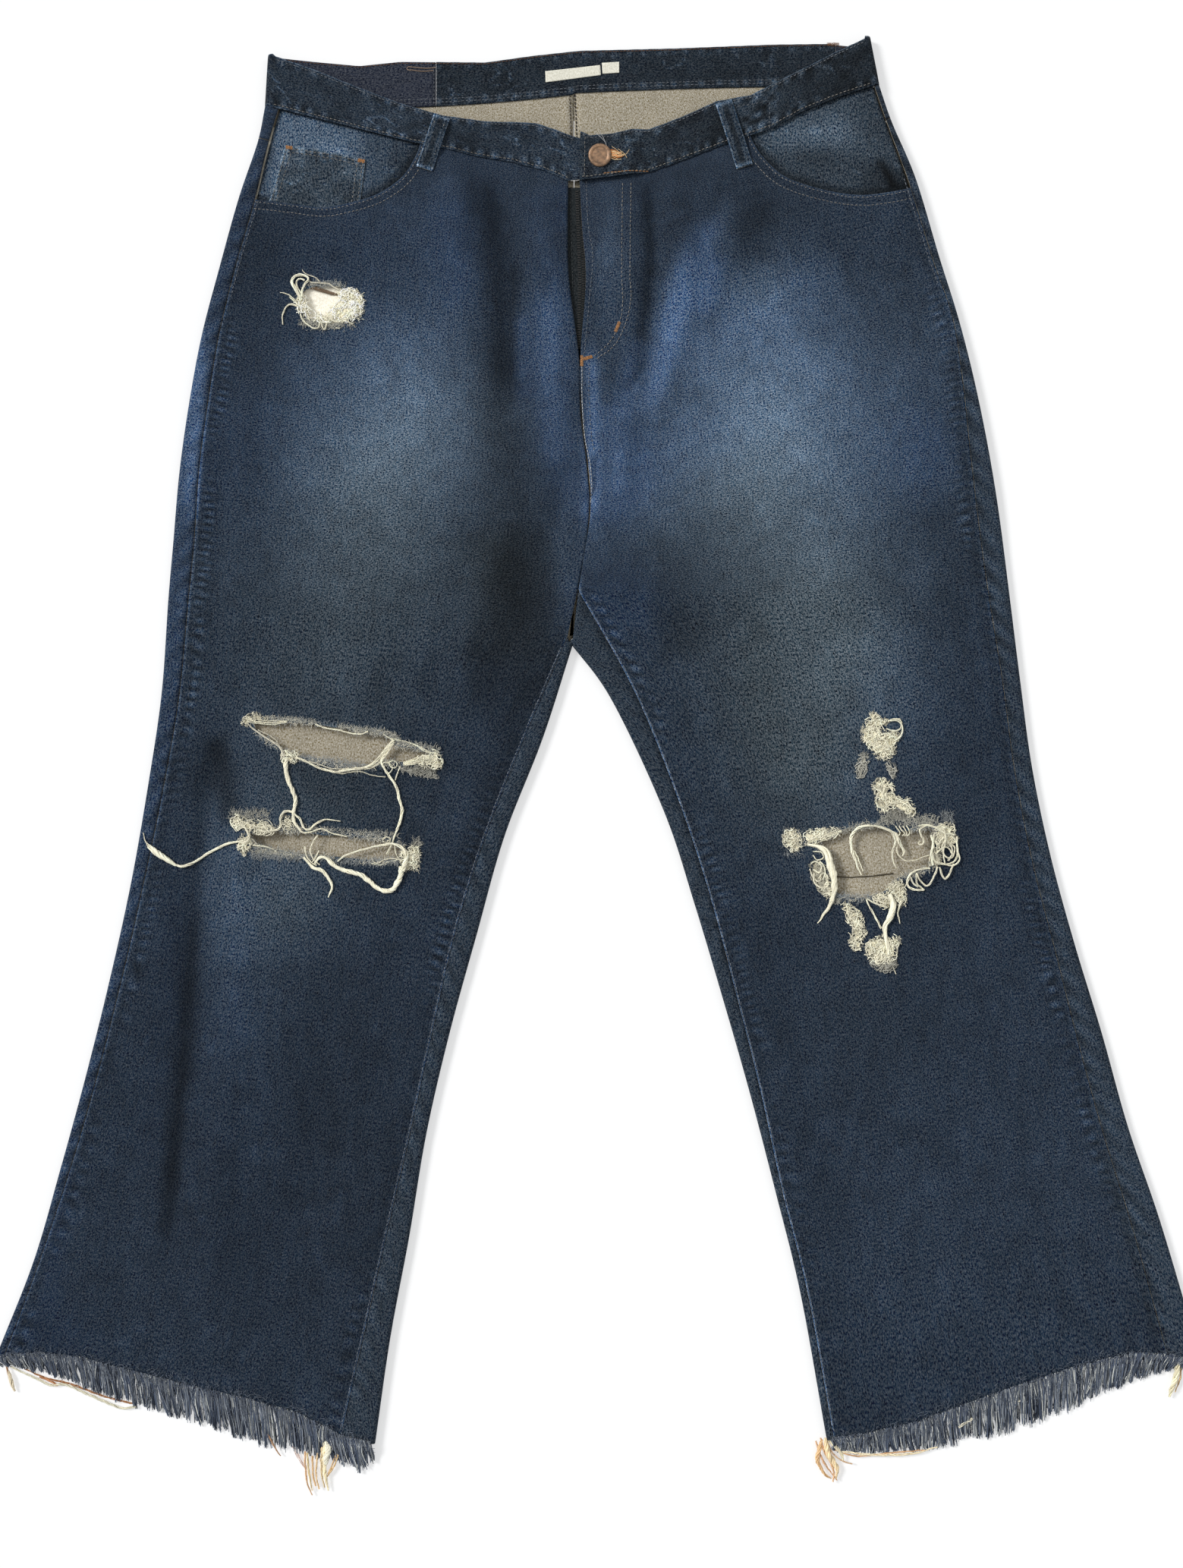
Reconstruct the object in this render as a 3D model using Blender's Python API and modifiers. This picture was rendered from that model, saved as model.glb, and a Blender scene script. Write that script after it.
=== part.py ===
"""Ripped kick-flare jeans, laid flat with the front up.

The frame: +Y runs from the hems to the waist, +X to the wearer's left, +Z up from the surface that
the jeans lie on. Sizes in the tables are millimetres. Each leg has seventeen stations from the waist
seam to the hem. A front panel spans from the outer seam to the centre front or the inseam. A back panel
comes round both side folds from below, as wide as the front is narrow.
"""
import bpy
import bmesh
import math
import numpy as np

for ob in list(bpy.data.objects):
    bpy.data.objects.remove(ob, do_unlink=True)

MM = 0.001
ORIGIN = (0.26, 3.38)        # middle of the laid garment's outline, moved to X = Y = 0

CLOTH = 1.2                  # denim panel
BAND = 2.4                   # waistband, denim folded double
LINING = 1.0                 # pocket bag, coin pocket, zip tape, fly shield
TAPE = 0.5                   # woven labels
GAP = 0.4                    # seam gap between neighbouring pieces
FOLD = 7.0                   # height of the soft fold at the sides of a leg
BAND_FOLD = 7.8              # the same at the sides of the waistband
LIFT = 1.6                   # room below the seat for back pockets and loops
LIFT_FROM, LIFT_TO = 143.0, 205.0
FALL = 28.0                  # how far from a fold the cloth comes down
CROTCH = 8                   # station of the crotch point
YOKE_SIDE, YOKE_MIDDLE = 0.9, 1.6

# station, outer x, outer y, wrap of the back panel round to the top, front panel's inner edge x, y,
# back panel's inner edge x, y
RIGHT_LEG = (
    ("waist_seam", -244.2, 475.6, 11.1, -21.9, 420.6, -18.1, 485.0),
    ("yoke", -249.7, 449.4, 8.9, -22.5, 387.2, -18.1, 448.3),
    ("pocket", -263.6, 408.3, 12.8, -21.4, 348.3, -18.1, 403.9),
    ("fly_end", -277.5, 358.3, 12.2, -14.2, 291.7, -18.1, 348.3),
    ("hip", -290.3, 309.4, 13.3, -13.1, 251.1, -18.1, 292.8),
    ("seat", -299.2, 262.2, 14.4, -8.6, 213.9, -18.1, 237.2),
    ("upper_thigh", -306.4, 212.2, 15.0, -6.9, 180.6, -18.1, 184.4),
    ("fork", -311.4, 159.4, 16.1, -11.4, 140.0, -18.1, 131.7),
    ("crotch", -315.3, 115.0, 15.6, -22.5, 88.3, -18.3, 83.3),
    ("thigh", -320.3, 45.6, 13.9, -54.2, 13.9, -40.8, 13.3),
    ("above_knee", -330.6, -23.9, 12.2, -81.9, -56.1, -68.6, -57.8),
    ("knee", -342.8, -93.3, 10.0, -104.7, -128.3, -89.2, -130.6),
    ("below_knee", -358.1, -162.8, 9.4, -121.4, -201.1, -109.2, -203.3),
    ("calf", -375.3, -232.2, 8.9, -137.5, -274.4, -126.1, -276.7),
    ("shin", -394.2, -301.7, 7.8, -154.7, -348.3, -138.6, -351.7),
    ("ankle", -414.2, -371.1, 5.0, -171.4, -422.2, -152.5, -426.1),
    ("hem", -441.4, -440.6, 6.7, -188.6, -497.8, -163.6, -503.3),
)
LEFT_LEG = (
    ("waist_seam", 205.8, 491.1, 4.6, -13.6, 420.6, -17.5, 486.1),
    ("yoke", 215.3, 463.9, 4.6, -11.9, 387.2, -17.5, 448.3),
    ("pocket", 232.5, 423.3, 6.7, -9.2, 348.3, -17.5, 403.9),
    ("fly_end", 249.7, 366.1, 6.1, -13.1, 291.7, -17.5, 348.3),
    ("hip", 263.6, 321.7, 5.0, -11.9, 251.1, -17.5, 292.8),
    ("seat", 275.3, 276.1, 9.4, -7.5, 213.9, -17.5, 237.2),
    ("upper_thigh", 285.8, 225.0, 14.4, -5.8, 180.6, -17.5, 184.4),
    ("fork", 294.7, 170.6, 16.7, -10.3, 148.3, -17.5, 131.7),
    ("crotch", 301.9, 115.0, 16.1, -13.1, 121.7, -16.9, 84.4),
    ("thigh", 309.2, 56.7, 13.9, 27.5, 45.6, 9.7, 41.7),
    ("above_knee", 318.1, -8.3, 13.9, 60.8, -37.8, 48.3, -40.6),
    ("knee", 331.9, -73.9, 15.0, 83.1, -106.7, 70.8, -108.9),
    ("below_knee", 349.7, -138.9, 16.1, 101.4, -176.1, 91.4, -177.8),
    ("calf", 369.2, -202.8, 19.4, 118.6, -244.4, 110.8, -245.6),
    ("shin", 388.6, -272.2, 20.0, 134.7, -318.3, 129.9, -318.9),
    ("ankle", 412.5, -343.3, 23.3, 153.4, -393.9, 148.4, -394.6),
    ("hem", 441.9, -443.3, 26.1, 172.4, -499.4, 167.4, -500.4),
)

# share of the way across from the outer fold, rise over the straight line between its ends
RIGHT_WAIST = ((0, 0), (0.5, 0), (0.7, 1.7), (0.81, 4.4), (0.92, 4.0), (1, 0), (1.2, 0))
LEFT_WAIST = ((0, 0), (0.14, 1.0), (0.26, -1.0), (0.36, -6.0), (0.52, -7.0), (0.7, -9.0),
              (0.77, -9.4), (0.89, -5.0), (1, 0))
RIGHT_HEM = ((0, 0), (0.05, 5.0), (0.12, 10.0), (0.24, 13.0), (0.39, 11.5), (0.58, 10.5),
             (0.73, 10.5), (0.88, 8.5), (0.96, 3.5), (1, 0))
LEFT_HEM = ((0, 0), (0.07, 8.0), (0.17, 15.5), (0.24, 15.5), (0.34, 14.0), (0.46, 10.5), (0.59, 5.5),
            (0.7, 1.0), (0.78, -2.5), (0.9, -3.0), (1, 0))
RIGHT_BACK_WAIST, LEFT_BACK_WAIST = -4.5, 1.5

# waistband top edges: share across the front, x, y
RIGHT_BAND_TOP = ((0, -241.9, 513.3), (0.14, -208.6, 502.2), (0.28, -175.8, 488.9), (0.42, -143.6, 476.7),
                  (0.56, -114.2, 468.3), (0.7, -82.5, 463.9), (0.8, -62.5, 463.6), (0.88, -45.8, 462.8),
                  (0.95, -30.8, 457.8), (1, -17.5, 452.8), (1.07, -2.5, 448.3), (1.15, 12.5, 444.4))
LEFT_BAND_TOP = ((0, 199.2, 526.4), (0.15, 173.1, 514.4), (0.36, 128.1, 491.7), (0.45, 111.9, 483.3),
                 (0.55, 86.9, 478.9), (0.63, 64.7, 468.9), (0.7, 50.8, 463.3), (0.77, 36.9, 458.3),
                 (0.82, 24.7, 458.0), (0.89, 10.8, 454.4), (0.97, -6.4, 453.1), (1, -13.1, 456.2))
# the far edge behind: x, y
BACK_BAND_TOP = ((-241.9, 512.8), (-210.8, 509.4), (-175.3, 506.1), (-145.3, 509.2), (-82.5, 508.6),
                 (-49.2, 513.3), (-13.6, 517.2), (56.9, 518.9), (128.1, 521.7), (166.9, 522.2),
                 (183.1, 520.6), (199.2, 526.4))
BAND_JOIN_RIGHT, BAND_JOIN_LEFT = -119.2, 174.2

# broad folds of the laid front: x, y to x, y, half width, height
FOLDS = (
    ("right_hip", -104.7, 405.0, -82.5, 209.4, 35.0, 3.0),
    ("left_hip", 78.6, 400.0, 61.9, 220.6, 40.0, 3.0),
    ("below_fly", -8.0, 285.0, -7.5, 190.0, 24.0, 2.2),
    ("left_thigh", 117.5, 198.0, 150.8, 54.0, 45.0, 2.5),
    ("right_thigh", -127.0, 165.0, -171.0, 54.0, 45.0, 2.5),
    ("right_shin", -254.7, -85.0, -277.0, -363.0, 40.0, 3.0),
    ("left_shin", 217.5, -157.0, 262.0, -390.0, 45.0, 2.5),
)
# rooms below the front for the layers there: x from, x to, y from, y to, edge, height
ROOMS = (
    ("right_pocket", -300.0, -108.0, 378.0, 600.0, 26.0, 4.2),
    ("right_bag", -300.0, -98.0, 280.0, 600.0, 30.0, 1.5),
    ("left_pocket", 98.0, 300.0, 382.0, 600.0, 30.0, 1.6),
    ("fly", -28.0, 20.0, 284.0, 600.0, 20.0, 3.0),
)

# pocket mouths from the waist to the outer seam
RIGHT_MOUTH = ((-129.5, 450.0), (-133.0, 439.0), (-142.5, 423.9), (-158.6, 412.2), (-175.3, 406.1),
               (-199.7, 401.1), (-224.2, 403.9), (-251.4, 407.2))
LEFT_MOUTH = ((110.5, 458.0), (113.5, 449.0), (120.8, 438.3), (136.9, 424.1), (163.6, 415.2),
              (189.7, 410.8), (213.1, 412.6), (227.5, 415.6))
COIN = ((-229.2, 446.7), (-170.3, 436.1), (-175.5, 394.0), (-244.5, 393.0))
POCKET_BAG = ((-242.5, 462.0), (-104.7, 436.1), (-104.7, 287.2), (-268.0, 331.7))

# holes: share along the axis, reach above, reach below
RIPS = (
    ("right_upper", -253.6, 22.2, -118.6, 1.1,
     ((0.12, 4.4, 11.7), (0.25, 7.8, 20.0), (0.45, 8.6, 20.0), (0.65, 8.3, 16.1), (0.85, 5.6, 8.9))),
    ("right_lower", -257.5, -60.6, -141.9, -73.9,
     ((0.1, 5.0, 3.9), (0.3, 8.3, 6.1), (0.55, 8.9, 8.3), (0.8, 8.9, 8.3), (0.95, 7.8, 3.9))),
    ("left_knee", 157.5, -63.3, 246.4, -57.2,
     ((0.1, 2.2, 5.0), (0.22, 5.6, 39.4), (0.5, 8.9, 42.2), (0.62, 7.8, 33.3), (0.8, 6.1, 26.1),
      (0.95, 4.4, 23.3))),
    ("hip", -218.1, 331.7, -182.5, 332.8,
     ((0.15, 9.4, 7.8), (0.5, 10.8, 11.1), (0.85, 6.7, 6.1))),
)

# front belt loops: top x, y, bottom x, y
LOOP_WIDTH = 12.0
LOOPS = (("loop_front_right", -114.2, 467.5, -126.9, 428.3), ("loop_front_left", 91.4, 478.5, 106.9, 431.0))
BACK_LOOPS = (("loop_back_right", -129.2), ("loop_back_mid", -18.1), ("loop_back_left", 160.0))
LOOP_LENGTH = 48.0

BUTTON = (1.4, 438.9)
BUTTON_RADIUS = 8.5
SHANK_RADIUS = 2.4
BUTTONHOLE = (-2.5, 16.5, 3.3)       # x from, x to, half width

ZIP_LEFT = ((-25.3, 416.5), (-24.2, 387.2), (-23.1, 348.3), (-16.9, 298.3))
ZIP_RIGHT = ((-3.6, 416.5), (-2.5, 387.2), (-1.4, 348.3), (-9.2, 297.2))
SHIELD_LEFT = ((-34.0, 417.0), (-34.0, 387.0), (-33.0, 348.0), (-24.0, 292.0))
SHIELD_RIGHT = ((9.0, 417.0), (9.0, 387.0), (9.0, 348.0), (-4.0, 290.0))

LABEL_MAIN = ((-38.9, 502.2), (1.4, 506.7), (1.9, 499.4), (-38.6, 494.1))
LABEL_SIZE = ((2.5, 508.3), (15.3, 509.1), (15.3, 501.1), (3.1, 500.3))

BACK_POCKET_TOP, BACK_POCKET_WIDTH, BACK_POCKET_SIDE, BACK_POCKET_POINT = 392.8, 150.0, 140.0, 160.0
BACK_POCKETS = (("back_pocket_right", -117.0), ("back_pocket_left", 83.0))

# tips of the frayed hems, from the outer fold inwards
RIGHT_FRINGE = ((-438.0, -447.5), (-430.3, -447.5), (-399.7, -453.9), (-367.5, -467.2), (-323.1, -480.6),
                (-294.7, -488.3), (-246.9, -503.3), (-218.1, -508.9), (-199.2, -515.0), (-174.2, -523.3),
                (-165.5, -515.0))
LEFT_FRINGE = ((438.0, -450.5), (415.3, -449.5), (396.9, -457.8), (378.6, -463.9), (351.4, -476.1),
               (323.6, -486.1), (295.8, -495.6), (268.6, -501.1), (242.5, -508.3), (213.1, -511.1),
               (185.8, -511.1), (172.0, -509.0))

DENIM = (0.022, 0.040, 0.095)
DENIM_LIGHT = (0.050, 0.085, 0.160)
DENIM_INSIDE = (0.300, 0.290, 0.270)
THREAD_END = (0.090, 0.120, 0.180)


# ---- curves and steps -------------------------------------------------------------------------------

def smooth(values, s):
    """A smooth curve through values given at s = 0, 1, 2, ..., straight past its ends."""
    v = np.asarray(values, float)
    s = np.asarray(s, float)
    n = len(v)
    v = np.concatenate(([2 * v[0] - v[1]], v, [2 * v[-1] - v[-2]]))
    inside = np.clip(s, 0, n - 1)
    i = np.minimum(inside.astype(int), n - 2)
    f = inside - i
    a, b, c, d = v[i], v[i + 1], v[i + 2], v[i + 3]
    f2, f3 = f * f, f * f * f
    out = ((2 * f3 - 3 * f2 + 1) * b + (f3 - 2 * f2 + f) * (c - a) / 2
           + (3 * f2 - 2 * f3) * c + (f3 - f2) * (d - b) / 2)
    return out + np.minimum(s, 0) * (v[2] - v[1]) + np.maximum(s - (n - 1), 0) * (v[-2] - v[-3])


def broken(values, s):
    """The same with a corner at the crotch."""
    s = np.asarray(s, float)
    return np.where(s <= CROTCH, smooth(values[:CROTCH + 1], s), smooth(values[CROTCH:], s - CROTCH))


def step(x):
    x = np.clip(x, 0.0, 1.0)
    return x * x * (3 - 2 * x)


def lookup(table, x, column=1):
    """A column of a table of rows, read at x in its first column."""
    return np.interp(x, [row[0] for row in table], [row[column] for row in table])


def along(points, shares):
    """Points at shares of the way along a chain of points."""
    points = np.asarray(points, float)
    run = np.concatenate(([0], np.cumsum(np.hypot(*np.diff(points[:, :2], axis=0).T))))
    return np.stack([np.interp(np.asarray(shares) * run[-1], run, points[:, k])
                     for k in range(points.shape[1])], axis=-1)


def unit(v):
    return v / np.linalg.norm(v, axis=-1, keepdims=True)


def lift(y):
    return LIFT * step((y - LIFT_FROM) / (LIFT_TO - LIFT_FROM))


def ridge(x, y, fold):
    """Height at x, y of one broad fold of the table."""
    _, x0, y0, x1, y1, half, height = fold
    dx, dy = x1 - x0, y1 - y0
    t = np.clip(((x - x0) * dx + (y - y0) * dy) / (dx * dx + dy * dy), 0, 1)
    d = np.hypot(x - x0 - t * dx, y - y0 - t * dy)
    return height * step(1 - d / (2 * half)) ** 1.3


def room(x, y, row):
    _, x0, x1, y0, y1, edge, height = row
    return height * (step((x - x0) / edge + 1) * step((x1 - x) / edge + 1)
                     * step((y - y0) / edge + 1) * step((y1 - y) / edge + 1))


class Leg:
    """One leg: plan and height of its panels at a station s and a share across."""

    def __init__(self, table, waist, hem, back_waist):
        self.cols = [np.array(c, float) for c in list(zip(*table))[1:]]
        self.waist, self.hem, self.back_waist = waist, hem, back_waist
        self.side = -1 if table[0][1] < 0 else 1

    def outer(self, s):
        return np.stack([smooth(self.cols[0], s), smooth(self.cols[1], s)], axis=-1)

    def wrap(self, s):
        return smooth(self.cols[2], s)

    def front_inner(self, s):
        return np.stack([broken(self.cols[3], s), broken(self.cols[4], s)], axis=-1)

    def back_inner(self, s):
        return np.stack([broken(self.cols[5], s), broken(self.cols[6], s)], axis=-1)

    def edge_shape(self, s, p):
        """Rise of the waist and hem edges over straight lines."""
        return (lookup(self.waist, p) * np.clip(1 - s, 0, 1) ** 2
                + lookup(self.hem, p) * step((s - 13.5) / 2.5))

    def row(self, s, p):
        """Point at share p from the outer fold to the front's inner edge."""
        o, f = self.outer(s), self.front_inner(s)
        q = o + (f - o) * p[..., None]
        q[..., 1] += self.edge_shape(s, p)
        return q

    def span(self, s):
        return np.linalg.norm(self.front_inner(s) - self.outer(s), axis=-1)

    def front_share(self, s, t):
        """Share from the fold of the point at share t of the front panel."""
        start = self.wrap(s) / self.span(s)
        return start + (1 - start) * t

    def front_height(self, s, t, xy):
        """Middle of the front panel's cloth above the surface."""
        x, y = xy[..., 0], xy[..., 1]
        length = self.span(s) - self.wrap(s)
        out = np.exp(-(t * length / FALL) ** 2)
        inn = np.exp(-((1 - t) * length / FALL) ** 2) * step(s - CROTCH + 1)
        sides = np.minimum(out + inn, 1.0)
        rooms = np.max([room(x, y, r) for r in ROOMS], axis=0)
        folds = np.sum([ridge(x, y, f) for f in FOLDS], axis=0) * (1 - sides)
        rise = FOLD - 2 * CLOTH - GAP
        return lift(y) + 1.5 * CLOTH + GAP + np.maximum(rise * sides, rooms) + folds * (1 - step((s - 15) / 1.2))

    def front(self, s, t):
        xy = self.row(s, self.front_share(s, t))
        return np.concatenate([xy, self.front_height(s, t, xy)[..., None]], axis=-1)

    def locate(self, x, y):
        """Station and share of the front panel at plan points, by halving."""
        x, y = np.asarray(x, float), np.asarray(y, float)
        lo, hi = np.full(x.shape, -0.9), np.full(x.shape, 16.9)
        for _ in range(40):
            s = (lo + hi) / 2
            o, f = self.outer(s), self.front_inner(s)
            d = f - o
            p = ((x - o[..., 0]) * d[..., 0] + (y - o[..., 1]) * d[..., 1]) / (d ** 2).sum(-1)
            side = (y - self.edge_shape(s, p) - o[..., 1]) * d[..., 0] - (x - o[..., 0]) * d[..., 1]
            above = side * -self.side > 0
            hi = np.where(above, s, hi)
            lo = np.where(above, lo, s)
        start = self.wrap(s) / self.span(s)
        return s, (p - start) / (1 - start)

    def height_at(self, x, y):
        s, t = self.locate(x, y)
        return self.front_height(np.clip(s, 0, 16), np.clip(t, 0, 1), np.stack([x, y], -1))


RIGHT = Leg(RIGHT_LEG, RIGHT_WAIST, RIGHT_HEM, RIGHT_BACK_WAIST)
LEFT = Leg(LEFT_LEG, LEFT_WAIST, LEFT_HEM, LEFT_BACK_WAIST)

ARC = np.radians([45, 0, -45, -90])
WRAP_SHARES = (0.0, 0.5, 1.0)
BOTTOM_SHARES = (0.06, 0.16, 0.32, 0.5, 0.68, 0.84, 1.0)


def back_rows(leg, s_of):
    """Points of the back panel, from the outer seam round the outer fold, along the underside and, below
    the crotch, round the inner fold to the inseam. s_of gives a row's station for each share across."""
    radius = (FOLD - CLOTH) / 2
    centre = FOLD / 2
    rows, keep = [], []
    for station in s_of:
        pts = []

        def at(share):
            return float(station(share))

        def add(xy, z):
            pts.append((xy[0], xy[1], z + float(lift(xy[1]))))

        s0 = at(0.0)
        o, u = leg.outer(s0), unit(leg.front_inner(s0) - leg.outer(s0))
        rise = leg.edge_shape(s0, np.array(0.0))
        seam = leg.wrap(s0) - GAP
        p_seam = seam / leg.span(s0)
        for k in WRAP_SHARES:
            e = seam + (centre - seam) * k
            xy = o + u * e
            xy[1] += leg.edge_shape(s0, e / leg.span(s0))
            add(xy, FOLD - CLOTH / 2)
        start = o + u * centre
        start[1] += leg.edge_shape(s0, centre / leg.span(s0))
        for a in ARC:
            add(start - u * radius * math.cos(a), centre + radius * math.sin(a))
        for q in BOTTOM_SHARES:
            add(underside(leg, at(q), q), CLOTH / 2)
        s = at(1.0)
        n, b, f = inward(leg, s), leg.back_inner(s), leg.front_inner(s)
        top = b + n * centre
        for a in ARC[::-1][1:]:
            add(top - n * radius * math.cos(a), centre + radius * math.sin(a))
        add(top, FOLD - CLOTH / 2)
        end = f + unit(top - f) * GAP
        add((top + end) / 2, FOLD - CLOTH / 2)
        add(end, FOLD - CLOTH / 2)
        rows.append(pts)
        keep.append(s >= CROTCH)
    return np.array(rows), np.array(keep)


def underside(leg, s, q):
    """Plan of the back panel's underside at share q between its folds, or to the centre back."""
    o, u = leg.outer(s), unit(leg.front_inner(s) - leg.outer(s))
    a, b = o + u * FOLD / 2, leg.back_inner(s)
    if s >= CROTCH:
        b = b + inward(leg, s) * FOLD / 2
    xy = a + (b - a) * q
    xy[1] += (leg.back_waist * 4 * q * (1 - q) * np.clip(1 - s, 0, 1)
              + lookup(leg.hem, q) * step((s - 13.5) / 2.5))
    return xy


def inward(leg, s):
    """Unit direction from the inner fold into the leg, square to the fold."""
    s = max(s, CROTCH)
    a, b = leg.back_inner(max(s - 0.02, CROTCH)), leg.back_inner(s + 0.02)
    d = unit(b - a)
    return np.array([-d[1], d[0]]) * (1 if np.dot([-d[1], d[0]], [leg.side, 0]) > 0 else -1)


# ---- making solids ----------------------------------------------------------------------------------

PARTS = bpy.data.collections.new("ripped_jeans")
CUTTERS = bpy.data.collections.new("cutters")
for collection in (PARTS, CUTTERS):
    bpy.context.scene.collection.children.link(collection)


def material(name, colour, roughness=0.9, metallic=0.0):
    mat = bpy.data.materials.new(name)
    mat.use_nodes = True
    shader = mat.node_tree.nodes["Principled BSDF"]
    shader.inputs["Base Color"].default_value = (*colour, 1)
    shader.inputs["Roughness"].default_value = roughness
    shader.inputs["Metallic"].default_value = metallic
    mat.diffuse_color = (*colour, 1)
    return mat


def place(name, data, mat=None, collection=PARTS):
    ob = bpy.data.objects.new(name, data)
    collection.objects.link(ob)
    if mat:
        data.materials.append(mat)
    return ob


def metres(points):
    p = np.array(points, float)
    p[..., 0] -= ORIGIN[0]
    p[..., 1] -= ORIGIN[1]
    return p * MM


def cloth(name, rows, thickness, mat, keep=None, inner=None):
    """A sheet of cloth: a grid laid through rows of points, given its thickness by Solidify. Rows that
    keep leaves out lose the columns from inner on."""
    rows = metres(rows)
    nr, nc = rows.shape[:2]
    bm = bmesh.new()
    bmesh.ops.create_grid(bm, x_segments=nc - 1, y_segments=nr - 1, size=1)
    index = {}
    for v in bm.verts:
        r, c = round((v.co.y + 1) / 2 * (nr - 1)), round((v.co.x + 1) / 2 * (nc - 1))
        index[v] = (r, c)
    if keep is not None:
        gone = [f for f in bm.faces
                if any(index[v][1] > inner for v in f.verts) and not all(keep[index[v][0]] for v in f.verts)]
        bmesh.ops.delete(bm, geom=gone, context="FACES")
    for v in bm.verts:
        v.co = rows[index[v]]
    mesh = bpy.data.meshes.new(name)
    bm.to_mesh(mesh)
    bm.free()
    mesh.shade_smooth()
    ob = place(name, mesh, mat)
    solid = ob.modifiers.new("thickness", "SOLIDIFY")
    solid.thickness = thickness * MM
    solid.offset = 0
    solid.use_even_offset = True
    solid.use_quality_normals = True
    return ob


def prism(name, outline, low, high):
    """A cutter: a plan outline raised from low to high."""
    pts = metres([(x, y, 0) for x, y in outline])
    bm = bmesh.new()
    face = bm.faces.new([bm.verts.new((p[0], p[1], low * MM)) for p in pts])
    bm.normal_update()
    if face.normal.z > 0:
        face.normal_flip()
    top = bmesh.ops.extrude_face_region(bm, geom=[face])
    for v in top["geom"]:
        if isinstance(v, bmesh.types.BMVert):
            v.co.z = high * MM
    bmesh.ops.recalc_face_normals(bm, faces=bm.faces)
    mesh = bpy.data.meshes.new(name)
    bm.to_mesh(mesh)
    bm.free()
    ob = place(name, mesh, None, CUTTERS)
    ob.hide_render = True
    ob.display_type = "WIRE"
    return ob


def cut(ob, cutter):
    mod = ob.modifiers.new("cut_" + cutter.name, "BOOLEAN")
    mod.operation = "DIFFERENCE"
    mod.solver = "EXACT"
    mod.object = cutter


def plate(name, outline, low, thickness, mat):
    """A flat piece: a filled plan outline with a thickness."""
    curve = bpy.data.curves.new(name, "CURVE")
    curve.dimensions = "2D"
    curve.fill_mode = "BOTH"
    curve.extrude = thickness / 2 * MM
    pts = metres([(x, y, 0) for x, y in outline])
    spline = curve.splines.new("POLY")
    spline.points.add(len(pts) - 1)
    for point, p in zip(spline.points, pts):
        point.co = (p[0], p[1], 0, 1)
    spline.use_cyclic_u = True
    ob = place(name, curve, mat)
    ob.location.z = (low + thickness / 2) * MM
    return ob


denim = material("denim", DENIM)
denim_dark = material("denim_dark", tuple(0.75 * c for c in DENIM))
denim_light = material("denim_light", DENIM_LIGHT)
inside = material("denim_inside", DENIM_INSIDE)
pocketing = material("pocketing", (0.75, 0.73, 0.68))
zip_black = material("zip_tape", (0.02, 0.02, 0.025), 0.8)
copper = material("copper", (0.42, 0.20, 0.11), 0.35, 1.0)
woven = material("label", (0.80, 0.79, 0.75), 0.8)
frayed = material("frayed_denim", THREAD_END)

# ---- fronts -----------------------------------------------------------------------------------------

FRONT_STATIONS = (0, 0.5, 1, 1.5, 2, 2.25, 2.5, 3, 3.5, 4, 5, 6, 7, 7.5, 8, 8.5, 9, 10, 11, 12, 13, 14, 15, 15.5, 16)
FRONT_SHARES = (0, 0.04, 0.1, 0.2, 0.33, 0.46, 0.58, 0.7, 0.8, 0.87, 0.93, 1)


def front_rows(leg, stations=FRONT_STATIONS, shares=FRONT_SHARES):
    s, t = np.meshgrid(stations, shares, indexing="ij")
    return leg.front(s, t)


fronts = {"front_right": RIGHT, "front_left": LEFT}
for name, leg in fronts.items():
    fronts[name] = cloth(name, front_rows(leg), CLOTH, denim)


def rip_outline(rip):
    _, x0, y0, x1, y1, rows = rip
    a, b = np.array([x0, y0]), np.array([x1, y1])
    d = unit(b - a)
    n = np.array([-d[1], d[0]])
    above = [a + (b - a) * k + n * up for k, up, _ in rows]
    below = [a + (b - a) * k - n * down for k, _, down in rows]
    return [a] + above + [b] + below[::-1]


for rip in RIPS:
    owner = fronts["front_left" if rip[0] == "left_knee" else "front_right"]
    cut(owner, prism("cut_" + rip[0], rip_outline(rip), -1, 20))


def mouth_outline(mouth, side):
    """The corner of a front that a pocket mouth takes away, out past the waist and the outer seam."""
    return list(mouth) + [(mouth[-1][0] + side * 20, mouth[-1][1] + 1), (mouth[-1][0] + side * 20, 560.0),
                          (mouth[0][0], 560.0)]


cut(fronts["front_right"], prism("cut_mouth_right", mouth_outline(RIGHT_MOUTH, -1), -1, 20))
cut(fronts["front_left"], prism("cut_mouth_left", mouth_outline(LEFT_MOUTH, 1), -1, 20))

# ---- backs and yokes --------------------------------------------------------------------------------

INNER = len(WRAP_SHARES) + len(ARC) + len(BOTTOM_SHARES) - 1
SEAT_STATIONS = (YOKE_SIDE + 0.014, 1.5, 2, 2.5, 3, 3.5, 4, 5, 6, 7, 7.5, 8)
LEG_STATIONS = (8.5, 9, 10, 11, 12, 13, 14, 15, 15.5, 16)


def yoke_seam(q):
    return YOKE_SIDE + (YOKE_MIDDLE - YOKE_SIDE) * q


def yoke_row(k):
    return lambda q: yoke_seam(q) * k


def seat_row(station):
    """Stations of a row between the yoke seam and the crotch, by its station at the outer seam."""
    k = (station - SEAT_STATIONS[0]) / (CROTCH - SEAT_STATIONS[0])
    return lambda q: yoke_seam(q) + 0.014 + (CROTCH - yoke_seam(q) - 0.014) * k


def leg_row(s):
    return lambda q: s


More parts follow.
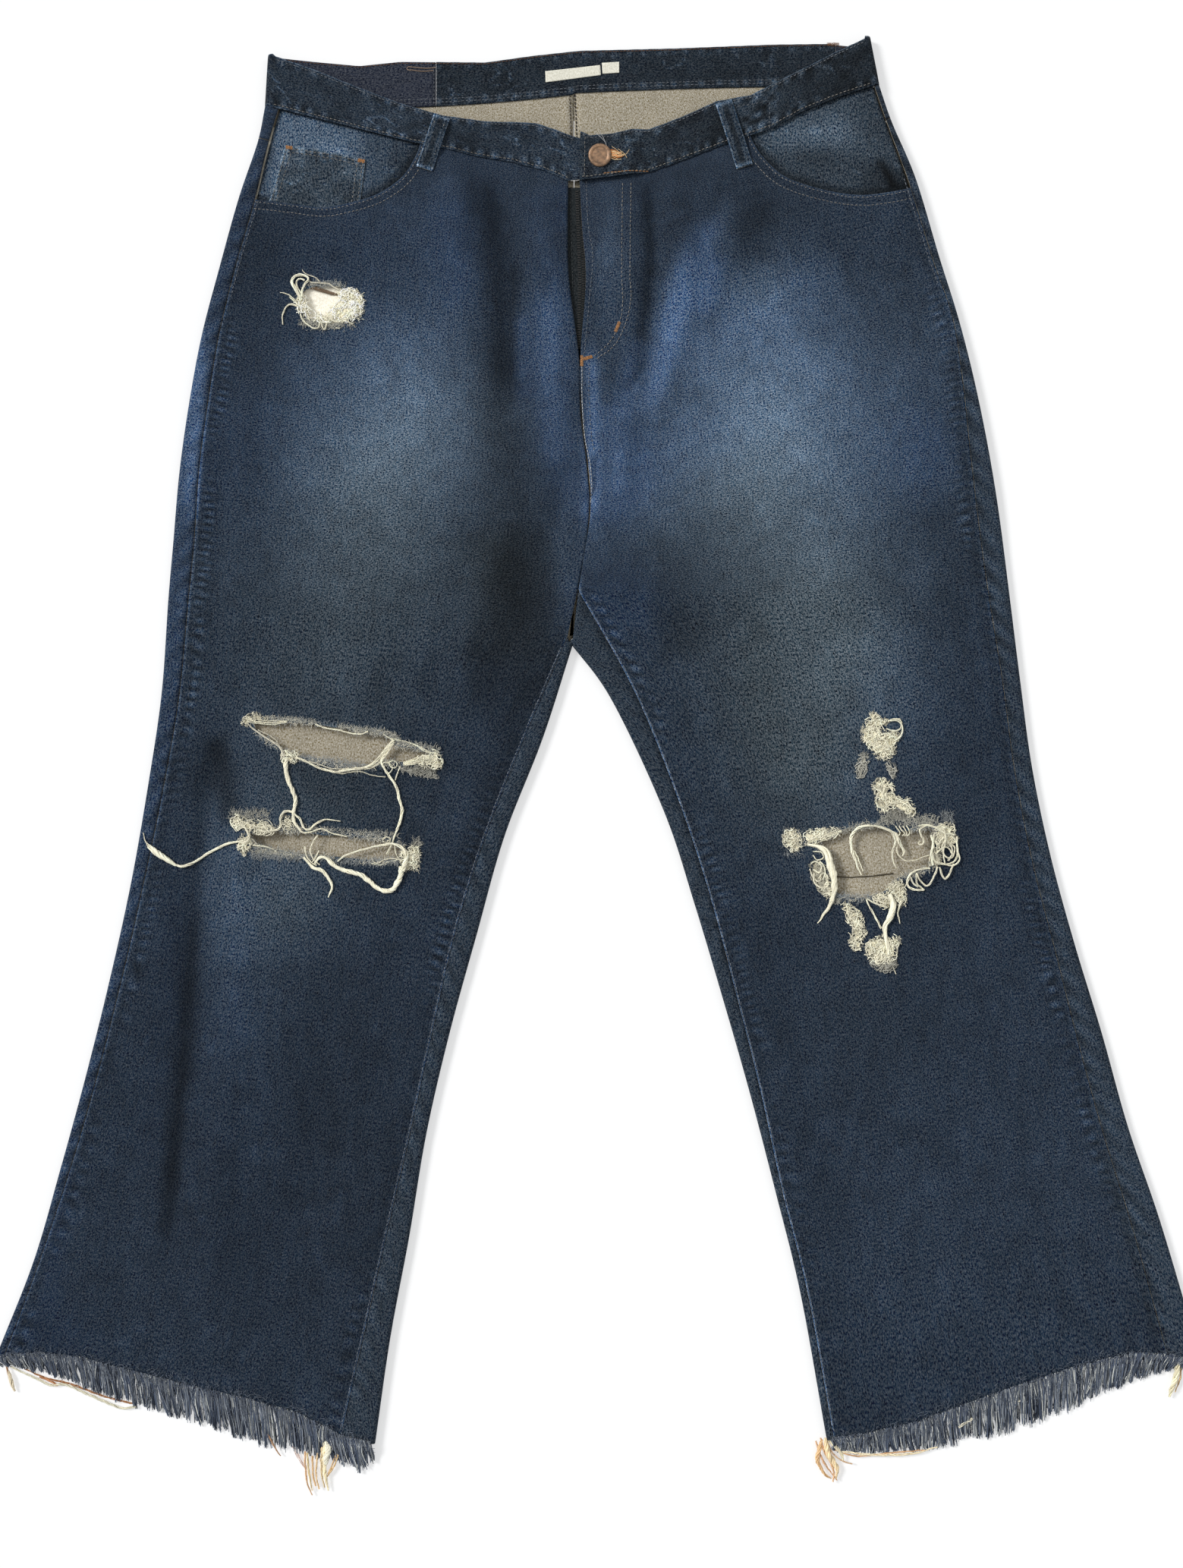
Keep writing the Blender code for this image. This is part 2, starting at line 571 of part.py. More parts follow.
for name, leg in (("right", RIGHT), ("left", LEFT)):
    rows, _ = back_rows(leg, [yoke_row(k) for k in (0.0, 0.5 / YOKE_SIDE, 1.0)])
    cloth("yoke_" + name, rows[:, :INNER + 1], CLOTH, denim_dark)
    rows, keep = back_rows(leg, [seat_row(s) for s in SEAT_STATIONS] + [leg_row(s) for s in LEG_STATIONS])
    cloth("back_" + name, rows, CLOTH, denim_dark, keep, INNER)

# ---- waistband --------------------------------------------------------------------------------------

FRONT_BAND_MID, BACK_BAND_MID = 6.2, 0.5 * BAND + LIFT
LAP = 8.95                     # the left end of the band lies over the right one


def back_edge(leg):
    """The waist edge of the back: y for x."""
    q = np.linspace(0, 1, 60)
    o, b = leg.outer(0.0), leg.back_inner(0.0)
    x = o[0] + (b[0] - o[0]) * q
    y = o[1] + (b[1] - o[1]) * q + leg.back_waist * 4 * q * (1 - q)
    order = np.argsort(x)
    return x[order], y[order]


def back_bottom(x):
    leg = RIGHT if x < -17.8 else LEFT
    return float(np.interp(x, *back_edge(leg))) + GAP + 0.1


def back_top(x):
    return float(lookup(BACK_BAND_TOP, x))


def band_bottom(leg, p):
    """Lower edge of the front band at share p."""
    q = leg.row(0.0, np.array(float(p)))
    if p > 1:
        # the hidden end lies above the other front's waist edge
        q[1] = np.interp(q[0], (-21.9, -13.0, 12.0), (420.6, 422.0, 425.0))
    return np.array([q[0], q[1] + GAP + 0.1])


def band_shares(leg):
    """The band has a column at each of the front's."""
    return tuple(float(leg.front_share(0.0, t)) for t in FRONT_SHARES[:0:-1])


def band_top(leg, p):
    table = RIGHT_BAND_TOP if leg is RIGHT else LEFT_BAND_TOP
    return np.array([lookup(table, p, 1), lookup(table, p, 2)])


def band_rows(leg, shares, back_to, levels=(0.0, 0.5, 1.0)):
    """The band from its front end round the side fold to its join behind."""
    radius, centre = (BAND_FOLD - BAND) / 2, BAND_FOLD / 2
    inward_x = np.array([-leg.side, 0.0])
    rows = []
    for v in levels:
        pts = []
        side = band_bottom(leg, 0) * (1 - v) + band_top(leg, 0) * v
        c = side + inward_x * centre
        for p in shares:
            xy = band_bottom(leg, p) * (1 - v) + band_top(leg, p) * v
            d = np.linalg.norm(xy - c)
            z = FRONT_BAND_MID + (LIFT + BAND_FOLD - BAND / 2 - FRONT_BAND_MID) * math.exp(-(d / 28.0) ** 2)
            if leg is LEFT:
                z += (LAP - FRONT_BAND_MID) * float(step((36.0 - xy[0]) / 16.0))
            pts.append((xy[0], xy[1], z))
        pts.append((c[0], c[1], LIFT + BAND_FOLD - BAND / 2))
        for a in ARC:
            xy = c - inward_x * radius * math.cos(a)
            pts.append((xy[0], xy[1], LIFT + centre + radius * math.sin(a)))
        for k in (0.12, 0.3, 0.5, 0.7, 0.85, 1.0):
            x = c[0] + (back_to - c[0]) * k
            low, high = back_bottom(x), back_top(x)
            pts.append((x, low + (high - low) * v, BACK_BAND_MID))
        rows.append(pts)
    return np.array(rows)


cloth("waistband_right", band_rows(RIGHT, (1.15, 1.07) + band_shares(RIGHT), BAND_JOIN_RIGHT), BAND, denim)
band_left = cloth("waistband_left", band_rows(LEFT, band_shares(LEFT), BAND_JOIN_LEFT), BAND, denim)
back_x = np.linspace(BAND_JOIN_RIGHT + GAP, BAND_JOIN_LEFT - GAP, 15)
cloth("waistband_back",
      np.array([[(x, back_bottom(x) * (1 - v) + back_top(x) * v, BACK_BAND_MID) for x in back_x]
                for v in (0.0, 1.0)]), BAND, denim_dark)

hole_low, hole_high, hole_half = BUTTONHOLE
ends = [(hole_high + hole_half * math.sin(a), BUTTON[1] + hole_half * math.cos(a))
        for a in np.linspace(0, math.pi, 7)]
starts = [(hole_low - hole_half * math.sin(a), BUTTON[1] - hole_half * math.cos(a))
          for a in np.linspace(0, math.pi, 7)]
cut(band_left, prism("cut_buttonhole", ends + starts, 7.0, 14.0))

# ---- button -----------------------------------------------------------------------------------------

SHANK_LOW, CAP_LOW, CAP_HIGH = 7.75, 10.5, 13.2
profile = ((0, CAP_HIGH - 0.5), (BUTTON_RADIUS * 0.62, CAP_HIGH - 0.4), (BUTTON_RADIUS * 0.72, CAP_HIGH),
           (BUTTON_RADIUS * 0.9, CAP_HIGH - 0.2), (BUTTON_RADIUS, CAP_HIGH - 1.2), (BUTTON_RADIUS * 0.94, CAP_LOW + 0.2),
           (BUTTON_RADIUS * 0.86, CAP_LOW), (SHANK_RADIUS, CAP_LOW), (SHANK_RADIUS, SHANK_LOW), (0, SHANK_LOW))
bm = bmesh.new()
line = [bm.verts.new((r * MM, 0, z * MM)) for r, z in profile]
for a, b in zip(line, line[1:]):
    bm.edges.new((a, b))
mesh = bpy.data.meshes.new("button")
bm.to_mesh(mesh)
bm.free()
button = place("button", mesh, copper)
button.location = ((BUTTON[0] - ORIGIN[0]) * MM, (BUTTON[1] - ORIGIN[1]) * MM, 0)
turn = button.modifiers.new("turn", "SCREW")
turn.axis = "Z"
turn.angle = 2 * math.pi
turn.steps = turn.render_steps = 28
turn.use_merge_vertices = True
turn.merge_threshold = 0.00005

# ---- fly and zip ------------------------------------------------------------------------------------

shares = np.linspace(0, 1, 4)


def strip(left, right, height, across=(0.0, 0.5, 1.0), down=shares):
    """Rows of a strip ruled between two chains of points, at one height or at a height for each point."""
    a, b = along(left, down), along(right, down)
    rows = np.array([[p + (q - p) * k for k in across] for p, q in zip(a, b)])
    z = height(rows[..., 0], rows[..., 1]) if callable(height) else np.full(rows.shape[:2], height)
    return np.concatenate([rows[..., :2], z[..., None]], axis=-1)


cloth("fly_shield", strip(SHIELD_LEFT, SHIELD_RIGHT, 3.7), LINING, denim_dark)
cloth("zip_tape", strip(ZIP_LEFT, ZIP_RIGHT, 5.0), LINING, zip_black)

# ---- pockets ----------------------------------------------------------------------------------------


def facing_rows(leg, mouth, depth, below):
    """The facing that fills a pocket mouth, from the waist seam to below the mouth's edge."""
    mouth = np.asarray(mouth, float)
    normal = unit(np.stack([np.gradient(mouth[:, 1]), -np.gradient(mouth[:, 0])], -1))
    normal *= np.where(normal[:, 1:2] > 0, -1, 1)
    lower = mouth + normal * below
    s_end, _ = leg.locate(np.array([lower[-1][0]]), np.array([lower[-1][1]]))
    edge = leg.outer(s_end) + unit(leg.front_inner(s_end) - leg.outer(s_end)) * (leg.wrap(s_end)[:, None] + GAP)
    lower[-1] = edge[0]
    k = np.linspace(0, 1, 9)
    low = along(lower, k)
    s_top = 0.014
    x_inner = low[0, 0]
    p_grid = np.linspace(0, 1, 200)
    line = leg.row(0.0, p_grid)
    p_inner = float(np.interp(x_inner, *((line[:, 0], p_grid) if leg.side < 0 else (line[::-1, 0], p_grid[::-1]))))
    p_outer = float((leg.wrap(0.0) + GAP) / leg.span(0.0))
    top = leg.row(np.full(9, s_top), p_inner + (p_outer - p_inner) * k)
    low[0] = low[0] * 0.5 + top[0] * 0.5
    rows = np.array([top + (low - top) * v for v in (0.0, 0.3, 0.6, 0.85, 1.0)])
    # the outer side follows the outer seam
    for r, v in enumerate((0.0, 0.3, 0.6, 0.85, 1.0)):
        s = s_top + (float(s_end[0]) - s_top) * v
        e = leg.row(np.array([s]), np.array([(leg.wrap(s) + GAP) / leg.span(s)]))[0]
        shift = e - rows[r, -1]
        rows[r] += shift * (k[:, None] ** 4)
    z = leg.height_at(rows[..., 0], rows[..., 1]) - depth
    return np.concatenate([rows, z[..., None]], axis=-1)


FACING_RIGHT_DEPTH, FACING_LEFT_DEPTH = 2.85, 1.6
cloth("facing_right", facing_rows(RIGHT, RIGHT_MOUTH, FACING_RIGHT_DEPTH, 9.0), 1.1, denim_light)
cloth("facing_left", facing_rows(LEFT, LEFT_MOUTH, FACING_LEFT_DEPTH, 9.0), 1.1, denim_light)

coin = strip((COIN[0], COIN[3]), (COIN[1], COIN[2]), lambda x, y: RIGHT.height_at(x, y) - 1.45,
             across=(0, 0.33, 0.67, 1), down=(0, 0.5, 1))
cloth("coin_pocket", coin, LINING, denim_light)
cloth("pocket_bag_right", strip((POCKET_BAG[0], POCKET_BAG[3]), (POCKET_BAG[1], POCKET_BAG[2]), 3.7,
                                across=(0, 0.5, 1), down=(0, 0.5, 1)), LINING, pocketing)

for name, x in BACK_POCKETS:
    half, top = BACK_POCKET_WIDTH / 2, BACK_POCKET_TOP
    plate(name, ((x - half, top), (x - half + 6, top - BACK_POCKET_SIDE), (x, top - BACK_POCKET_POINT),
                 (x + half - 6, top - BACK_POCKET_SIDE), (x + half, top)), 0, CLOTH, denim_dark)

# ---- belt loops -------------------------------------------------------------------------------------

for name, x0, y0, x1, y1 in LOOPS:
    leg = RIGHT if x0 < 0 else LEFT
    d = unit(np.array([x1 - x0, y1 - y0]))
    n = np.array([-d[1], d[0]]) * LOOP_WIDTH / 2
    middle = np.array([[x0 + (x1 - x0) * k, y0 + (y1 - y0) * k] for k in (0, 0.25, 0.5, 0.7, 0.85, 1)])
    under = []
    for q in middle:
        probes = np.array([q + n * w for w in (-1.2, -0.6, 0, 0.6, 1.2)])
        under.append(max(FRONT_BAND_MID + BAND / 2 + 0.2, float(np.max(leg.height_at(probes[:, 0], probes[:, 1]))) + CLOTH / 2))
    under = [max(under[max(i - 1, 0):i + 2]) for i in range(len(under))]
    rows = np.array([[(*(q + n * w), z + GAP + CLOTH / 2) for w in (-1, 0, 1)] for q, z in zip(middle, under)])
    cloth(name, rows, CLOTH, denim)

for name, x in BACK_LOOPS:
    top = back_top(x) - 1.5
    plate(name, ((x - LOOP_WIDTH / 2, top), (x - LOOP_WIDTH / 2, top - LOOP_LENGTH),
                 (x + LOOP_WIDTH / 2, top - LOOP_LENGTH), (x + LOOP_WIDTH / 2, top)), 0, CLOTH, denim_dark)

# ---- labels -----------------------------------------------------------------------------------------

plate("label_main", LABEL_MAIN, LIFT + BAND + GAP, TAPE, woven)
plate("label_size", LABEL_SIZE, LIFT + BAND + GAP, TAPE, woven)

# ---- frayed hems ------------------------------------------------------------------------------------


def fringe_rows(leg, tips, front):
    """A strip of the fringe's reach, from the hem's edge to the tips, with a column for each of the hem's."""
    f, b, span = leg.front_inner(16.0), leg.back_inner(16.0), float(leg.span(16.0))
    turn = float(np.linalg.norm(b - f)) - 3.0
    if front:
        p = np.concatenate((leg.front_share(16.0, np.array(FRONT_SHARES)), [1 + turn / span] if turn > 5 else []))
        p[0] = 0.012
        past = np.maximum(p - 1.0, 0)[:, None] * span
        edge = leg.row(np.full(len(p), 16.0), np.minimum(p, 1.0)) + unit(b - f) * past
        near = np.exp(-(p * span / FALL) ** 2) + np.exp(-((1 + turn / span - p) * span / FALL) ** 2)
        z_low = np.full(len(p), 1.5 * CLOTH + GAP)
        z_top = z_low + (FOLD - 2 * CLOTH - GAP) * np.minimum(near, 1) * 0.6
        low = along(tips, p / p[-1])
    else:
        q = np.array((0.0,) + BOTTOM_SHARES)
        edge = np.array([underside(leg, 16.0, k) for k in q])
        z_top = z_low = np.full(len(q), CLOTH / 2)
        low = edge + (along(tips, q) - edge) * 0.9
    edge[:, 1] -= GAP + 0.3
    return np.array([np.concatenate([edge + (low - edge) * v, (z_top + (z_low - z_top) * v)[:, None]], axis=-1)
                     for v in (0.0, 0.5, 1.0)])


for name, leg, tips in (("right", RIGHT, RIGHT_FRINGE), ("left", LEFT, LEFT_FRINGE)):
    cloth("fringe_front_" + name, fringe_rows(leg, tips, True), CLOTH, frayed)
    cloth("fringe_back_" + name, fringe_rows(leg, tips, False), CLOTH, frayed)
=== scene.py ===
"""Ripped kick-flare jeans, laid flat with the front up: the looks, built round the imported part.

The cloth's shape comes from the same stations as the part: a front panel for each leg cut to its own
holes and pocket mouth, back panels that come round the side folds, the waistband, and the small pieces.
Sizes are millimetres unless a name says otherwise. +Y runs to the waist, +X to the wearer's left.
"""

import bpy
import math
import numpy as np
from mathutils.bvhtree import BVHTree
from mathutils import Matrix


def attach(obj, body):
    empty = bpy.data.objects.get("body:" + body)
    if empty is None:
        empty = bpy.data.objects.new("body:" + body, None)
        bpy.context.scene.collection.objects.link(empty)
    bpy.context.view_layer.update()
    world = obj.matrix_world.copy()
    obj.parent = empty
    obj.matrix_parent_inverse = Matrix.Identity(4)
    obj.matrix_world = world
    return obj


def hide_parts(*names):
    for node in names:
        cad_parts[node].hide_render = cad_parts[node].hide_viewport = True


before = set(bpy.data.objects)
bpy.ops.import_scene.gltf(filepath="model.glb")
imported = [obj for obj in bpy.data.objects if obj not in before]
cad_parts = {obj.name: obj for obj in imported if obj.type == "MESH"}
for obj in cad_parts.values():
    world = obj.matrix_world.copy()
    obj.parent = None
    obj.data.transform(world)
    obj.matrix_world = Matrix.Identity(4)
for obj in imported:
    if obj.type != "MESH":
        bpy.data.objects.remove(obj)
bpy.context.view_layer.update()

scene = bpy.context.scene

MM = 0.001
ORIGIN = (0.26, 3.38)        # middle of the laid garment's outline, moved to X = Y = 0

CLOTH = 1.2                  # denim panel
BAND = 2.4                   # waistband, denim folded double
LINING = 1.0                 # pocket bag, coin pocket, zip tape, fly shield
TAPE = 0.5                   # woven labels
GAP = 0.4                    # seam gap between neighbouring pieces
FOLD = 7.0                   # height of the soft fold at the sides of a leg
BAND_FOLD = 7.8              # the same at the sides of the waistband
LIFT = 1.6                   # room below the seat for back pockets and loops
LIFT_FROM, LIFT_TO = 143.0, 205.0
FALL = 28.0                  # how far from a fold the cloth comes down
CROTCH = 8                   # station of the crotch point
YOKE_SIDE, YOKE_MIDDLE = 0.9, 1.6

# station, outer x, outer y, wrap of the back panel round to the top, front panel's inner edge x, y,
# back panel's inner edge x, y
RIGHT_LEG = (
    ("waist_seam", -244.2, 475.6, 11.1, -21.9, 420.6, -18.1, 485.0),
    ("yoke", -249.7, 449.4, 8.9, -22.5, 387.2, -18.1, 448.3),
    ("pocket", -263.6, 408.3, 12.8, -21.4, 348.3, -18.1, 403.9),
    ("fly_end", -277.5, 358.3, 12.2, -14.2, 291.7, -18.1, 348.3),
    ("hip", -290.3, 309.4, 13.3, -13.1, 251.1, -18.1, 292.8),
    ("seat", -299.2, 262.2, 14.4, -8.6, 213.9, -18.1, 237.2),
    ("upper_thigh", -306.4, 212.2, 15.0, -6.9, 180.6, -18.1, 184.4),
    ("fork", -311.4, 159.4, 16.1, -11.4, 140.0, -18.1, 131.7),
    ("crotch", -315.3, 115.0, 15.6, -22.5, 88.3, -18.3, 83.3),
    ("thigh", -320.3, 45.6, 13.9, -54.2, 13.9, -40.8, 13.3),
    ("above_knee", -330.6, -23.9, 12.2, -81.9, -56.1, -68.6, -57.8),
    ("knee", -342.8, -93.3, 10.0, -104.7, -128.3, -89.2, -130.6),
    ("below_knee", -358.1, -162.8, 9.4, -121.4, -201.1, -109.2, -203.3),
    ("calf", -375.3, -232.2, 8.9, -137.5, -274.4, -126.1, -276.7),
    ("shin", -394.2, -301.7, 7.8, -154.7, -348.3, -138.6, -351.7),
    ("ankle", -414.2, -371.1, 5.0, -171.4, -422.2, -152.5, -426.1),
    ("hem", -441.4, -440.6, 6.7, -188.6, -497.8, -163.6, -503.3),
)
LEFT_LEG = (
    ("waist_seam", 205.8, 491.1, 4.6, -13.6, 420.6, -17.5, 486.1),
    ("yoke", 215.3, 463.9, 4.6, -11.9, 387.2, -17.5, 448.3),
    ("pocket", 232.5, 423.3, 6.7, -9.2, 348.3, -17.5, 403.9),
    ("fly_end", 249.7, 366.1, 6.1, -13.1, 291.7, -17.5, 348.3),
    ("hip", 263.6, 321.7, 5.0, -11.9, 251.1, -17.5, 292.8),
    ("seat", 275.3, 276.1, 9.4, -7.5, 213.9, -17.5, 237.2),
    ("upper_thigh", 285.8, 225.0, 14.4, -5.8, 180.6, -17.5, 184.4),
    ("fork", 294.7, 170.6, 16.7, -10.3, 148.3, -17.5, 131.7),
    ("crotch", 301.9, 115.0, 16.1, -14.6, 121.7, -21.4, 84.4),
    ("thigh", 309.2, 56.7, 13.9, 27.5, 45.6, 9.7, 41.7),
    ("above_knee", 318.1, -8.3, 13.9, 60.8, -37.8, 48.3, -40.6),
    ("knee", 331.9, -73.9, 15.0, 83.1, -106.7, 70.8, -108.9),
    ("below_knee", 349.7, -138.9, 16.1, 101.4, -176.1, 91.4, -177.8),
    ("calf", 369.2, -202.8, 19.4, 118.6, -244.4, 110.8, -245.6),
    ("shin", 388.6, -272.2, 20.0, 134.7, -318.3, 129.9, -318.9),
    ("ankle", 412.5, -343.3, 23.3, 153.4, -393.9, 148.4, -394.6),
    ("hem", 441.9, -443.3, 26.1, 172.4, -499.4, 167.4, -500.4),
)

# share of the way across from the outer fold, rise over the straight line between its ends
RIGHT_WAIST = ((0, 0), (0.5, 0), (0.7, 1.7), (0.81, 4.4), (0.92, 4.0), (1, 0), (1.2, 0))
LEFT_WAIST = ((0, 0), (0.14, 1.0), (0.26, -1.0), (0.36, -6.0), (0.52, -7.0), (0.7, -9.0),
              (0.77, -9.4), (0.89, -5.0), (1, 0))
RIGHT_HEM = ((0, 0), (0.05, 5.0), (0.12, 10.0), (0.24, 13.0), (0.39, 11.5), (0.58, 10.5),
             (0.73, 10.5), (0.88, 8.5), (0.96, 3.5), (1, 0))
LEFT_HEM = ((0, 0), (0.07, 8.0), (0.17, 15.5), (0.24, 15.5), (0.34, 14.0), (0.46, 10.5), (0.59, 5.5),
            (0.7, 1.0), (0.78, -2.5), (0.9, -3.0), (1, 0))
RIGHT_BACK_WAIST, LEFT_BACK_WAIST = -4.5, 1.5

# waistband top edges: share across the front, x, y
RIGHT_BAND_TOP = ((0, -241.9, 513.3), (0.14, -208.6, 502.2), (0.28, -175.8, 488.9), (0.42, -143.6, 476.7),
                  (0.56, -114.2, 468.3), (0.7, -82.5, 463.9), (0.8, -62.5, 463.6), (0.88, -45.8, 462.8),
                  (0.95, -30.8, 457.8), (1, -17.5, 452.8), (1.07, -2.5, 448.3), (1.15, 12.5, 444.4))
LEFT_BAND_TOP = ((0, 199.2, 526.4), (0.15, 173.1, 514.4), (0.36, 128.1, 491.7), (0.45, 111.9, 483.3),
                 (0.55, 86.9, 478.9), (0.63, 64.7, 468.9), (0.7, 50.8, 463.3), (0.77, 36.9, 458.3),
                 (0.82, 24.7, 458.0), (0.89, 10.8, 454.4), (0.97, -6.4, 453.1), (1, -13.1, 456.2))
# the far edge behind: x, y
BACK_BAND_TOP = ((-241.9, 512.8), (-210.8, 509.4), (-175.3, 506.1), (-145.3, 509.2), (-82.5, 508.6),
                 (-49.2, 513.3), (-13.6, 517.2), (56.9, 518.9), (128.1, 521.7), (166.9, 522.2),
                 (183.1, 520.6), (199.2, 526.4))
BAND_JOIN_RIGHT, BAND_JOIN_LEFT = -119.2, 174.2

# broad folds of the laid front: x, y to x, y, half width, height
FOLDS = (
    ("right_hip", -104.7, 405.0, -82.5, 209.4, 35.0, 3.0),
    ("left_hip", 78.6, 400.0, 61.9, 220.6, 40.0, 3.0),
    ("below_fly", -8.0, 285.0, -7.5, 190.0, 24.0, 2.2),
    ("left_thigh", 117.5, 198.0, 150.8, 54.0, 45.0, 2.5),
    ("right_thigh", -127.0, 165.0, -171.0, 54.0, 45.0, 2.5),
    ("right_shin", -254.7, -85.0, -277.0, -363.0, 40.0, 3.0),
    ("left_shin", 217.5, -157.0, 262.0, -390.0, 45.0, 2.5),
)
# rooms below the front for the layers there: x from, x to, y from, y to, edge, height
ROOMS = (
    ("right_pocket", -300.0, -108.0, 378.0, 600.0, 26.0, 4.2),
    ("right_bag", -300.0, -98.0, 280.0, 600.0, 30.0, 1.5),
    ("left_pocket", 98.0, 300.0, 382.0, 600.0, 30.0, 1.6),
    ("fly", -28.0, 20.0, 284.0, 600.0, 20.0, 3.0),
)

# pocket mouths from the waist to the outer seam
RIGHT_MOUTH = ((-129.5, 450.0), (-133.0, 439.0), (-142.5, 423.9), (-158.6, 412.2), (-175.3, 406.1),
               (-199.7, 401.1), (-224.2, 403.9), (-251.4, 407.2))
LEFT_MOUTH = ((110.5, 458.0), (113.5, 449.0), (120.8, 438.3), (136.9, 424.1), (163.6, 415.2),
              (189.7, 410.8), (213.1, 412.6), (227.5, 415.6))
COIN = ((-229.2, 446.7), (-170.3, 436.1), (-175.5, 394.0), (-244.5, 393.0))
POCKET_BAG = ((-242.5, 462.0), (-104.7, 436.1), (-104.7, 287.2), (-268.0, 331.7))

# holes: share along the axis, reach above, reach below
RIPS = (
    ("right_upper", -253.6, 22.2, -118.6, 1.1,
     ((0.12, 4.4, 11.7), (0.25, 7.8, 20.0), (0.45, 8.6, 20.0), (0.65, 8.3, 16.1), (0.85, 5.6, 8.9))),
    ("right_lower", -257.5, -60.6, -141.9, -73.9,
     ((0.1, 5.0, 3.9), (0.3, 8.3, 6.1), (0.55, 8.9, 8.3), (0.8, 8.9, 8.3), (0.95, 7.8, 3.9))),
    ("left_knee", 157.5, -63.3, 246.4, -57.2,
     ((0.1, 2.2, 5.0), (0.22, 5.6, 39.4), (0.5, 8.9, 42.2), (0.62, 7.8, 33.3), (0.8, 6.1, 26.1),
      (0.95, 4.4, 23.3))),
    ("hip", -218.1, 331.7, -182.5, 332.8,
     ((0.15, 9.4, 7.8), (0.5, 10.8, 11.1), (0.85, 6.7, 6.1))),
)

# front belt loops: top x, y, bottom x, y
LOOP_WIDTH = 12.0
LOOPS = (("loop_front_right", -114.2, 467.5, -126.9, 428.3), ("loop_front_left", 91.4, 478.5, 106.9, 431.0))
BACK_LOOPS = (("loop_back_right", -129.2), ("loop_back_mid", -18.1), ("loop_back_left", 160.0))
LOOP_LENGTH = 48.0

BUTTON = (1.4, 438.9)
BUTTON_RADIUS = 8.5
SHANK_RADIUS = 2.4
BUTTONHOLE = (-2.5, 16.5, 3.3)       # x from, x to, half width

ZIP_LEFT = ((-25.3, 416.5), (-24.2, 387.2), (-23.1, 348.3), (-16.9, 298.3))
ZIP_RIGHT = ((-3.6, 416.5), (-2.5, 387.2), (-1.4, 348.3), (-9.2, 297.2))
SHIELD_LEFT = ((-34.0, 417.0), (-34.0, 387.0), (-33.0, 348.0), (-24.0, 292.0))
SHIELD_RIGHT = ((9.0, 417.0), (9.0, 387.0), (9.0, 348.0), (-4.0, 290.0))

LABEL_MAIN = ((-38.9, 502.2), (1.4, 506.7), (1.9, 499.4), (-38.6, 494.1))
LABEL_SIZE = ((2.5, 508.3), (15.3, 509.1), (15.3, 501.1), (3.1, 500.3))

BACK_POCKET_TOP, BACK_POCKET_WIDTH, BACK_POCKET_SIDE, BACK_POCKET_POINT = 392.8, 150.0, 140.0, 160.0
BACK_POCKETS = (("back_pocket_right", -117.0), ("back_pocket_left", 83.0))

# tips of the frayed hems, from the outer fold inwards
RIGHT_FRINGE = ((-438.0, -447.5), (-430.3, -447.5), (-399.7, -453.9), (-367.5, -467.2), (-323.1, -480.6),
                (-294.7, -488.3), (-246.9, -503.3), (-218.1, -508.9), (-199.2, -515.0), (-174.2, -523.3),
                (-165.5, -515.0))
LEFT_FRINGE = ((438.0, -450.5), (415.3, -449.5), (396.9, -457.8), (378.6, -463.9), (351.4, -476.1),
               (323.6, -486.1), (295.8, -495.6), (268.6, -501.1), (242.5, -508.3), (213.1, -511.1),
               (185.8, -511.1), (172.0, -509.0))

DENIM = (0.022, 0.040, 0.095)
DENIM_LIGHT = (0.050, 0.085, 0.160)
DENIM_INSIDE = (0.300, 0.290, 0.270)
THREAD_END = (0.090, 0.120, 0.180)


# ---- curves and steps -------------------------------------------------------------------------------

def smooth(values, s):
    """A smooth curve through values given at s = 0, 1, 2, ..., straight past its ends."""
    v = np.asarray(values, float)
    s = np.asarray(s, float)
    n = len(v)
    v = np.concatenate(([2 * v[0] - v[1]], v, [2 * v[-1] - v[-2]]))
    inside = np.clip(s, 0, n - 1)
    i = np.minimum(inside.astype(int), n - 2)
    f = inside - i
    a, b, c, d = v[i], v[i + 1], v[i + 2], v[i + 3]
    f2, f3 = f * f, f * f * f
    out = ((2 * f3 - 3 * f2 + 1) * b + (f3 - 2 * f2 + f) * (c - a) / 2
           + (3 * f2 - 2 * f3) * c + (f3 - f2) * (d - b) / 2)
    return out + np.minimum(s, 0) * (v[2] - v[1]) + np.maximum(s - (n - 1), 0) * (v[-2] - v[-3])


def broken(values, s):
    """The same with a corner at the crotch."""
    s = np.asarray(s, float)
    return np.where(s <= CROTCH, smooth(values[:CROTCH + 1], s), smooth(values[CROTCH:], s - CROTCH))


def step(x):
    x = np.clip(x, 0.0, 1.0)
    return x * x * (3 - 2 * x)


def lookup(table, x, column=1):
    """A column of a table of rows, read at x in its first column."""
    return np.interp(x, [row[0] for row in table], [row[column] for row in table])


def along(points, shares):
    """Points at shares of the way along a chain of points."""
    points = np.asarray(points, float)
    run = np.concatenate(([0], np.cumsum(np.hypot(*np.diff(points[:, :2], axis=0).T))))
    return np.stack([np.interp(np.asarray(shares) * run[-1], run, points[:, k])
                     for k in range(points.shape[1])], axis=-1)


def unit(v):
    return v / np.linalg.norm(v, axis=-1, keepdims=True)


def lift(y):
    return LIFT * step((y - LIFT_FROM) / (LIFT_TO - LIFT_FROM))


def ridge(x, y, fold):
    """Height at x, y of one broad fold of the table."""
    _, x0, y0, x1, y1, half, height = fold
    dx, dy = x1 - x0, y1 - y0
    t = np.clip(((x - x0) * dx + (y - y0) * dy) / (dx * dx + dy * dy), 0, 1)
    d = np.hypot(x - x0 - t * dx, y - y0 - t * dy)
    return height * step(1 - d / (2 * half)) ** 1.3


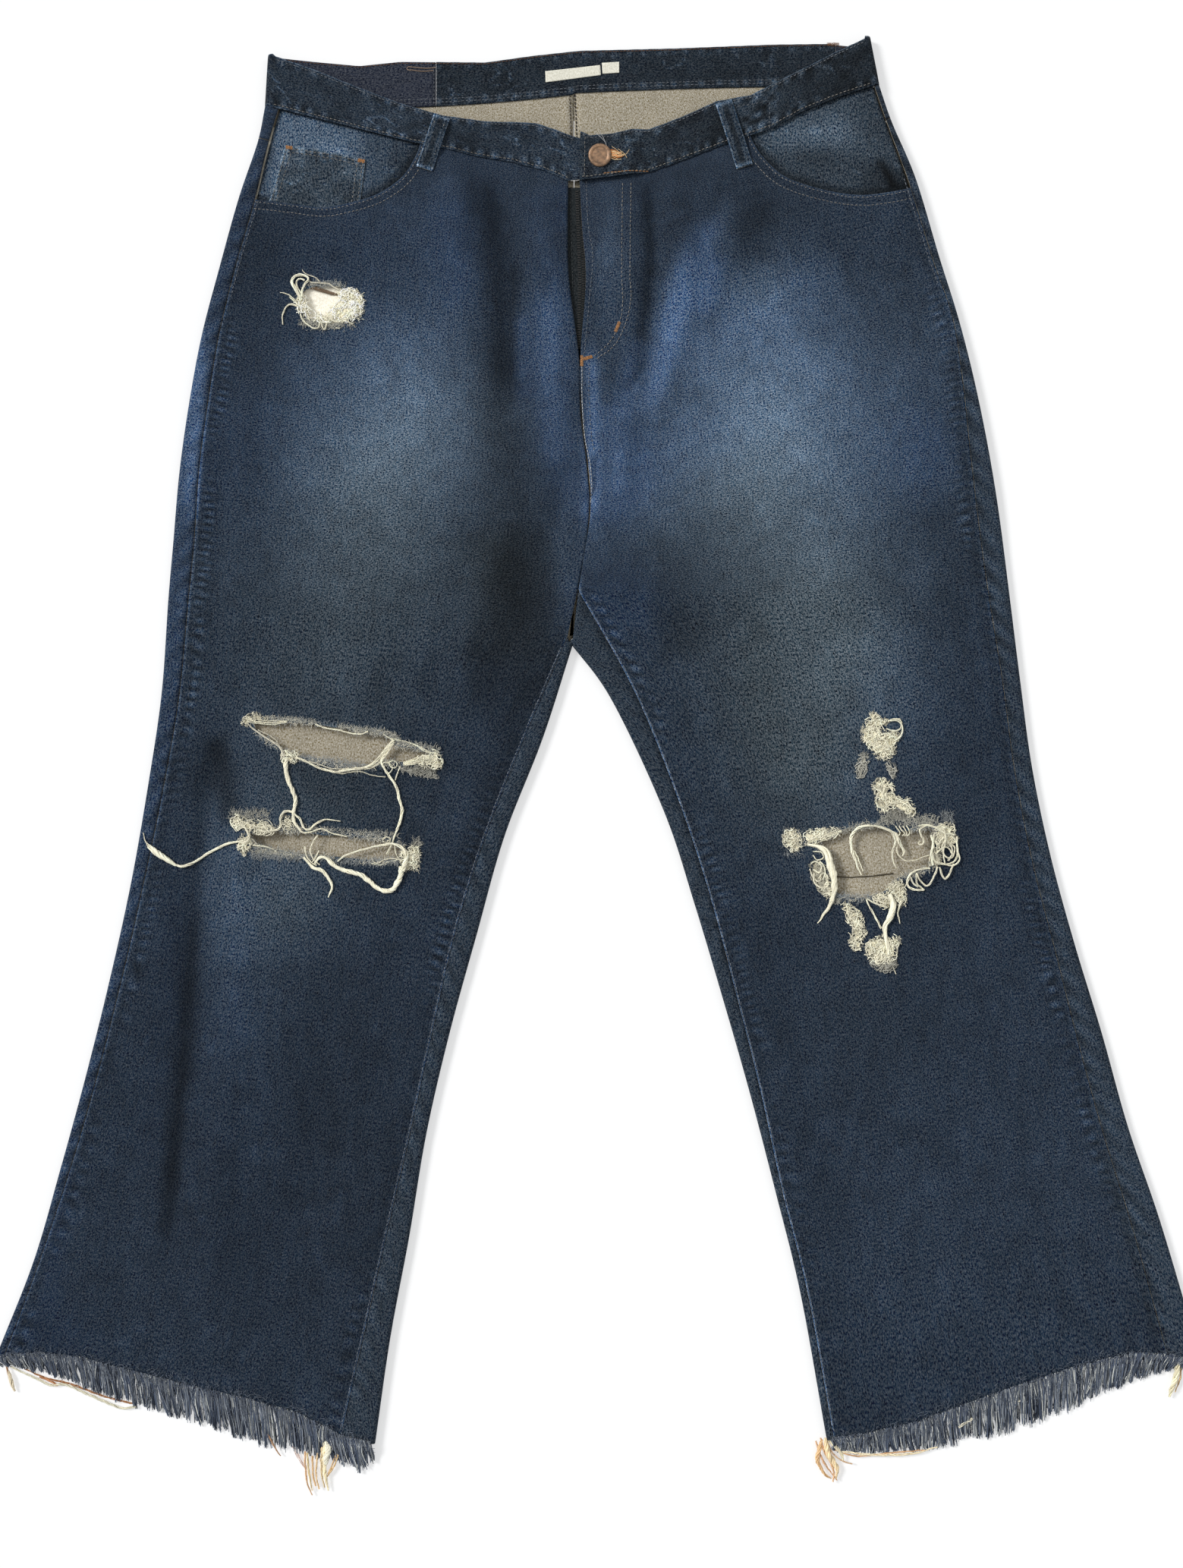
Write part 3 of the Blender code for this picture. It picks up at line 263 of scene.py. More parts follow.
def room(x, y, row):
    _, x0, x1, y0, y1, edge, height = row
    return height * (step((x - x0) / edge + 1) * step((x1 - x) / edge + 1)
                     * step((y - y0) / edge + 1) * step((y1 - y) / edge + 1))


class Leg:
    """One leg: plan and height of its panels at a station s and a share across."""

    def __init__(self, table, waist, hem, back_waist):
        self.cols = [np.array(c, float) for c in list(zip(*table))[1:]]
        self.waist, self.hem, self.back_waist = waist, hem, back_waist
        self.side = -1 if table[0][1] < 0 else 1

    def outer(self, s):
        return np.stack([smooth(self.cols[0], s), smooth(self.cols[1], s)], axis=-1)

    def wrap(self, s):
        return smooth(self.cols[2], s)

    def front_inner(self, s):
        return np.stack([broken(self.cols[3], s), broken(self.cols[4], s)], axis=-1)

    def back_inner(self, s):
        return np.stack([broken(self.cols[5], s), broken(self.cols[6], s)], axis=-1)

    def edge_shape(self, s, p):
        """Rise of the waist and hem edges over straight lines."""
        return (lookup(self.waist, p) * np.clip(1 - s, 0, 1) ** 2
                + lookup(self.hem, p) * step((s - 13.5) / 2.5))

    def row(self, s, p):
        """Point at share p from the outer fold to the front's inner edge."""
        o, f = self.outer(s), self.front_inner(s)
        q = o + (f - o) * p[..., None]
        q[..., 1] += self.edge_shape(s, p)
        return q

    def span(self, s):
        return np.linalg.norm(self.front_inner(s) - self.outer(s), axis=-1)

    def front_share(self, s, t):
        """Share from the fold of the point at share t of the front panel."""
        start = self.wrap(s) / self.span(s)
        return start + (1 - start) * t

    def front_height(self, s, t, xy):
        """Middle of the front panel's cloth above the surface."""
        x, y = xy[..., 0], xy[..., 1]
        length = self.span(s) - self.wrap(s)
        out = np.exp(-(t * length / FALL) ** 2)
        inn = np.exp(-((1 - t) * length / FALL) ** 2) * step(s - CROTCH + 1)
        sides = np.minimum(out + inn, 1.0)
        rooms = np.max([room(x, y, r) for r in ROOMS], axis=0)
        folds = np.sum([ridge(x, y, f) for f in FOLDS], axis=0) * (1 - sides)
        rise = FOLD - 2 * CLOTH - GAP
        return lift(y) + 1.5 * CLOTH + GAP + np.maximum(rise * sides, rooms) + folds * (1 - step((s - 15) / 1.2))

    def front(self, s, t):
        xy = self.row(s, self.front_share(s, t))
        return np.concatenate([xy, self.front_height(s, t, xy)[..., None]], axis=-1)

    def locate(self, x, y):
        """Station and share of the front panel at plan points, by halving."""
        x, y = np.asarray(x, float), np.asarray(y, float)
        lo, hi = np.full(x.shape, -0.9), np.full(x.shape, 16.9)
        for _ in range(26):
            s = (lo + hi) / 2
            o, f = self.outer(s), self.front_inner(s)
            d = f - o
            p = ((x - o[..., 0]) * d[..., 0] + (y - o[..., 1]) * d[..., 1]) / (d ** 2).sum(-1)
            side = (y - self.edge_shape(s, p) - o[..., 1]) * d[..., 0] - (x - o[..., 0]) * d[..., 1]
            above = side * -self.side > 0
            hi = np.where(above, s, hi)
            lo = np.where(above, lo, s)
        start = self.wrap(s) / self.span(s)
        return s, (p - start) / (1 - start)

    def height_at(self, x, y):
        s, t = self.locate(x, y)
        return self.front_height(np.clip(s, 0, 16), np.clip(t, 0, 1), np.stack([x, y], -1))


RIGHT = Leg(RIGHT_LEG, RIGHT_WAIST, RIGHT_HEM, RIGHT_BACK_WAIST)
LEFT = Leg(LEFT_LEG, LEFT_WAIST, LEFT_HEM, LEFT_BACK_WAIST)

ARC = np.radians([45, 0, -45, -90])
WRAP_SHARES = (0.0, 0.5, 1.0)
BOTTOM_SHARES = (0.06, 0.16, 0.32, 0.5, 0.68, 0.84, 1.0)


def back_rows(leg, s_of):
    """Points of the back panel, from the outer seam round the outer fold, along the underside and, below
    the crotch, round the inner fold to the inseam. s_of gives a row's station for each share across."""
    radius = (FOLD - CLOTH) / 2
    centre = FOLD / 2
    rows, keep = [], []
    for station in s_of:
        pts = []

        def at(share):
            return float(station(share))

        def add(xy, z):
            pts.append((xy[0], xy[1], z + float(lift(xy[1]))))

        s0 = at(0.0)
        o, u = leg.outer(s0), unit(leg.front_inner(s0) - leg.outer(s0))
        rise = leg.edge_shape(s0, np.array(0.0))
        seam = leg.wrap(s0) - GAP
        p_seam = seam / leg.span(s0)
        for k in WRAP_SHARES:
            e = seam + (centre - seam) * k
            xy = o + u * e
            xy[1] += leg.edge_shape(s0, e / leg.span(s0))
            add(xy, FOLD - CLOTH / 2)
        start = o + u * centre
        start[1] += leg.edge_shape(s0, centre / leg.span(s0))
        for a in ARC:
            add(start - u * radius * math.cos(a), centre + radius * math.sin(a))
        for q in BOTTOM_SHARES:
            add(underside(leg, at(q), q), CLOTH / 2)
        s = at(1.0)
        n, b, f = inward(leg, s), leg.back_inner(s), leg.front_inner(s)
        top = b + n * centre
        for a in ARC[::-1][1:]:
            add(top - n * radius * math.cos(a), centre + radius * math.sin(a))
        add(top, FOLD - CLOTH / 2)
        end = f + unit(top - f) * GAP
        add((top + end) / 2, FOLD - CLOTH / 2)
        add(end, FOLD - CLOTH / 2)
        rows.append(pts)
        keep.append(s >= CROTCH)
    return np.array(rows), np.array(keep)


def underside(leg, s, q):
    """Plan of the back panel's underside at share q between its folds, or to the centre back."""
    o, u = leg.outer(s), unit(leg.front_inner(s) - leg.outer(s))
    a, b = o + u * FOLD / 2, leg.back_inner(s)
    if s >= CROTCH:
        b = b + inward(leg, s) * FOLD / 2
    xy = a + (b - a) * q
    xy[1] += (leg.back_waist * 4 * q * (1 - q) * np.clip(1 - s, 0, 1)
              + lookup(leg.hem, q) * step((s - 13.5) / 2.5))
    return xy


def inward(leg, s):
    """Unit direction from the inner fold into the leg, square to the fold."""
    s = max(s, CROTCH)
    a, b = leg.back_inner(max(s - 0.02, CROTCH)), leg.back_inner(s + 0.02)
    d = unit(b - a)
    return np.array([-d[1], d[0]]) * (1 if np.dot([-d[1], d[0]], [leg.side, 0]) > 0 else -1)



# ---- waistband
FRONT_BAND_MID, BACK_BAND_MID = 6.2, 0.5 * BAND + LIFT
LAP = 8.95                     # the left end of the band lies over the right one


def back_edge(leg):
    """The waist edge of the back: y for x."""
    q = np.linspace(0, 1, 60)
    o, b = leg.outer(0.0), leg.back_inner(0.0)
    x = o[0] + (b[0] - o[0]) * q
    y = o[1] + (b[1] - o[1]) * q + leg.back_waist * 4 * q * (1 - q)
    order = np.argsort(x)
    return x[order], y[order]


def back_bottom(x):
    leg = RIGHT if x < -17.8 else LEFT
    return float(np.interp(x, *back_edge(leg))) + GAP + 0.1


def back_top(x):
    return float(lookup(BACK_BAND_TOP, x))


def band_bottom(leg, p):
    """Lower edge of the front band at share p."""
    q = leg.row(0.0, np.array(float(p)))
    if p > 1:
        # the hidden end lies above the other front's waist edge
        q[1] = np.interp(q[0], (-21.9, -13.0, 12.0), (420.6, 422.0, 425.0))
    return np.array([q[0], q[1] + GAP + 0.1])


def band_top(leg, p):
    table = RIGHT_BAND_TOP if leg is RIGHT else LEFT_BAND_TOP
    return np.array([lookup(table, p, 1), lookup(table, p, 2)])


def mouth_outline(mouth, side):
    """The corner of a front that a pocket mouth takes away, out past the waist and the outer seam."""
    return list(mouth) + [(mouth[-1][0] + side * 20, mouth[-1][1] + 1), (mouth[-1][0] + side * 20, 560.0),
                          (mouth[0][0], 560.0)]


# ---- plan of the photo, in pixels ------------------------------------------------------------------

def px(*points, origin=(0.0, 0.0), zoom=1.0):
    """Plan points in millimetres for points read off the photo, or off an enlarged part of it."""
    p = np.array(origin, float) + np.array(points, float) / zoom
    return np.stack([(p[:, 0] - 788.5) / 1.8, (997.0 - p[:, 1]) / 1.8], axis=-1)


def knee_r(*points):
    return px(*points, origin=(240, 850), zoom=3.733)


def knee_l(*points):
    return px(*points, origin=(960, 900), zoom=3.732)


def fly(*points):
    return px(*points, origin=(600, 180), zoom=2.903)


RNG = np.random.default_rng(11)
LATTICE = np.random.default_rng(7).random((128, 128)) * 2 - 1


def noise(x, y, size, seed=0):
    gx, gy = np.asarray(x, float) / size + seed * 17.31, np.asarray(y, float) / size + seed * 9.13
    i, j = np.floor(gx).astype(int), np.floor(gy).astype(int)
    u, v = step(gx - i), step(gy - j)

    def at(a, b):
        return LATTICE[a % 128, b % 128]

    return (at(i, j) * (1 - u) * (1 - v) + at(i + 1, j) * u * (1 - v)
            + at(i, j + 1) * (1 - u) * v + at(i + 1, j + 1) * u * v)


def to_line(x, y, points):
    """Distance to a chain of points, and the share of the way along it."""
    points = np.asarray(points, float)
    run = np.concatenate(([0], np.cumsum(np.hypot(*np.diff(points, axis=0).T))))
    best, where = np.full(np.shape(x), 1e9), np.zeros(np.shape(x))
    for a, b, r0, r1 in zip(points, points[1:], run, run[1:]):
        d = b - a
        k = np.clip(((x - a[0]) * d[0] + (y - a[1]) * d[1]) / max(d @ d, 1e-9), 0, 1)
        dist = np.hypot(x - a[0] - k * d[0], y - a[1] - k * d[1])
        where = np.where(dist < best, (r0 + k * (r1 - r0)) / run[-1], where)
        best = np.minimum(best, dist)
    return best, where


def signed(poly, x, y):
    """Distance to a closed outline, negative inside it."""
    poly = np.asarray(poly, float)
    ring = np.vstack([poly, poly[:1]])
    d, _ = to_line(x, y, ring)
    inside = np.zeros(np.shape(x), bool)
    for a, b in zip(ring, ring[1:]):
        cross = (a[1] > y) != (b[1] > y)
        if abs(b[1] - a[1]) > 1e-12:
            inside ^= cross & (x < (b[0] - a[0]) * (y - a[1]) / (b[1] - a[1]) + a[0])
    return np.where(inside, -d, d)


def curve(points, n):
    """A smooth line through points, n points long, evenly spaced."""
    points = np.asarray(points, float)
    k = np.linspace(0, len(points) - 1, len(points) * 8)
    fine = np.stack([smooth(points[:, c], k) for c in range(points.shape[1])], axis=-1)
    return along(fine, np.linspace(0, 1, n))


# ---- holes -----------------------------------------------------------------------------------------

HOLES = {
    "upper": px((331, 953), (352, 950), (374, 952), (400, 953), (425, 956), (452, 960), (476, 964), (504, 965),
                (514, 975), (522, 983), (541, 986), (561, 989), (575, 996), (561, 1001), (548, 1004), (535, 1005),
                (518, 1003), (502, 1004), (481, 1013), (465, 1011), (446, 1006), (428, 1002), (410, 999), (393, 996),
                (380, 990), (369, 986), (352, 972), (338, 962)),
    "lower": px((327, 1099), (341, 1096), (355, 1094), (378, 1096), (401, 1097), (421, 1100), (441, 1101),
                (461, 1103), (481, 1104), (496, 1105), (511, 1107), (521, 1112), (530, 1118), (528, 1131),
                (508, 1134), (481, 1133), (454, 1130), (434, 1128), (414, 1126), (390, 1124), (362, 1119),
                (338, 1114), (330, 1107)),
    "knee": px((1072, 1111), (1090, 1105), (1106, 1097), (1121, 1091), (1137, 1088), (1153, 1086), (1168, 1092),
               (1182, 1097), (1205, 1093), (1231, 1090), (1233, 1104), (1228, 1128), (1226, 1142), (1209, 1148),
               (1193, 1153), (1180, 1158), (1172, 1170), (1153, 1180), (1138, 1182), (1126, 1183), (1112, 1180),
               (1101, 1176), (1097, 1160), (1097, 1149), (1094, 1125), (1084, 1117)),
    "hip": px((394, 399), (398, 388), (408, 380), (422, 377), (436, 376), (450, 380), (462, 386), (470, 398),
              (468, 412), (458, 422), (442, 428), (424, 427), (408, 421), (399, 411)),
}

# ---- creases of the laid cloth: points in the photo, half width, height ---------------------------------

CREASES = (
    # beside the fly, right side: the dark valley, the lit slope beyond it
    (px((652, 232), (662, 300), (670, 360), (672, 420), (668, 500), (664, 560)), 8.0, -3.2),
    (px((712, 236), (716, 300), (718, 400), (722, 500), (728, 590), (730, 640)), 13.0, 3.4),
    (px((748, 600), (742, 660), (720, 720), (694, 790), (672, 860)), 8.0, -2.6),
    (px((690, 640), (664, 710), (636, 790), (606, 880)), 13.0, 2.0),
    (px((640, 690), (612, 770), (584, 860), (566, 930)), 10.0, -1.6),
    # left side: the dark valley and the lit slope beyond it
    (px((860, 236), (864, 300), (864, 360), (856, 420), (846, 452)), 5.0, -3.2),
    (px((866, 384), (862, 440), (856, 474), (841, 502), (825, 516)), 3.6, -2.4),
    (px((896, 262), (898, 340), (894, 420), (880, 500), (862, 560)), 11.0, 3.2),
    (px((956, 244), (940, 290), (918, 344)), 7.0, -2.2),
    (px((1000, 250), (1010, 310), (1020, 350)), 16.0, -1.2),
    (px((820, 548), (822, 600), (818, 660)), 9.0, 3.4),
    (px((787, 600), (786, 640), (776, 664)), 3.2, -3.6),
    # drag lines from the fork
    (px((782, 664), (824, 706), (872, 770), (905, 850)), 8.0, -2.0),
    (px((846, 650), (900, 700), (952, 780), (990, 860)), 13.0, 2.0),
    (px((800, 740), (836, 800), (870, 880)), 9.0, 1.2),
    # right leg, long folds
    (px((292, 960), (276, 1040), (266, 1120), (258, 1200)), 7.0, -2.8),
    (px((258, 1180), (246, 1360), (232, 1560), (222, 1680)), 8.0, -2.0),
    (px((322, 1020), (312, 1180), (302, 1360), (288, 1560), (270, 1740)), 12.0, 2.2),
    (px((455, 1180), (440, 1320), (416, 1480), (392, 1640)), 13.0, -1.2),
    (px((500, 1160), (484, 1340), (462, 1520), (440, 1680)), 13.0, 1.0),
    (px((300, 560), (286, 700), (280, 850)), 8.0, -1.8),
    (px((335, 480), (325, 620), (322, 780), (320, 860)), 13.0, 1.5),
    (px((560, 760), (530, 850), (520, 930)), 12.0, -1.2),
    # left leg, long folds
    (px((1235, 540), (1262, 700), (1284, 850)), 9.0, -1.8),
    (px((1190, 480), (1215, 640), (1236, 800)), 13.0, 1.4),
    (px((1160, 1220), (1200, 1380), (1244, 1560), (1290, 1720)), 14.0, 1.6),
    (px((1270, 1180), (1318, 1360), (1372, 1560), (1420, 1740)), 9.0, -1.8),
    (px((1040, 1010), (1056, 1100), (1072, 1200)), 10.0, -1.4),
    (px((1180, 900), (1200, 980), (1240, 1060)), 9.0, -1.4),
    (px((1330, 1100), (1370, 1300), (1420, 1500)), 15.0, 1.4),
    (px((990, 1240), (1020, 1400), (1050, 1560)), 12.0, 1.0),
)


def creases(x, y):
    z = np.zeros(np.shape(x))
    for points, half, height in CREASES:
        lo, hi = points.min(0) - 3 * half, points.max(0) + 3 * half
        near = (x > lo[0]) & (x < hi[0]) & (y > lo[1]) & (y < hi[1])
        if not near.any():
            continue
        d, k = to_line(x[near], y[near], points)
        z[near] += height * np.exp(-(d / half) ** 2) * step(np.minimum(k, 1 - k) * 7 + 0.25)
    return z


def seam_run(leg, s):
    """How far down a leg's seams a station is, in millimetres."""
    return np.asarray(s) * 70.0


def pucker(leg, s, depth, side, reach=9.0):
    """Little waves of the cloth along a seam: depth is the distance from it."""
    v = seam_run(leg, s)
    seed = 3 + side * 2 + (leg is LEFT)
    wave = np.sin((v + depth * 0.55) * 2 * math.pi / 9.5 + 2.6 * noise(v, 0 * v, 24.0, seed))
    strength = 0.65 + 0.35 * noise(v, 0 * v, 37.0, seed + 9)
    return strength * wave * np.exp(-(depth / reach) ** 1.5)


AIR = 1.3


def hole_rise(x, y):
    """The free edges of the holes stand up a little."""
    z = np.zeros(np.shape(x))
    for name, high in (("upper", 1.3), ("lower", 1.5), ("knee", 2.2), ("hip", 0.8)):
        lo, hi = HOLES[name].min(0) - 24, HOLES[name].max(0) + 24
        near = (x > lo[0]) & (x < hi[0]) & (y > lo[1]) & (y < hi[1])
        if near.any():
            u, v = x[near], y[near]
            z[near] += high * np.exp(-(np.abs(signed(HOLES[name], u, v)) / 9.0) ** 2) * (1 + 0.35 * noise(u, v, 14.0, 31))
    return z


def scene_height(leg, s, t, xy):
    """Middle of the front's cloth: the plain laid height with the creases, puckers and unevenness."""
    x, y = xy[..., 0], xy[..., 1]
    length = leg.span(s) - leg.wrap(s)
    side_out = np.maximum(t, 0) * length
    side_in = np.maximum(1 - t, 0) * length
    below = step((s - CROTCH) * 1.2 + 0.6)
    calm = (1 - np.exp(-(side_out / 16.0) ** 2)) * (1 - np.exp(-(side_in / 13.0) ** 2) * below)
    calm = calm * (1 - np.exp(-((np.maximum(s, 0)) / 0.28) ** 2))
    rough = 0.85 * noise(x, y, 46.0, 1) + 0.45 * noise(x, y * 0.6, 21.0, 2) + 0.12 * noise(x, y * 0.7, 8.0, 5)
    z = leg.front_height(np.clip(s, 0, 16), np.clip(t, 0, 1), xy)
    z = z + calm * (AIR + creases(x, y) + rough) + hole_rise(x, y) * calm
    z = z + 0.42 * pucker(leg, s, side_out, 0) + 0.42 * pucker(leg, s, side_in, 1) * below
    hem = np.maximum(16 - s, 0) * 60.0
    z = z + 0.35 * np.exp(-(hem / 9.0) ** 1.5) * np.sin(x / 3.1 + 2.2 * noise(x, y * 0, 30.0, 6))
    waist = np.maximum(s, 0) * 60.0
    z = z + 0.30 * np.exp(-(waist / 8.0) ** 1.5) * np.sin(x / 1.75 + 2.0 * noise(x, y * 0, 26.0, 8))
    low = lift(y) + 1.5 * CLOTH + 0.15
    return low + np.log1p(np.exp(np.clip((z - low) / 0.22, -40, 40))) * 0.22


def front_mid(x, y):
    """Middle of the fronts' cloth at plan points, worked out in full."""
    out = np.zeros(np.shape(x))
    for leg in (RIGHT, LEFT):
        mine = (x < -15.0) if leg is RIGHT else (x >= -15.0)
        s, t = leg.locate(x[mine], y[mine])
        out[mine] = scene_height(leg, np.clip(s, -0.2, 16), np.clip(t, 0, 1), np.stack([x[mine], y[mine]], -1))
    return out


MAP_STEP = 1.8
MAP_X, MAP_Y = np.arange(-452.0, 455.0, MAP_STEP), np.arange(-506.0, 500.0, MAP_STEP)
MAP_Z = front_mid(*np.meshgrid(MAP_X, MAP_Y, indexing="ij"))


def top(x, y):
    """Top of the fronts' cloth at plan points, read from a grid of heights."""
    x, y = np.asarray(x, float), np.asarray(y, float)
    gx = np.clip((x - MAP_X[0]) / MAP_STEP, 0, len(MAP_X) - 1.001)
    gy = np.clip((y - MAP_Y[0]) / MAP_STEP, 0, len(MAP_Y) - 1.001)
    i, j = gx.astype(int), gy.astype(int)
    u, v = gx - i, gy - j
    return (MAP_Z[i, j] * (1 - u) * (1 - v) + MAP_Z[i + 1, j] * u * (1 - v)
            + MAP_Z[i, j + 1] * (1 - u) * v + MAP_Z[i + 1, j + 1] * u * v) + CLOTH / 2


# ---- how washed the cloth is, with the folds' painted shade and light -------------------------------

# wash fading, with painted shade in folds and painted light, bluer where the cloth faces the light: centre in the
# photo, radii, turn in degrees, change in lightness, change towards blue
WASH_AND_SHADE = (
    # right leg
    (545, 545, 130, 130, 0, 38, -0.40),
    (470, 640, 120, 100, 0, 22, -0.35),
    (500, 760, 190, 110, 0, 14, -0.45),
    (430, 890, 150, 110, 0, 10, -0.40),
    (325, 320, 80, 120, 0, -7, 0.0),
    (460, 320, 100, 110, 0, 4, 0.1),
    (600, 320, 60, 110, 0, 6, 0.15),
    (694, 780, 50, 150, 12, -16, -0.2),
    (735, 630, 26, 70, 10, 6, 0.2),
    (350, 1180, 110, 130, 0, 26, -0.15),
    (420, 1060, 130, 100, 0, 8, -0.40),
    (320, 1400, 60, 170, 8, 6, 0.05),
    (240, 1250, 30, 260, 6, -7, 0.1),
    (470, 1500, 90, 330, 10, -5, 0.0),
    (280, 1640, 120, 120, 0, -5, 0.05),
    # left leg
    (1000, 560, 135, 120, -8, 46, -0.35),
    (960, 660, 160, 90, 0, 20, -0.30),
    (1030, 800, 150, 120, 0, 20, -0.55),
    (1040, 930, 120, 110, 0, 18, -0.50),
    (1190, 430, 90, 160, 0, 6, -0.10),
    (1010, 300, 80, 60, 0, -6, -0.1),
    (822, 610, 24, 66, 0, 14, 0.35),
    (870, 620, 50, 70, 0, 6, 0.2),
    (800, 330, 26, 120, 0, 11, 0.0),
    (735, 500, 24, 110, 0, 4, 0.10),
    (1270, 620, 50, 200, -6, -3, -0.1),
    (1060, 1040, 110, 110, -10, 10, -0.45),
    (1250, 1080, 60, 200, -10, -2, 0.0),
    (1130, 1320, 120, 120, 0, 0, -0.1),
    (963, 395, 58, 86, 12, 31, 0.10),
    (898, 462, 40, 50, 10, 9, 0.15),
    (1050, 480, 110, 90, 0, 6, 0.0),
    (1100, 700, 90, 110, 0, 8, 0.0),
    (400, 1300, 160, 420, 4, -4, 0.0),
    (577, 1000, 24, 22, 0, -6, 0.0),
    (772, 640, 22, 40, 0, 0, 0.45),
    (800, 800, 100, 50, 0, 0, 0.2),
    (1045, 370, 50, 60, 0, 15, 0.05),
    (1110, 560, 120, 140, 0, 10, 0.05),
    (1146, 850, 60, 62, 0, 20, -0.05),
    (1180, 920, 46, 50, 0, 12, -0.05),
    (1140, 1000, 80, 110, 0, 8, 0.0),
    (530, 452, 64, 54, 0, 12, 0.05),
    (655, 545, 34, 66, 0, -11, -0.15),
    (720, 608, 26, 44, 0, -8, 0.0),
    (950, 790, 52, 150, -6, -9, 0.0),
    (995, 940, 60, 90, 0, -8, 0.0),
    (327, 1278, 50, 60, 0, -6, -0.05),
    (374, 1200, 60, 50, 0, 0, -0.25),
    (470, 560, 170, 165, 0, 0, 0.14),
    (1216, 592, 50, 60, 0, 0, 0.25),
    (830, 790, 60, 60, 0, 0, 0.25),
    (350, 160, 20, 20, 0, -8, 0.0),
    (803, 345, 17, 66, 0, 8, -0.05),
    (480, 1010, 90, 60, 0, -7, 0.0),
    (520, 1130, 60, 50, 0, -6, 0.0),
    (640, 890, 40, 70, 10, -11, 0.0),
    (905, 400, 36, 60, 8, 8, 0.0),
    (735, 420, 18, 50, 0, 14, 0.2),
    (826, 624, 40, 60, 0, 0, 0.35),
    (930, 570, 60, 60, 0, 0, 0.2),
    (733, 470, 14, 140, 0, 0, 0.3),
    (686, 499, 16, 40, 0, 0, 0.25),
    (300, 600, 60, 90, 0, 0, 0.15),
    (62, 1760, 60, 40, 0, 0, 0.3),
    (998, 374, 40, 40, 0, 0, -0.2),
    (1138, 780, 80, 110, 0, 0, -0.2),
    (670, 577, 26, 110, 0, -6, 0.0),
    (920, 690, 30, 60, 0, -5, 0.0),
    (780, 686, 22, 60, 0, 8, 0.1),
    (1091, 748, 66, 60, 0, 9, 0.0),
    (1052, 499, 74, 44, 0, 9, 0.0),
    (1232, 608, 34, 70, 0, 9, 0.10),
    (1247, 421, 20, 66, -8, 9, 0.05),
    (440, 500, 110, 90, 0, 4, 0.0),
    (1290, 1600, 150, 250, -14, 3, 0.0),
)
BASE_LIGHTNESS, BASE_BLUE = 49.0, 0.72

# painted shade along the folds' valleys and painted light, bluer, along their lit slopes, with a few streaks of wear
# and tone: points in the photo, half width in millimetres, change in lightness, change towards blue
SHADE_AND_LIGHT_STREAKS = (
    (px((650, 232), (658, 330), (664, 420), (660, 520)), 15.0, -10, 0.0),
    (px((677, 330), (678, 400), (677, 470), (672, 540)), 4.2, -11, 0.0),
    (px((712, 370), (720, 450), (730, 540), (738, 620)), 13.0, 17, 0.35),
    (px((704, 240), (714, 320), (716, 380)), 10.0, 3, 0.2),
    (px((590, 250), (600, 330), (606, 420)), 14.0, 4, 0.2),
    (px((852, 244), (856, 330), (850, 420), (836, 505)), 5.0, -14, 0.0),
    (px((905, 240), (886, 310), (872, 380)), 10.0, -9, 0.0),
    (px((952, 272), (926, 316), (902, 360), (886, 420), (868, 490), (846, 560)), 10.0, 20, 0.35),
    (px((1012, 246), (985, 310), (956, 380), (926, 450)), 10.0, -11, 0.0),
    (px((1130, 380), (1060, 410), (1010, 470)), 26.0, 9, 0.0),
    (px((640, 690), (660, 780), (650, 880)), 26.0, -9, -0.2),
    (px((733, 690), (748, 760), (740, 830)), 8.0, 7, 0.0),
    (px((858, 690), (890, 780), (905, 880)), 18.0, -9, -0.1),
    (px((205, 500), (196, 620), (186, 760), (178, 900)), 9.0, 8, 0.2),
    (px((280, 960), (268, 1060), (262, 1160)), 9.0, -8, 0.0),
    (px((232, 1180), (214, 1380), (190, 1560)), 10.0, -4, 0.1),
    (px((322, 1150), (316, 1280), (306, 1400)), 12.0, 7, 0.1),
    (px((1330, 780), (1344, 900), (1368, 1040)), 8.0, -6, 0.0),
    (px((778, 450), (781, 520), (780, 600), (778, 700)), 6.5, 34, 0.30),
    (px((700, 870), (672, 970), (636, 1080), (612, 1180)), 12.0, -10, 0.0),
    (px((1403, 1210), (1440, 1320), (1474, 1450)), 6.0, -8, 0.0),
    (px((951, 1240), (968, 1320), (984, 1410)), 5.0, -8, 0.0),
    (px((790, 530), (812, 610), (800, 700)), 9.0, 9, 0.45),
    (px((694, 440), (692, 485), (696, 530)), 7.0, 2, 0.40),
    (px((738, 240), (742, 270), (740, 310)), 7.0, 2, 0.30),
    (px((945, 330), (930, 380), (915, 420)), 10.0, 4, 0.30),
    (px((628, 200), (640, 300), (650, 420), (660, 520)), 11.0, -7, 0.0),
    (px((284, 965), (298, 1030), (306, 1100)), 8.0, -18, 0.0),
    (px((266, 1140), (254, 1240), (242, 1400), (224, 1560), (214, 1660)), 7.5, -16, 0.0),
    (px((264, 420), (257, 540), (250, 700)), 7.5, 28, 0.40),
    (px((845, 440), (828, 500), (812, 560)), 9.0, 13, 0.30),
    (px((686, 410), (686, 455), (690, 500)), 5.0, 12, 0.30),
    (px((865, 440), (860, 480), (850, 520)), 6.0, -5, 0.0),
    (px((100, 1400), (82, 1560), (60, 1760)), 8.0, 0, 0.30),
    (px((1450, 1480), (1500, 1640), (1545, 1780)), 10.0, 0, -0.25),
    (px((499, 860), (500, 900), (492, 940)), 10.0, -6, 0.0),
)


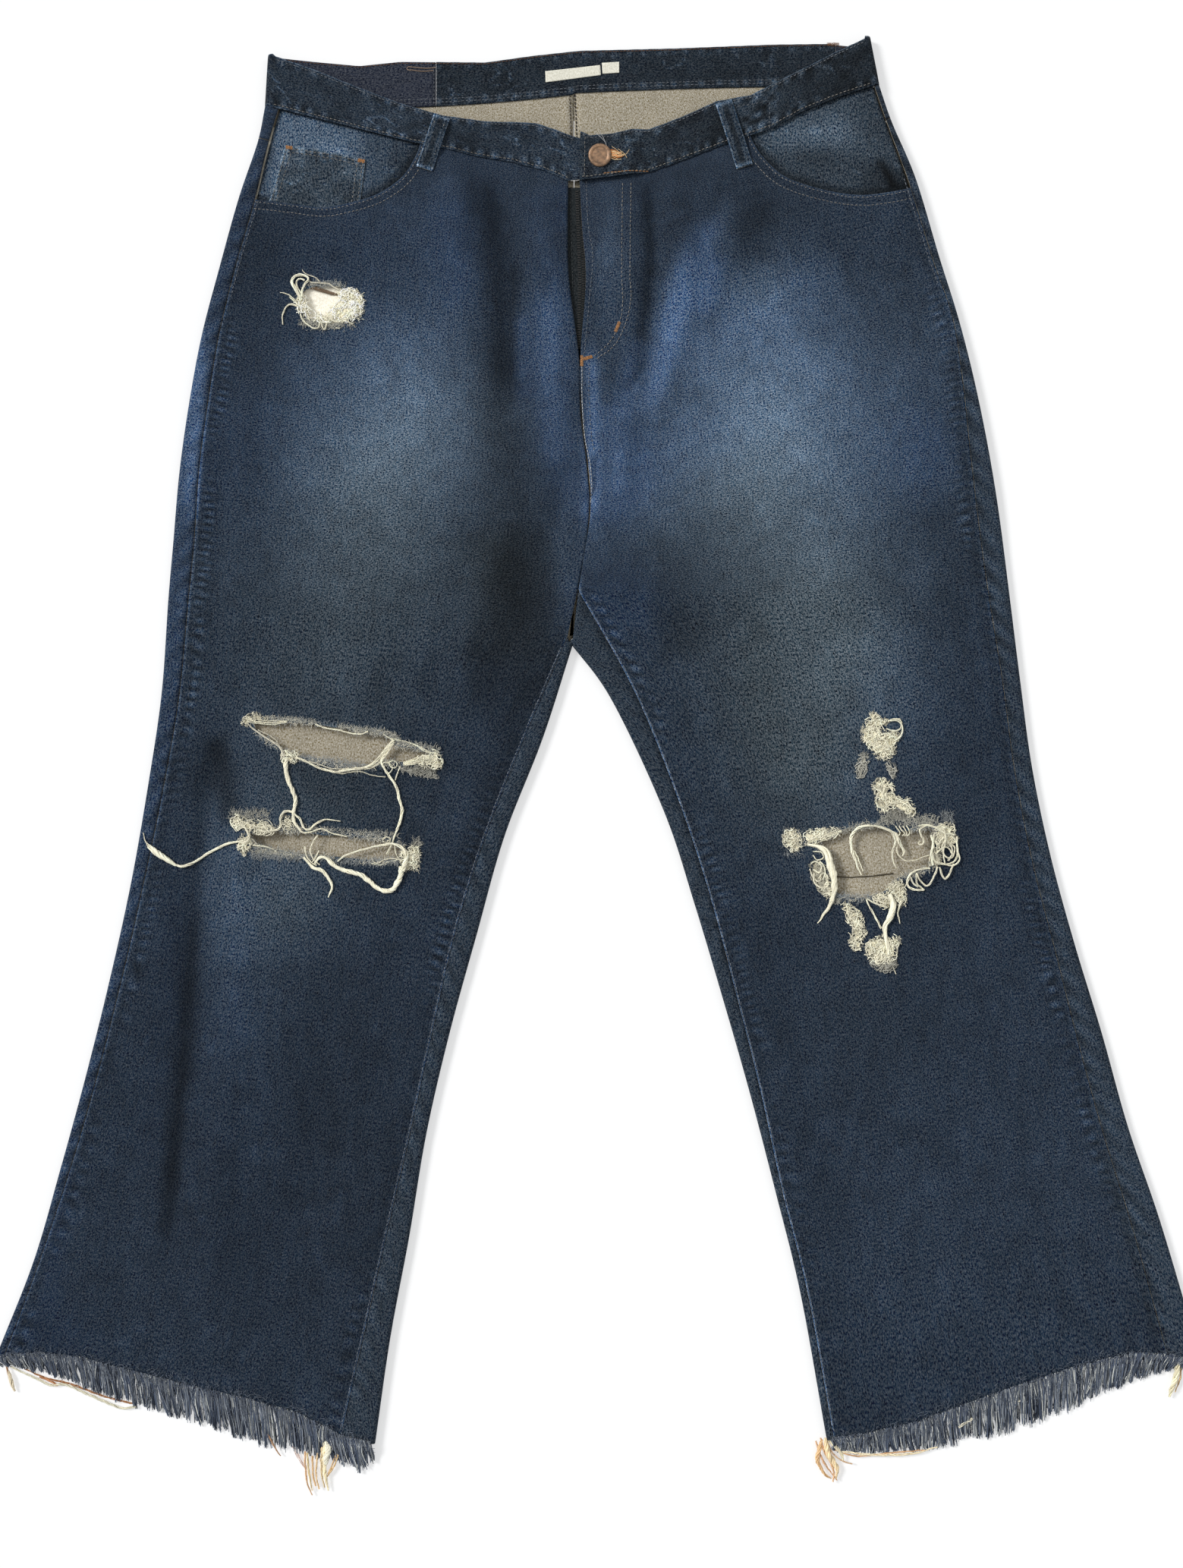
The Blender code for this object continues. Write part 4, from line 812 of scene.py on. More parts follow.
def wash_and_shade(x, y):
    """Lightness of the cloth, its wash fading with the folds' painted shade and painted light, as the green of an 8-bit
    colour, and how blue it is.
    """
    level = np.full(np.shape(x), BASE_LIGHTNESS)
    blue = np.full(np.shape(x), BASE_BLUE)
    for cx, cy, rx, ry, turn, up, bluer in WASH_AND_SHADE:
        c = px((cx, cy))[0]
        a = math.radians(turn)
        dx, dy = x - c[0], y - c[1]
        u = (dx * math.cos(a) + dy * math.sin(a)) * 1.8 / rx
        v = (-dx * math.sin(a) + dy * math.cos(a)) * 1.8 / ry
        g = np.exp(-(u * u + v * v))
        level = level + up * g
        blue = blue + bluer * g
    for points, half, up, bluer in SHADE_AND_LIGHT_STREAKS:
        lo, hi = points.min(0) - 3 * half, points.max(0) + 3 * half
        near = (x > lo[0]) & (x < hi[0]) & (y > lo[1]) & (y < hi[1])
        if near.any():
            d, k = to_line(x[near], y[near], points)
            g = np.exp(-(d / half) ** 2) * step(np.minimum(k, 1 - k) * 5 + 0.15)
            level[near] += up * g
            blue[near] += bluer * g
    return level, blue


def colour_of(level, blue):
    """Linear colour for a lightness and a blueness."""
    level = np.clip(level, 10, 235)
    blue = np.clip(blue, 0, 1)
    srgb = np.stack([level * (0.865 - 0.10 * blue), level, level * (1.10 + 0.21 * blue)], axis=-1) / 255.0
    srgb = np.clip(srgb, 0, 1)
    return np.where(srgb <= 0.04045, srgb / 12.92, ((srgb + 0.055) / 1.055) ** 2.4)


def linear(r, g, b):
    c = np.array([r, g, b], float) / 255.0
    return np.where(c <= 0.04045, c / 12.92, ((c + 0.055) / 1.055) ** 2.4)


def wisps(x, y, size, turn, seed):
    """Thin pale lines where the laid cloth has been creased."""
    u = x * math.cos(turn) + y * math.sin(turn)
    v = -x * math.sin(turn) + y * math.cos(turn)
    n = noise(u, v * 2.2, size, seed)
    return np.exp(-(n / 0.05) ** 2) * np.clip(noise(u, v, size * 0.9, seed + 5) * 2.2 - 0.5, 0, 1)


def front_colour_and_shade(leg, s, t, x, y):
    level, blue = wash_and_shade(x, y)
    length = leg.span(s) - leg.wrap(s)
    side_out = np.maximum(t, 0) * length
    side_in = np.maximum(1 - t, 0) * length
    below = step((s - CROTCH) * 1.2 + 0.6)
    # crests of the puckers rubbed light and their troughs darker, partly wear and partly painted shade in step with
    # their shape
    rub_and_shade = pucker(leg, s, side_out, 0, 8.0) + pucker(leg, s, side_in, 1, 8.0) * below
    level = level * (1 + 0.20 * rub_and_shade)
    # seam edges are rubbed light; just beside them the cloth is darkened as painted shade of the raised seam
    level = level * (1 + 0.45 * np.exp(-(side_out / 1.2) ** 2) - 0.08 * np.exp(-((side_out - 5) / 3.5) ** 2))
    level = level * (1 + below * (1.05 * np.exp(-(side_in / 0.9) ** 2) - 0.06 * np.exp(-((side_in - 5) / 3.5) ** 2)))
    # the seam allowance underneath shows as a ladder of rubbed and dark marks
    for depth, far, seed in ((side_out, 9.0, 0), (side_in, 8.0, 1)):
        on = below if seed else np.clip(step((s - 2.2) / 1.5), 0, 1)
        v = seam_run(leg, s) + depth * 0.2
        wave = np.sin(v * 2 * math.pi / 6.6 + 2.8 * noise(v, 0 * v, 20.0, 71 + seed + leg.side))
        some = np.clip(0.55 + 0.9 * noise(v, 0 * v, 55.0, 77 + seed + leg.side), 0, 1)
        band = np.exp(-((depth - far) / 4.2) ** 2)
        level = level * (1 + on * some * band * (0.60 * np.maximum(wave, 0) - 0.42 * np.maximum(-wave, 0)))
    hem = np.maximum(16 - s, 0) * 60.0
    level = level * (1 + 0.10 * np.exp(-(hem / 2.0) ** 2))
    # cloudiness of the wash
    level = level * (1 + 0.05 * noise(x, y, 38.0, 41) + 0.045 * noise(x, y, 15.0, 42) + 0.05 * noise(x, y * 0.5, 6.0, 43))
    level = level + 7 * wisps(x, y, 34.0, 0.5, 45) + 6 * wisps(x, y, 26.0, -0.9, 46)
    near = np.full(np.shape(x), 1e9)
    for name in ("upper", "lower", "knee", "hip"):
        near = np.minimum(near, np.maximum(signed(HOLES[name], x, y), 0))
    rag = near * (1 + 0.5 * noise(x, y, 5.0, 44))
    k = np.exp(-(rag / 1.7) ** 2)
    level = level + (104 - level) * 0.7 * k
    blue = blue * (1 - 0.85 * k)
    return level, blue


# ---- materials -------------------------------------------------------------------------------------

def new_material(name):
    mat = bpy.data.materials.new(name)
    mat.use_nodes = True
    nodes, links = mat.node_tree.nodes, mat.node_tree.links
    return mat, nodes, links, nodes["Principled BSDF"]


def math_node(nodes, links, op, a, b=None):
    n = nodes.new("ShaderNodeMath")
    n.operation = op
    for k, v in enumerate((a, b)):
        if v is None:
            continue
        if isinstance(v, (int, float)):
            n.inputs[k].default_value = v
        else:
            links.new(v, n.inputs[k])
    return n.outputs[0]


def scaled_noise(nodes, links, uv, scale, detail=2.0, low=0.8, high=1.2):
    """Noise round 1 in the cloth's own millimetres."""
    m = nodes.new("ShaderNodeVectorMath")
    m.operation = "MULTIPLY"
    m.inputs[1].default_value = (1 / scale[0], 1 / scale[1], 1.0)
    links.new(uv, m.inputs[0])
    n = nodes.new("ShaderNodeTexNoise")
    n.inputs["Scale"].default_value = 1.0
    n.inputs["Detail"].default_value = detail
    n.inputs["Roughness"].default_value = 0.55
    links.new(m.outputs[0], n.inputs["Vector"])
    r = nodes.new("ShaderNodeMapRange")
    r.clamp = False
    r.inputs["From Min"].default_value = 0.25
    r.inputs["From Max"].default_value = 0.75
    r.inputs["To Min"].default_value = low
    r.inputs["To Max"].default_value = high
    links.new(n.outputs["Fac"], r.inputs["Value"])
    return r.outputs["Result"]


def cloth_material(name, attribute="dye_and_shade", flat=None, grain=1.0, twill=0.35, roughness=0.95, sheen=0.03, pitch=1.3,
                   slant=1.0):
    """Woven cloth: its colour, with the painted shade and light that some pieces carry, from the vertices, speckled and
    streaked along the grain, with a fine diagonal rib."""
    mat, nodes, links, shader = new_material(name)
    uv = nodes.new("ShaderNodeUVMap")
    uv.uv_map = "cloth"
    if flat is None:
        dye_and_shade = nodes.new("ShaderNodeAttribute")
        dye_and_shade.attribute_name = attribute
        colour = dye_and_shade.outputs["Color"]
    else:
        rgb = nodes.new("ShaderNodeRGB")
        rgb.outputs[0].default_value = (*flat, 1)
        colour = rgb.outputs[0]
    speck = scaled_noise(nodes, links, uv.outputs[0], (1.15, 1.7), 1.0, -0.60, 0.60)
    fine = scaled_noise(nodes, links, uv.outputs[0], (0.7, 1.0), 1.0, -0.56, 0.56)
    slub = scaled_noise(nodes, links, uv.outputs[0], (1.4, 17.0), 2.0, 1 - 0.20 * grain, 1 + 0.22 * grain)
    cloud = scaled_noise(nodes, links, uv.outputs[0], (9.0, 13.0), 3.0, 1 - 0.13 * grain, 1 + 0.13 * grain)
    k = math_node(nodes, links, "MULTIPLY", slub, cloud)
    mix = nodes.new("ShaderNodeVectorMath")
    mix.operation = "SCALE"
    links.new(colour, mix.inputs[0])
    links.new(k, mix.inputs["Scale"])
    parts = nodes.new("ShaderNodeSeparateColor")
    links.new(colour, parts.inputs[0])
    amount = math_node(nodes, links, "ADD", math_node(nodes, links, "MULTIPLY", parts.outputs[1], 2.0 * grain), -0.006 * grain)
    dots = math_node(nodes, links, "ADD", speck, fine)
    grey = math_node(nodes, links, "MULTIPLY", dots, amount)
    add = nodes.new("ShaderNodeVectorMath")
    add.operation = "ADD"
    links.new(mix.outputs[0], add.inputs[0])
    links.new(grey, add.inputs[1])
    floor_ = nodes.new("ShaderNodeVectorMath")
    floor_.operation = "MAXIMUM"
    floor_.inputs[1].default_value = (0.003, 0.003, 0.004)
    links.new(add.outputs[0], floor_.inputs[0])
    links.new(floor_.outputs[0], shader.inputs["Base Color"])
    shader.inputs["Roughness"].default_value = roughness
    shader.inputs["Specular IOR Level"].default_value = 0.08
    shader.inputs["Sheen Weight"].default_value = sheen
    shader.inputs["Sheen Roughness"].default_value = 0.5
    # twill rib
    sep = nodes.new("ShaderNodeSeparateXYZ")
    links.new(uv.outputs[0], sep.inputs[0])
    a = math_node(nodes, links, "MULTIPLY", sep.outputs[0], 2 * math.pi / pitch * 0.94)
    b = math_node(nodes, links, "MULTIPLY", sep.outputs[1], 2 * math.pi / pitch * 0.55 * slant)
    w = math_node(nodes, links, "SINE", math_node(nodes, links, "ADD", a, b))
    w = math_node(nodes, links, "MULTIPLY", w, 0.25)
    w = math_node(nodes, links, "ADD", w, math_node(nodes, links, "MULTIPLY", speck, 0.22))
    bump = nodes.new("ShaderNodeBump")
    bump.inputs["Strength"].default_value = twill
    bump.inputs["Distance"].default_value = 0.0004
    links.new(w, bump.inputs["Height"])
    links.new(bump.outputs[0], shader.inputs["Normal"])
    return mat


denim = cloth_material("denim_washed_and_shaded")
wrong = cloth_material("denim_wrong_side", flat=tuple(linear(160, 152, 135)), grain=0.42, twill=0.5, sheen=0.03)
wrong_back = cloth_material("denim_wrong_side_back", attribute="inner", grain=0.42, twill=0.5, sheen=0.03)
wrong_dark = cloth_material("denim_band_inside", flat=tuple(linear(48, 52, 62)), grain=0.9)
bagging = cloth_material("pocketing_twill", flat=tuple(linear(255, 249, 232)), grain=0.12, twill=0.2, sheen=0.05)
tape = cloth_material("zip_tape_woven", flat=tuple(linear(36, 40, 42)), grain=0.6, twill=0.4, pitch=1.0)
woven = cloth_material("label_woven", flat=tuple(linear(222, 219, 204)), grain=0.12, twill=0.25, pitch=0.8)


def strand_material(name):
    mat, nodes, links, shader = new_material(name)
    dye_and_shade = nodes.new("ShaderNodeAttribute")
    dye_and_shade.attribute_name = "dye_and_shade"
    tex = nodes.new("ShaderNodeTexNoise")
    tex.inputs["Scale"].default_value = 900.0
    geo = nodes.new("ShaderNodeTexCoord")
    links.new(geo.outputs["Object"], tex.inputs["Vector"])
    r = nodes.new("ShaderNodeMapRange")
    r.inputs["To Min"].default_value = 0.8
    r.inputs["To Max"].default_value = 1.2
    links.new(tex.outputs["Fac"], r.inputs["Value"])
    mix = nodes.new("ShaderNodeVectorMath")
    mix.operation = "SCALE"
    links.new(dye_and_shade.outputs["Color"], mix.inputs[0])
    links.new(r.outputs[0], mix.inputs["Scale"])
    links.new(mix.outputs[0], shader.inputs["Base Color"])
    shader.inputs["Roughness"].default_value = 0.9
    shader.inputs["Specular IOR Level"].default_value = 0.15
    shader.inputs["Sheen Weight"].default_value = 0.05
    return mat


cotton = strand_material("cotton_thread")


def metal_material():
    mat, nodes, links, shader = new_material("copper_button")
    tex = nodes.new("ShaderNodeTexNoise")
    tex.inputs["Scale"].default_value = 420.0
    tex.inputs["Detail"].default_value = 3.0
    geo = nodes.new("ShaderNodeTexCoord")
    links.new(geo.outputs["Object"], tex.inputs["Vector"])
    ramp = nodes.new("ShaderNodeValToRGB")
    ramp.color_ramp.elements[0].position = 0.3
    ramp.color_ramp.elements[0].color = (*linear(112, 92, 76), 1)
    ramp.color_ramp.elements[1].position = 0.7
    ramp.color_ramp.elements[1].color = (*linear(172, 136, 106), 1)
    links.new(tex.outputs["Fac"], ramp.inputs[0])
    links.new(ramp.outputs[0], shader.inputs["Base Color"])
    shader.inputs["Metallic"].default_value = 0.55
    shader.inputs["Roughness"].default_value = 0.5
    bump = nodes.new("ShaderNodeBump")
    bump.inputs["Strength"].default_value = 0.2
    bump.inputs["Distance"].default_value = 0.0002
    links.new(tex.outputs["Fac"], bump.inputs["Height"])
    links.new(bump.outputs[0], shader.inputs["Normal"])
    return mat


copper = metal_material()


# ---- making pieces ----------------------------------------------------------------------------------

def in_metres(points):
    p = np.array(points, float)
    p[..., 0] -= ORIGIN[0]
    p[..., 1] -= ORIGIN[1]
    return p * MM


def add_object(name, verts, faces, mats, dye_and_shade=None, uv=None, smooth_it=True):
    """verts in millimetres of the plan; faces an array or a list."""
    mesh = bpy.data.meshes.new(name)
    faces = faces.tolist() if isinstance(faces, np.ndarray) else faces
    mesh.from_pydata(in_metres(verts).tolist(), [], faces)
    for m in mats:
        mesh.materials.append(m)
    if smooth_it:
        mesh.shade_smooth()
    if dye_and_shade is not None:
        a = mesh.attributes.new("dye_and_shade", "FLOAT_COLOR", "POINT")
        rgba = np.concatenate([dye_and_shade, np.ones((len(dye_and_shade), 1))], axis=1).astype(np.float32)
        a.data.foreach_set("color", rgba.ravel())
    if uv is not None:
        layer = mesh.uv_layers.new(name="cloth")
        idx = np.zeros(len(mesh.loops), np.int32)
        mesh.loops.foreach_get("vertex_index", idx)
        layer.data.foreach_set("uv", np.asarray(uv, np.float32)[idx].ravel())
    ob = bpy.data.objects.new(name, mesh)
    bpy.context.scene.collection.objects.link(ob)
    return ob


def thicken(ob, thickness, inside_slot=0, offset=0.0):
    mod = ob.modifiers.new("thickness", "SOLIDIFY")
    mod.thickness = thickness * MM
    mod.offset = offset
    mod.use_quality_normals = True
    mod.material_offset = inside_slot
    mod.material_offset_rim = inside_slot
    return ob


def grid_faces(nr, nc, flip=False):
    i = np.arange(nr * nc).reshape(nr, nc)
    f = np.stack([i[:-1, :-1], i[1:, :-1], i[1:, 1:], i[:-1, 1:]], axis=-1).reshape(-1, 4)
    return f[:, ::-1] if flip else f


def trimmed(data, keep):
    """Triangles of a grid cut back to where keep is above 0. data (rows, columns, values)."""
    nr, nc = keep.shape
    pts = [tuple(r) for r in data.reshape(-1, data.shape[-1])]
    f = keep.ravel()
    i = np.arange(nr * nc).reshape(nr, nc)
    a, b, c, d = i[:-1, :-1].ravel(), i[1:, :-1].ravel(), i[1:, 1:].ravel(), i[:-1, 1:].ravel()
    odd = ((np.arange(nr - 1)[:, None] + np.arange(nc - 1)[None]) % 2).ravel().astype(bool)
    t1 = np.where(odd[:, None], np.stack([a, b, c], -1), np.stack([a, b, d], -1))
    t2 = np.where(odd[:, None], np.stack([a, c, d], -1), np.stack([b, c, d], -1))
    tris = np.concatenate([t1, t2])
    inside = (f[tris] > 0).sum(1)
    out = tris[inside == 3].tolist()
    made = {}

    def mid(p, q):
        key = (min(p, q), max(p, q))
        if key not in made:
            k = f[p] / (f[p] - f[q])
            made[key] = len(pts)
            pts.append(tuple(u + (v - u) * k for u, v in zip(pts[p], pts[q])))
        return made[key]

    for tri in tris[(inside == 1) | (inside == 2)].tolist():
        poly = []
        for p, q in zip(tri, tri[1:] + tri[:1]):
            if f[p] > 0:
                poly.append(p)
            if (f[p] > 0) != (f[q] > 0):
                poly.append(mid(p, q))
        for k in range(1, len(poly) - 1):
            out.append([poly[0], poly[k], poly[k + 1]])
    out = np.array(out)
    used, back = np.unique(out, return_inverse=True)
    return np.array(pts)[used], back.reshape(out.shape)


def finer(rows, nr, nc):
    """A grid of points with more rows and columns."""
    rows = np.asarray(rows, float)
    r, c, k = rows.shape
    a = np.stack([[np.interp(np.linspace(0, r - 1, nr), np.arange(r), rows[:, j, q]) for q in range(k)]
                  for j in range(c)])                       # c, k, nr
    a = a.transpose(2, 0, 1)
    b = np.stack([[np.interp(np.linspace(0, c - 1, nc), np.arange(c), a[i, :, q]) for q in range(k)]
                  for i in range(nr)])                      # nr, k, nc
    return b.transpose(0, 2, 1)


def tubes(paths, radii, colours, sides=4):
    """Round strands: paths (k, n, 3), radii (k, n), colours (k, 3)."""
    paths = np.asarray(paths, float)
    k, n, _ = paths.shape
    tangent = np.gradient(paths, axis=1)
    tangent /= np.maximum(np.linalg.norm(tangent, axis=-1, keepdims=True), 1e-9)
    ref = np.where(np.abs(tangent[..., 2:3]) > 0.85, np.array([1.0, 0, 0]), np.array([0, 0, 1.0]))
    a = np.cross(tangent, ref)
    a /= np.maximum(np.linalg.norm(a, axis=-1, keepdims=True), 1e-9)
    b = np.cross(a, tangent)
    ang = np.arange(sides) * 2 * math.pi / sides
    ring = (a[:, :, None] * np.cos(ang)[None, None, :, None] + b[:, :, None] * np.sin(ang)[None, None, :, None])
    verts = paths[:, :, None] + ring * np.asarray(radii)[:, :, None, None]
    base = (np.arange(k)[:, None, None] * n + np.arange(n - 1)[None, :, None]) * sides
    j = np.arange(sides)[None, None]
    jn = (np.arange(sides)[None, None] + 1) % sides
    faces = np.stack([base + j, base + jn, base + sides + jn, base + sides + j], axis=-1).reshape(-1, 4)
    cols = np.repeat(np.asarray(colours, float), n * sides, axis=0)
    return verts.reshape(-1, 3), faces, cols


class Bundle:
    """Strands gathered into one piece."""

    def __init__(self):
        self.batches = []

    def add(self, paths, radii, colours, sides=4):
        paths, radii = np.asarray(paths, float), np.asarray(radii, float)
        n = paths.shape[1]
        if n > 5:
            take = np.round(np.linspace(0, n - 1, max(int(n * 0.56), 4))).astype(int)
            paths, radii = paths[:, take], radii[:, take]
        self.batches.append(tubes(paths, radii, colours, 3 if radii.max() < 0.55 else 4))

    def make(self, name, slot, where=None):
        picked = [q for q in self.batches if where is None or where(float(q[0][:, 0].mean()))]
        starts = np.cumsum([0] + [len(q[0]) for q in picked[:-1]])
        ob = add_object(name, np.concatenate([q[0] for q in picked]),
                        np.concatenate([q[1] + n for q, n in zip(picked, starts)]), [cotton],
                        np.concatenate([q[2] for q in picked]))
        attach(ob, "root")
        return ob


def jitter(n, spread):
    return RNG.normal(0, spread, n)


# ---- fronts ------------------------------------------------------------------------------------------

def spaced(ends, fine, coarse, near):
    """Positions from 0 to ends, close together near both."""
    out, x = [0.0], 0.0
    while x < ends / 2:
        x += fine if x < near else coarse
        out.append(min(x, ends / 2))
    half = np.array(out)
    return np.unique(np.concatenate([half, ends - half])) / ends


def rows_for(stops):
    out = []
    for (a, b, n) in stops:
        out.append(np.linspace(a, b, n, endpoint=False))
    return np.concatenate(out + [[stops[-1][1]]])


PIECES = {}


def front_piece(name, leg, stops, holes):
    s = rows_for(stops)
    t = spaced(250.0, 1.9, 3.7, 14.0)
    S, T = np.meshgrid(s, t, indexing="ij")
    xy = leg.row(S, leg.front_share(S, T))
    x, y = xy[..., 0], xy[..., 1]
    keep = np.full(S.shape, 1e3)
    for h in holes:
        keep = np.minimum(keep, signed(h, x, y) + 0.45 * noise(x, y, 2.6, 51))
    mouth = mouth_outline(RIGHT_MOUTH if leg is RIGHT else LEFT_MOUTH, leg.side)
    smooth_mouth = list(map(tuple, curve(mouth[:8], 40))) + mouth[8:]
    keep = np.minimum(keep, signed(smooth_mouth, x, y))
    data = np.stack([x, y, S, T], axis=-1)
    pts, faces = trimmed(data, keep)
    x, y, S, T = pts.T
    z = scene_height(leg, S, T, np.stack([x, y], -1))
    d = signed(smooth_mouth, x, y)
    z = z + 0.25 * np.exp(-(d / 4.0) ** 2)
    level, blue = front_colour_and_shade(leg, S, T, x, y)
    # the mouth's edge rubbed light, with a band of painted shade just in from it
    level = level * (1 + 0.22 * np.exp(-(d / 1.2) ** 2) - 0.08 * np.exp(-((d - 4) / 2.5) ** 2))
    if leg.side > 0:
        faces = faces[:, ::-1]
    ob = add_object(name, np.stack([x, y, z], -1), faces, [denim, wrong], colour_of(level, blue),
                    np.stack([T * 250.0, -S * 70.0], -1))
    thicken(ob, CLOTH, 1)
    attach(ob, "root")
    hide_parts(name)
    PIECES[name] = ob
    return ob


front_piece("front_right", RIGHT, ((-0.06, 8, 150), (8, 9.6, 30), (9.6, 11.6, 58), (11.6, 16, 70)),
            [HOLES["upper"], HOLES["lower"], HOLES["hip"]])
front_piece("front_left", LEFT, ((-0.06, 9.5, 168), (9.5, 12.2, 70), (12.2, 16, 66)), [HOLES["knee"]])

# ---- backs and yokes ---------------------------------------------------------------------------------

ARC = np.radians([66, 44, 22, 0, -22, -45, -68, -90])
WRAP_SHARES = (0.0, 0.2, 0.4, 0.6, 0.8, 1.0)
BOTTOM_SHARES = tuple(np.linspace(0.015, 1.0, 38))
INNER = len(WRAP_SHARES) + len(ARC) + len(BOTTOM_SHARES) - 1


def back_piece(name, leg, stations, keep_inner, cad):
    rows, keep = back_rows(leg, stations)
    s = np.array([[f(0.0)] for f in stations])
    nr, nc = rows.shape[:2]
    col = np.arange(nc)
    seam_col = len(WRAP_SHARES)
    # puckers along the side seam and the inseam
    depth = np.cumsum(np.concatenate([np.zeros((nr, 1)), np.linalg.norm(np.diff(rows, axis=1), axis=-1)], axis=1), axis=1)
    deep_in = depth[:, -1:] - depth
    lift_w = pucker(leg, np.broadcast_to(s, (nr, nc)), depth, 0) * 0.42
    below = step((s - CROTCH) * 1.2 + 0.6)
    lift_i = pucker(leg, np.broadcast_to(s, (nr, nc)), deep_in, 1) * 0.42 * below
    top_side = (col <= seam_col)[None] * 1.0
    rows = rows.copy()
    rows[..., 2] += lift_w * top_side + lift_i * (col > INNER + 2)[None]
    flat = rows.reshape(-1, 3)
    S = np.broadcast_to(s, (nr, nc)).ravel()
    level, blue = wash_and_shade(flat[:, 0], flat[:, 1])
    x = flat[:, 0]
    underside_dark = np.full((nr, nc), 50.0)
    # the cloth that comes round to the front is lighter along its fold, partly wear and partly painted light; on the
    # right leg, on the side the light comes from, it is also painted bluer as lit
    level = level.reshape(nr, nc)
    blue = blue.reshape(nr, nc)
    level = np.where(col[None] <= seam_col + 4, level + 10, underside_dark + 5 * noise(rows[..., 0], rows[..., 1], 40, 21))
    level = np.where(col[None] > INNER + 1, 54.0, level)
    # crests of the puckers rubbed light and their troughs darker, partly wear and partly painted shade in step with
    # their shape
    rub_and_shade = pucker(leg, np.broadcast_to(s, (nr, nc)), depth, 0, 10.0)
    rub_and_shade_in = pucker(leg, np.broadcast_to(s, (nr, nc)), deep_in, 1, 10.0) * below
    level = level * (1 + 0.38 * rub_and_shade * (col <= seam_col + 4)[None] + 0.25 * rub_and_shade_in * (col > INNER)[None])
    # painted shade along the cloth's edge at the side seam
    level = level * (1 - 0.22 * np.exp(-(depth / 3.0) ** 2))
    blue = np.where(col[None] <= seam_col + 4, np.maximum(blue, 0.95) if leg is RIGHT else blue * 0 + 0.45, 0.4)
    faces = grid_faces(nr, nc, flip=leg.side < 0)
    if keep_inner:
        r, c = np.divmod(np.arange((nr - 1) * (nc - 1)), nc - 1)
        ok = (c + 1 <= INNER) | (keep[r] & keep[r + 1])
    else:
        ok = np.divmod(np.arange((nr - 1) * (nc - 1)), nc - 1)[1] + 1 <= INNER
    faces = faces[ok]
    used, back = np.unique(faces, return_inverse=True)
    uv = np.stack([depth, np.broadcast_to(-s * 70.0, (nr, nc))], -1).reshape(-1, 2)
    ob = add_object(name, flat[used], back.reshape(faces.shape), [denim, wrong_back],
                    colour_of(level.ravel(), blue.ravel())[used], uv[used])
    xy = flat[used][:, :2]
    fold_y = np.interp(xy[:, 0], *px((1100, 1154), (1140, 1156), (1180, 1151)).T)
    shade = 1 + 0.05 * noise(xy[:, 0], xy[:, 1], 16.0, 24) + 0.04 * noise(xy[:, 0], xy[:, 1], 5.0, 25)
    # behind the left knee: a line of painted shade along a fold in the cloth, with painted light on the cloth below it
    if leg is LEFT:
        on = step((xy[:, 0] - 160) / 8) * step((232 - xy[:, 0]) / 8) * step((xy[:, 1] + 130) / 10) * step((-20 - xy[:, 1]) / 10)
        shade = shade * (1 + on * (0.20 * step((fold_y - xy[:, 1]) / 1.2) - 0.42 * np.exp(-((xy[:, 1] - fold_y) / 2.2) ** 2)))
    inner = np.clip(linear(157, 149, 132)[None] * shade[:, None], 0, 1)
    extra = ob.data.attributes.new("inner", "FLOAT_COLOR", "POINT")
    extra.data.foreach_set("color", np.concatenate([inner, np.ones((len(inner), 1))], 1).astype(np.float32).ravel())
    thicken(ob, CLOTH, 1)
    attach(ob, "root")
    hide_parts(cad)
    PIECES[name] = ob
    return ob


SEAT_FIRST = YOKE_SIDE + 0.014


def yoke_seam(q):
    return YOKE_SIDE + (YOKE_MIDDLE - YOKE_SIDE) * q


def yoke_row(k):
    return lambda q: yoke_seam(q) * k


def seat_row(station):
    k = (station - SEAT_FIRST) / (CROTCH - SEAT_FIRST)
    return lambda q: yoke_seam(q) + 0.014 + (CROTCH - yoke_seam(q) - 0.014) * k


def leg_row(s):
    return lambda q: s


for word, leg in (("right", RIGHT), ("left", LEFT)):
    back_piece("yoke_" + word, leg, [yoke_row(k) for k in np.linspace(-0.04, 1, 14)], False, "yoke_" + word)
    back_piece("back_" + word, leg, [seat_row(s) for s in np.linspace(SEAT_FIRST, 8, 70)]
               + [leg_row(s) for s in np.linspace(8.05, 16, 88)], True, "back_" + word)

# ---- pockets -----------------------------------------------------------------------------------------



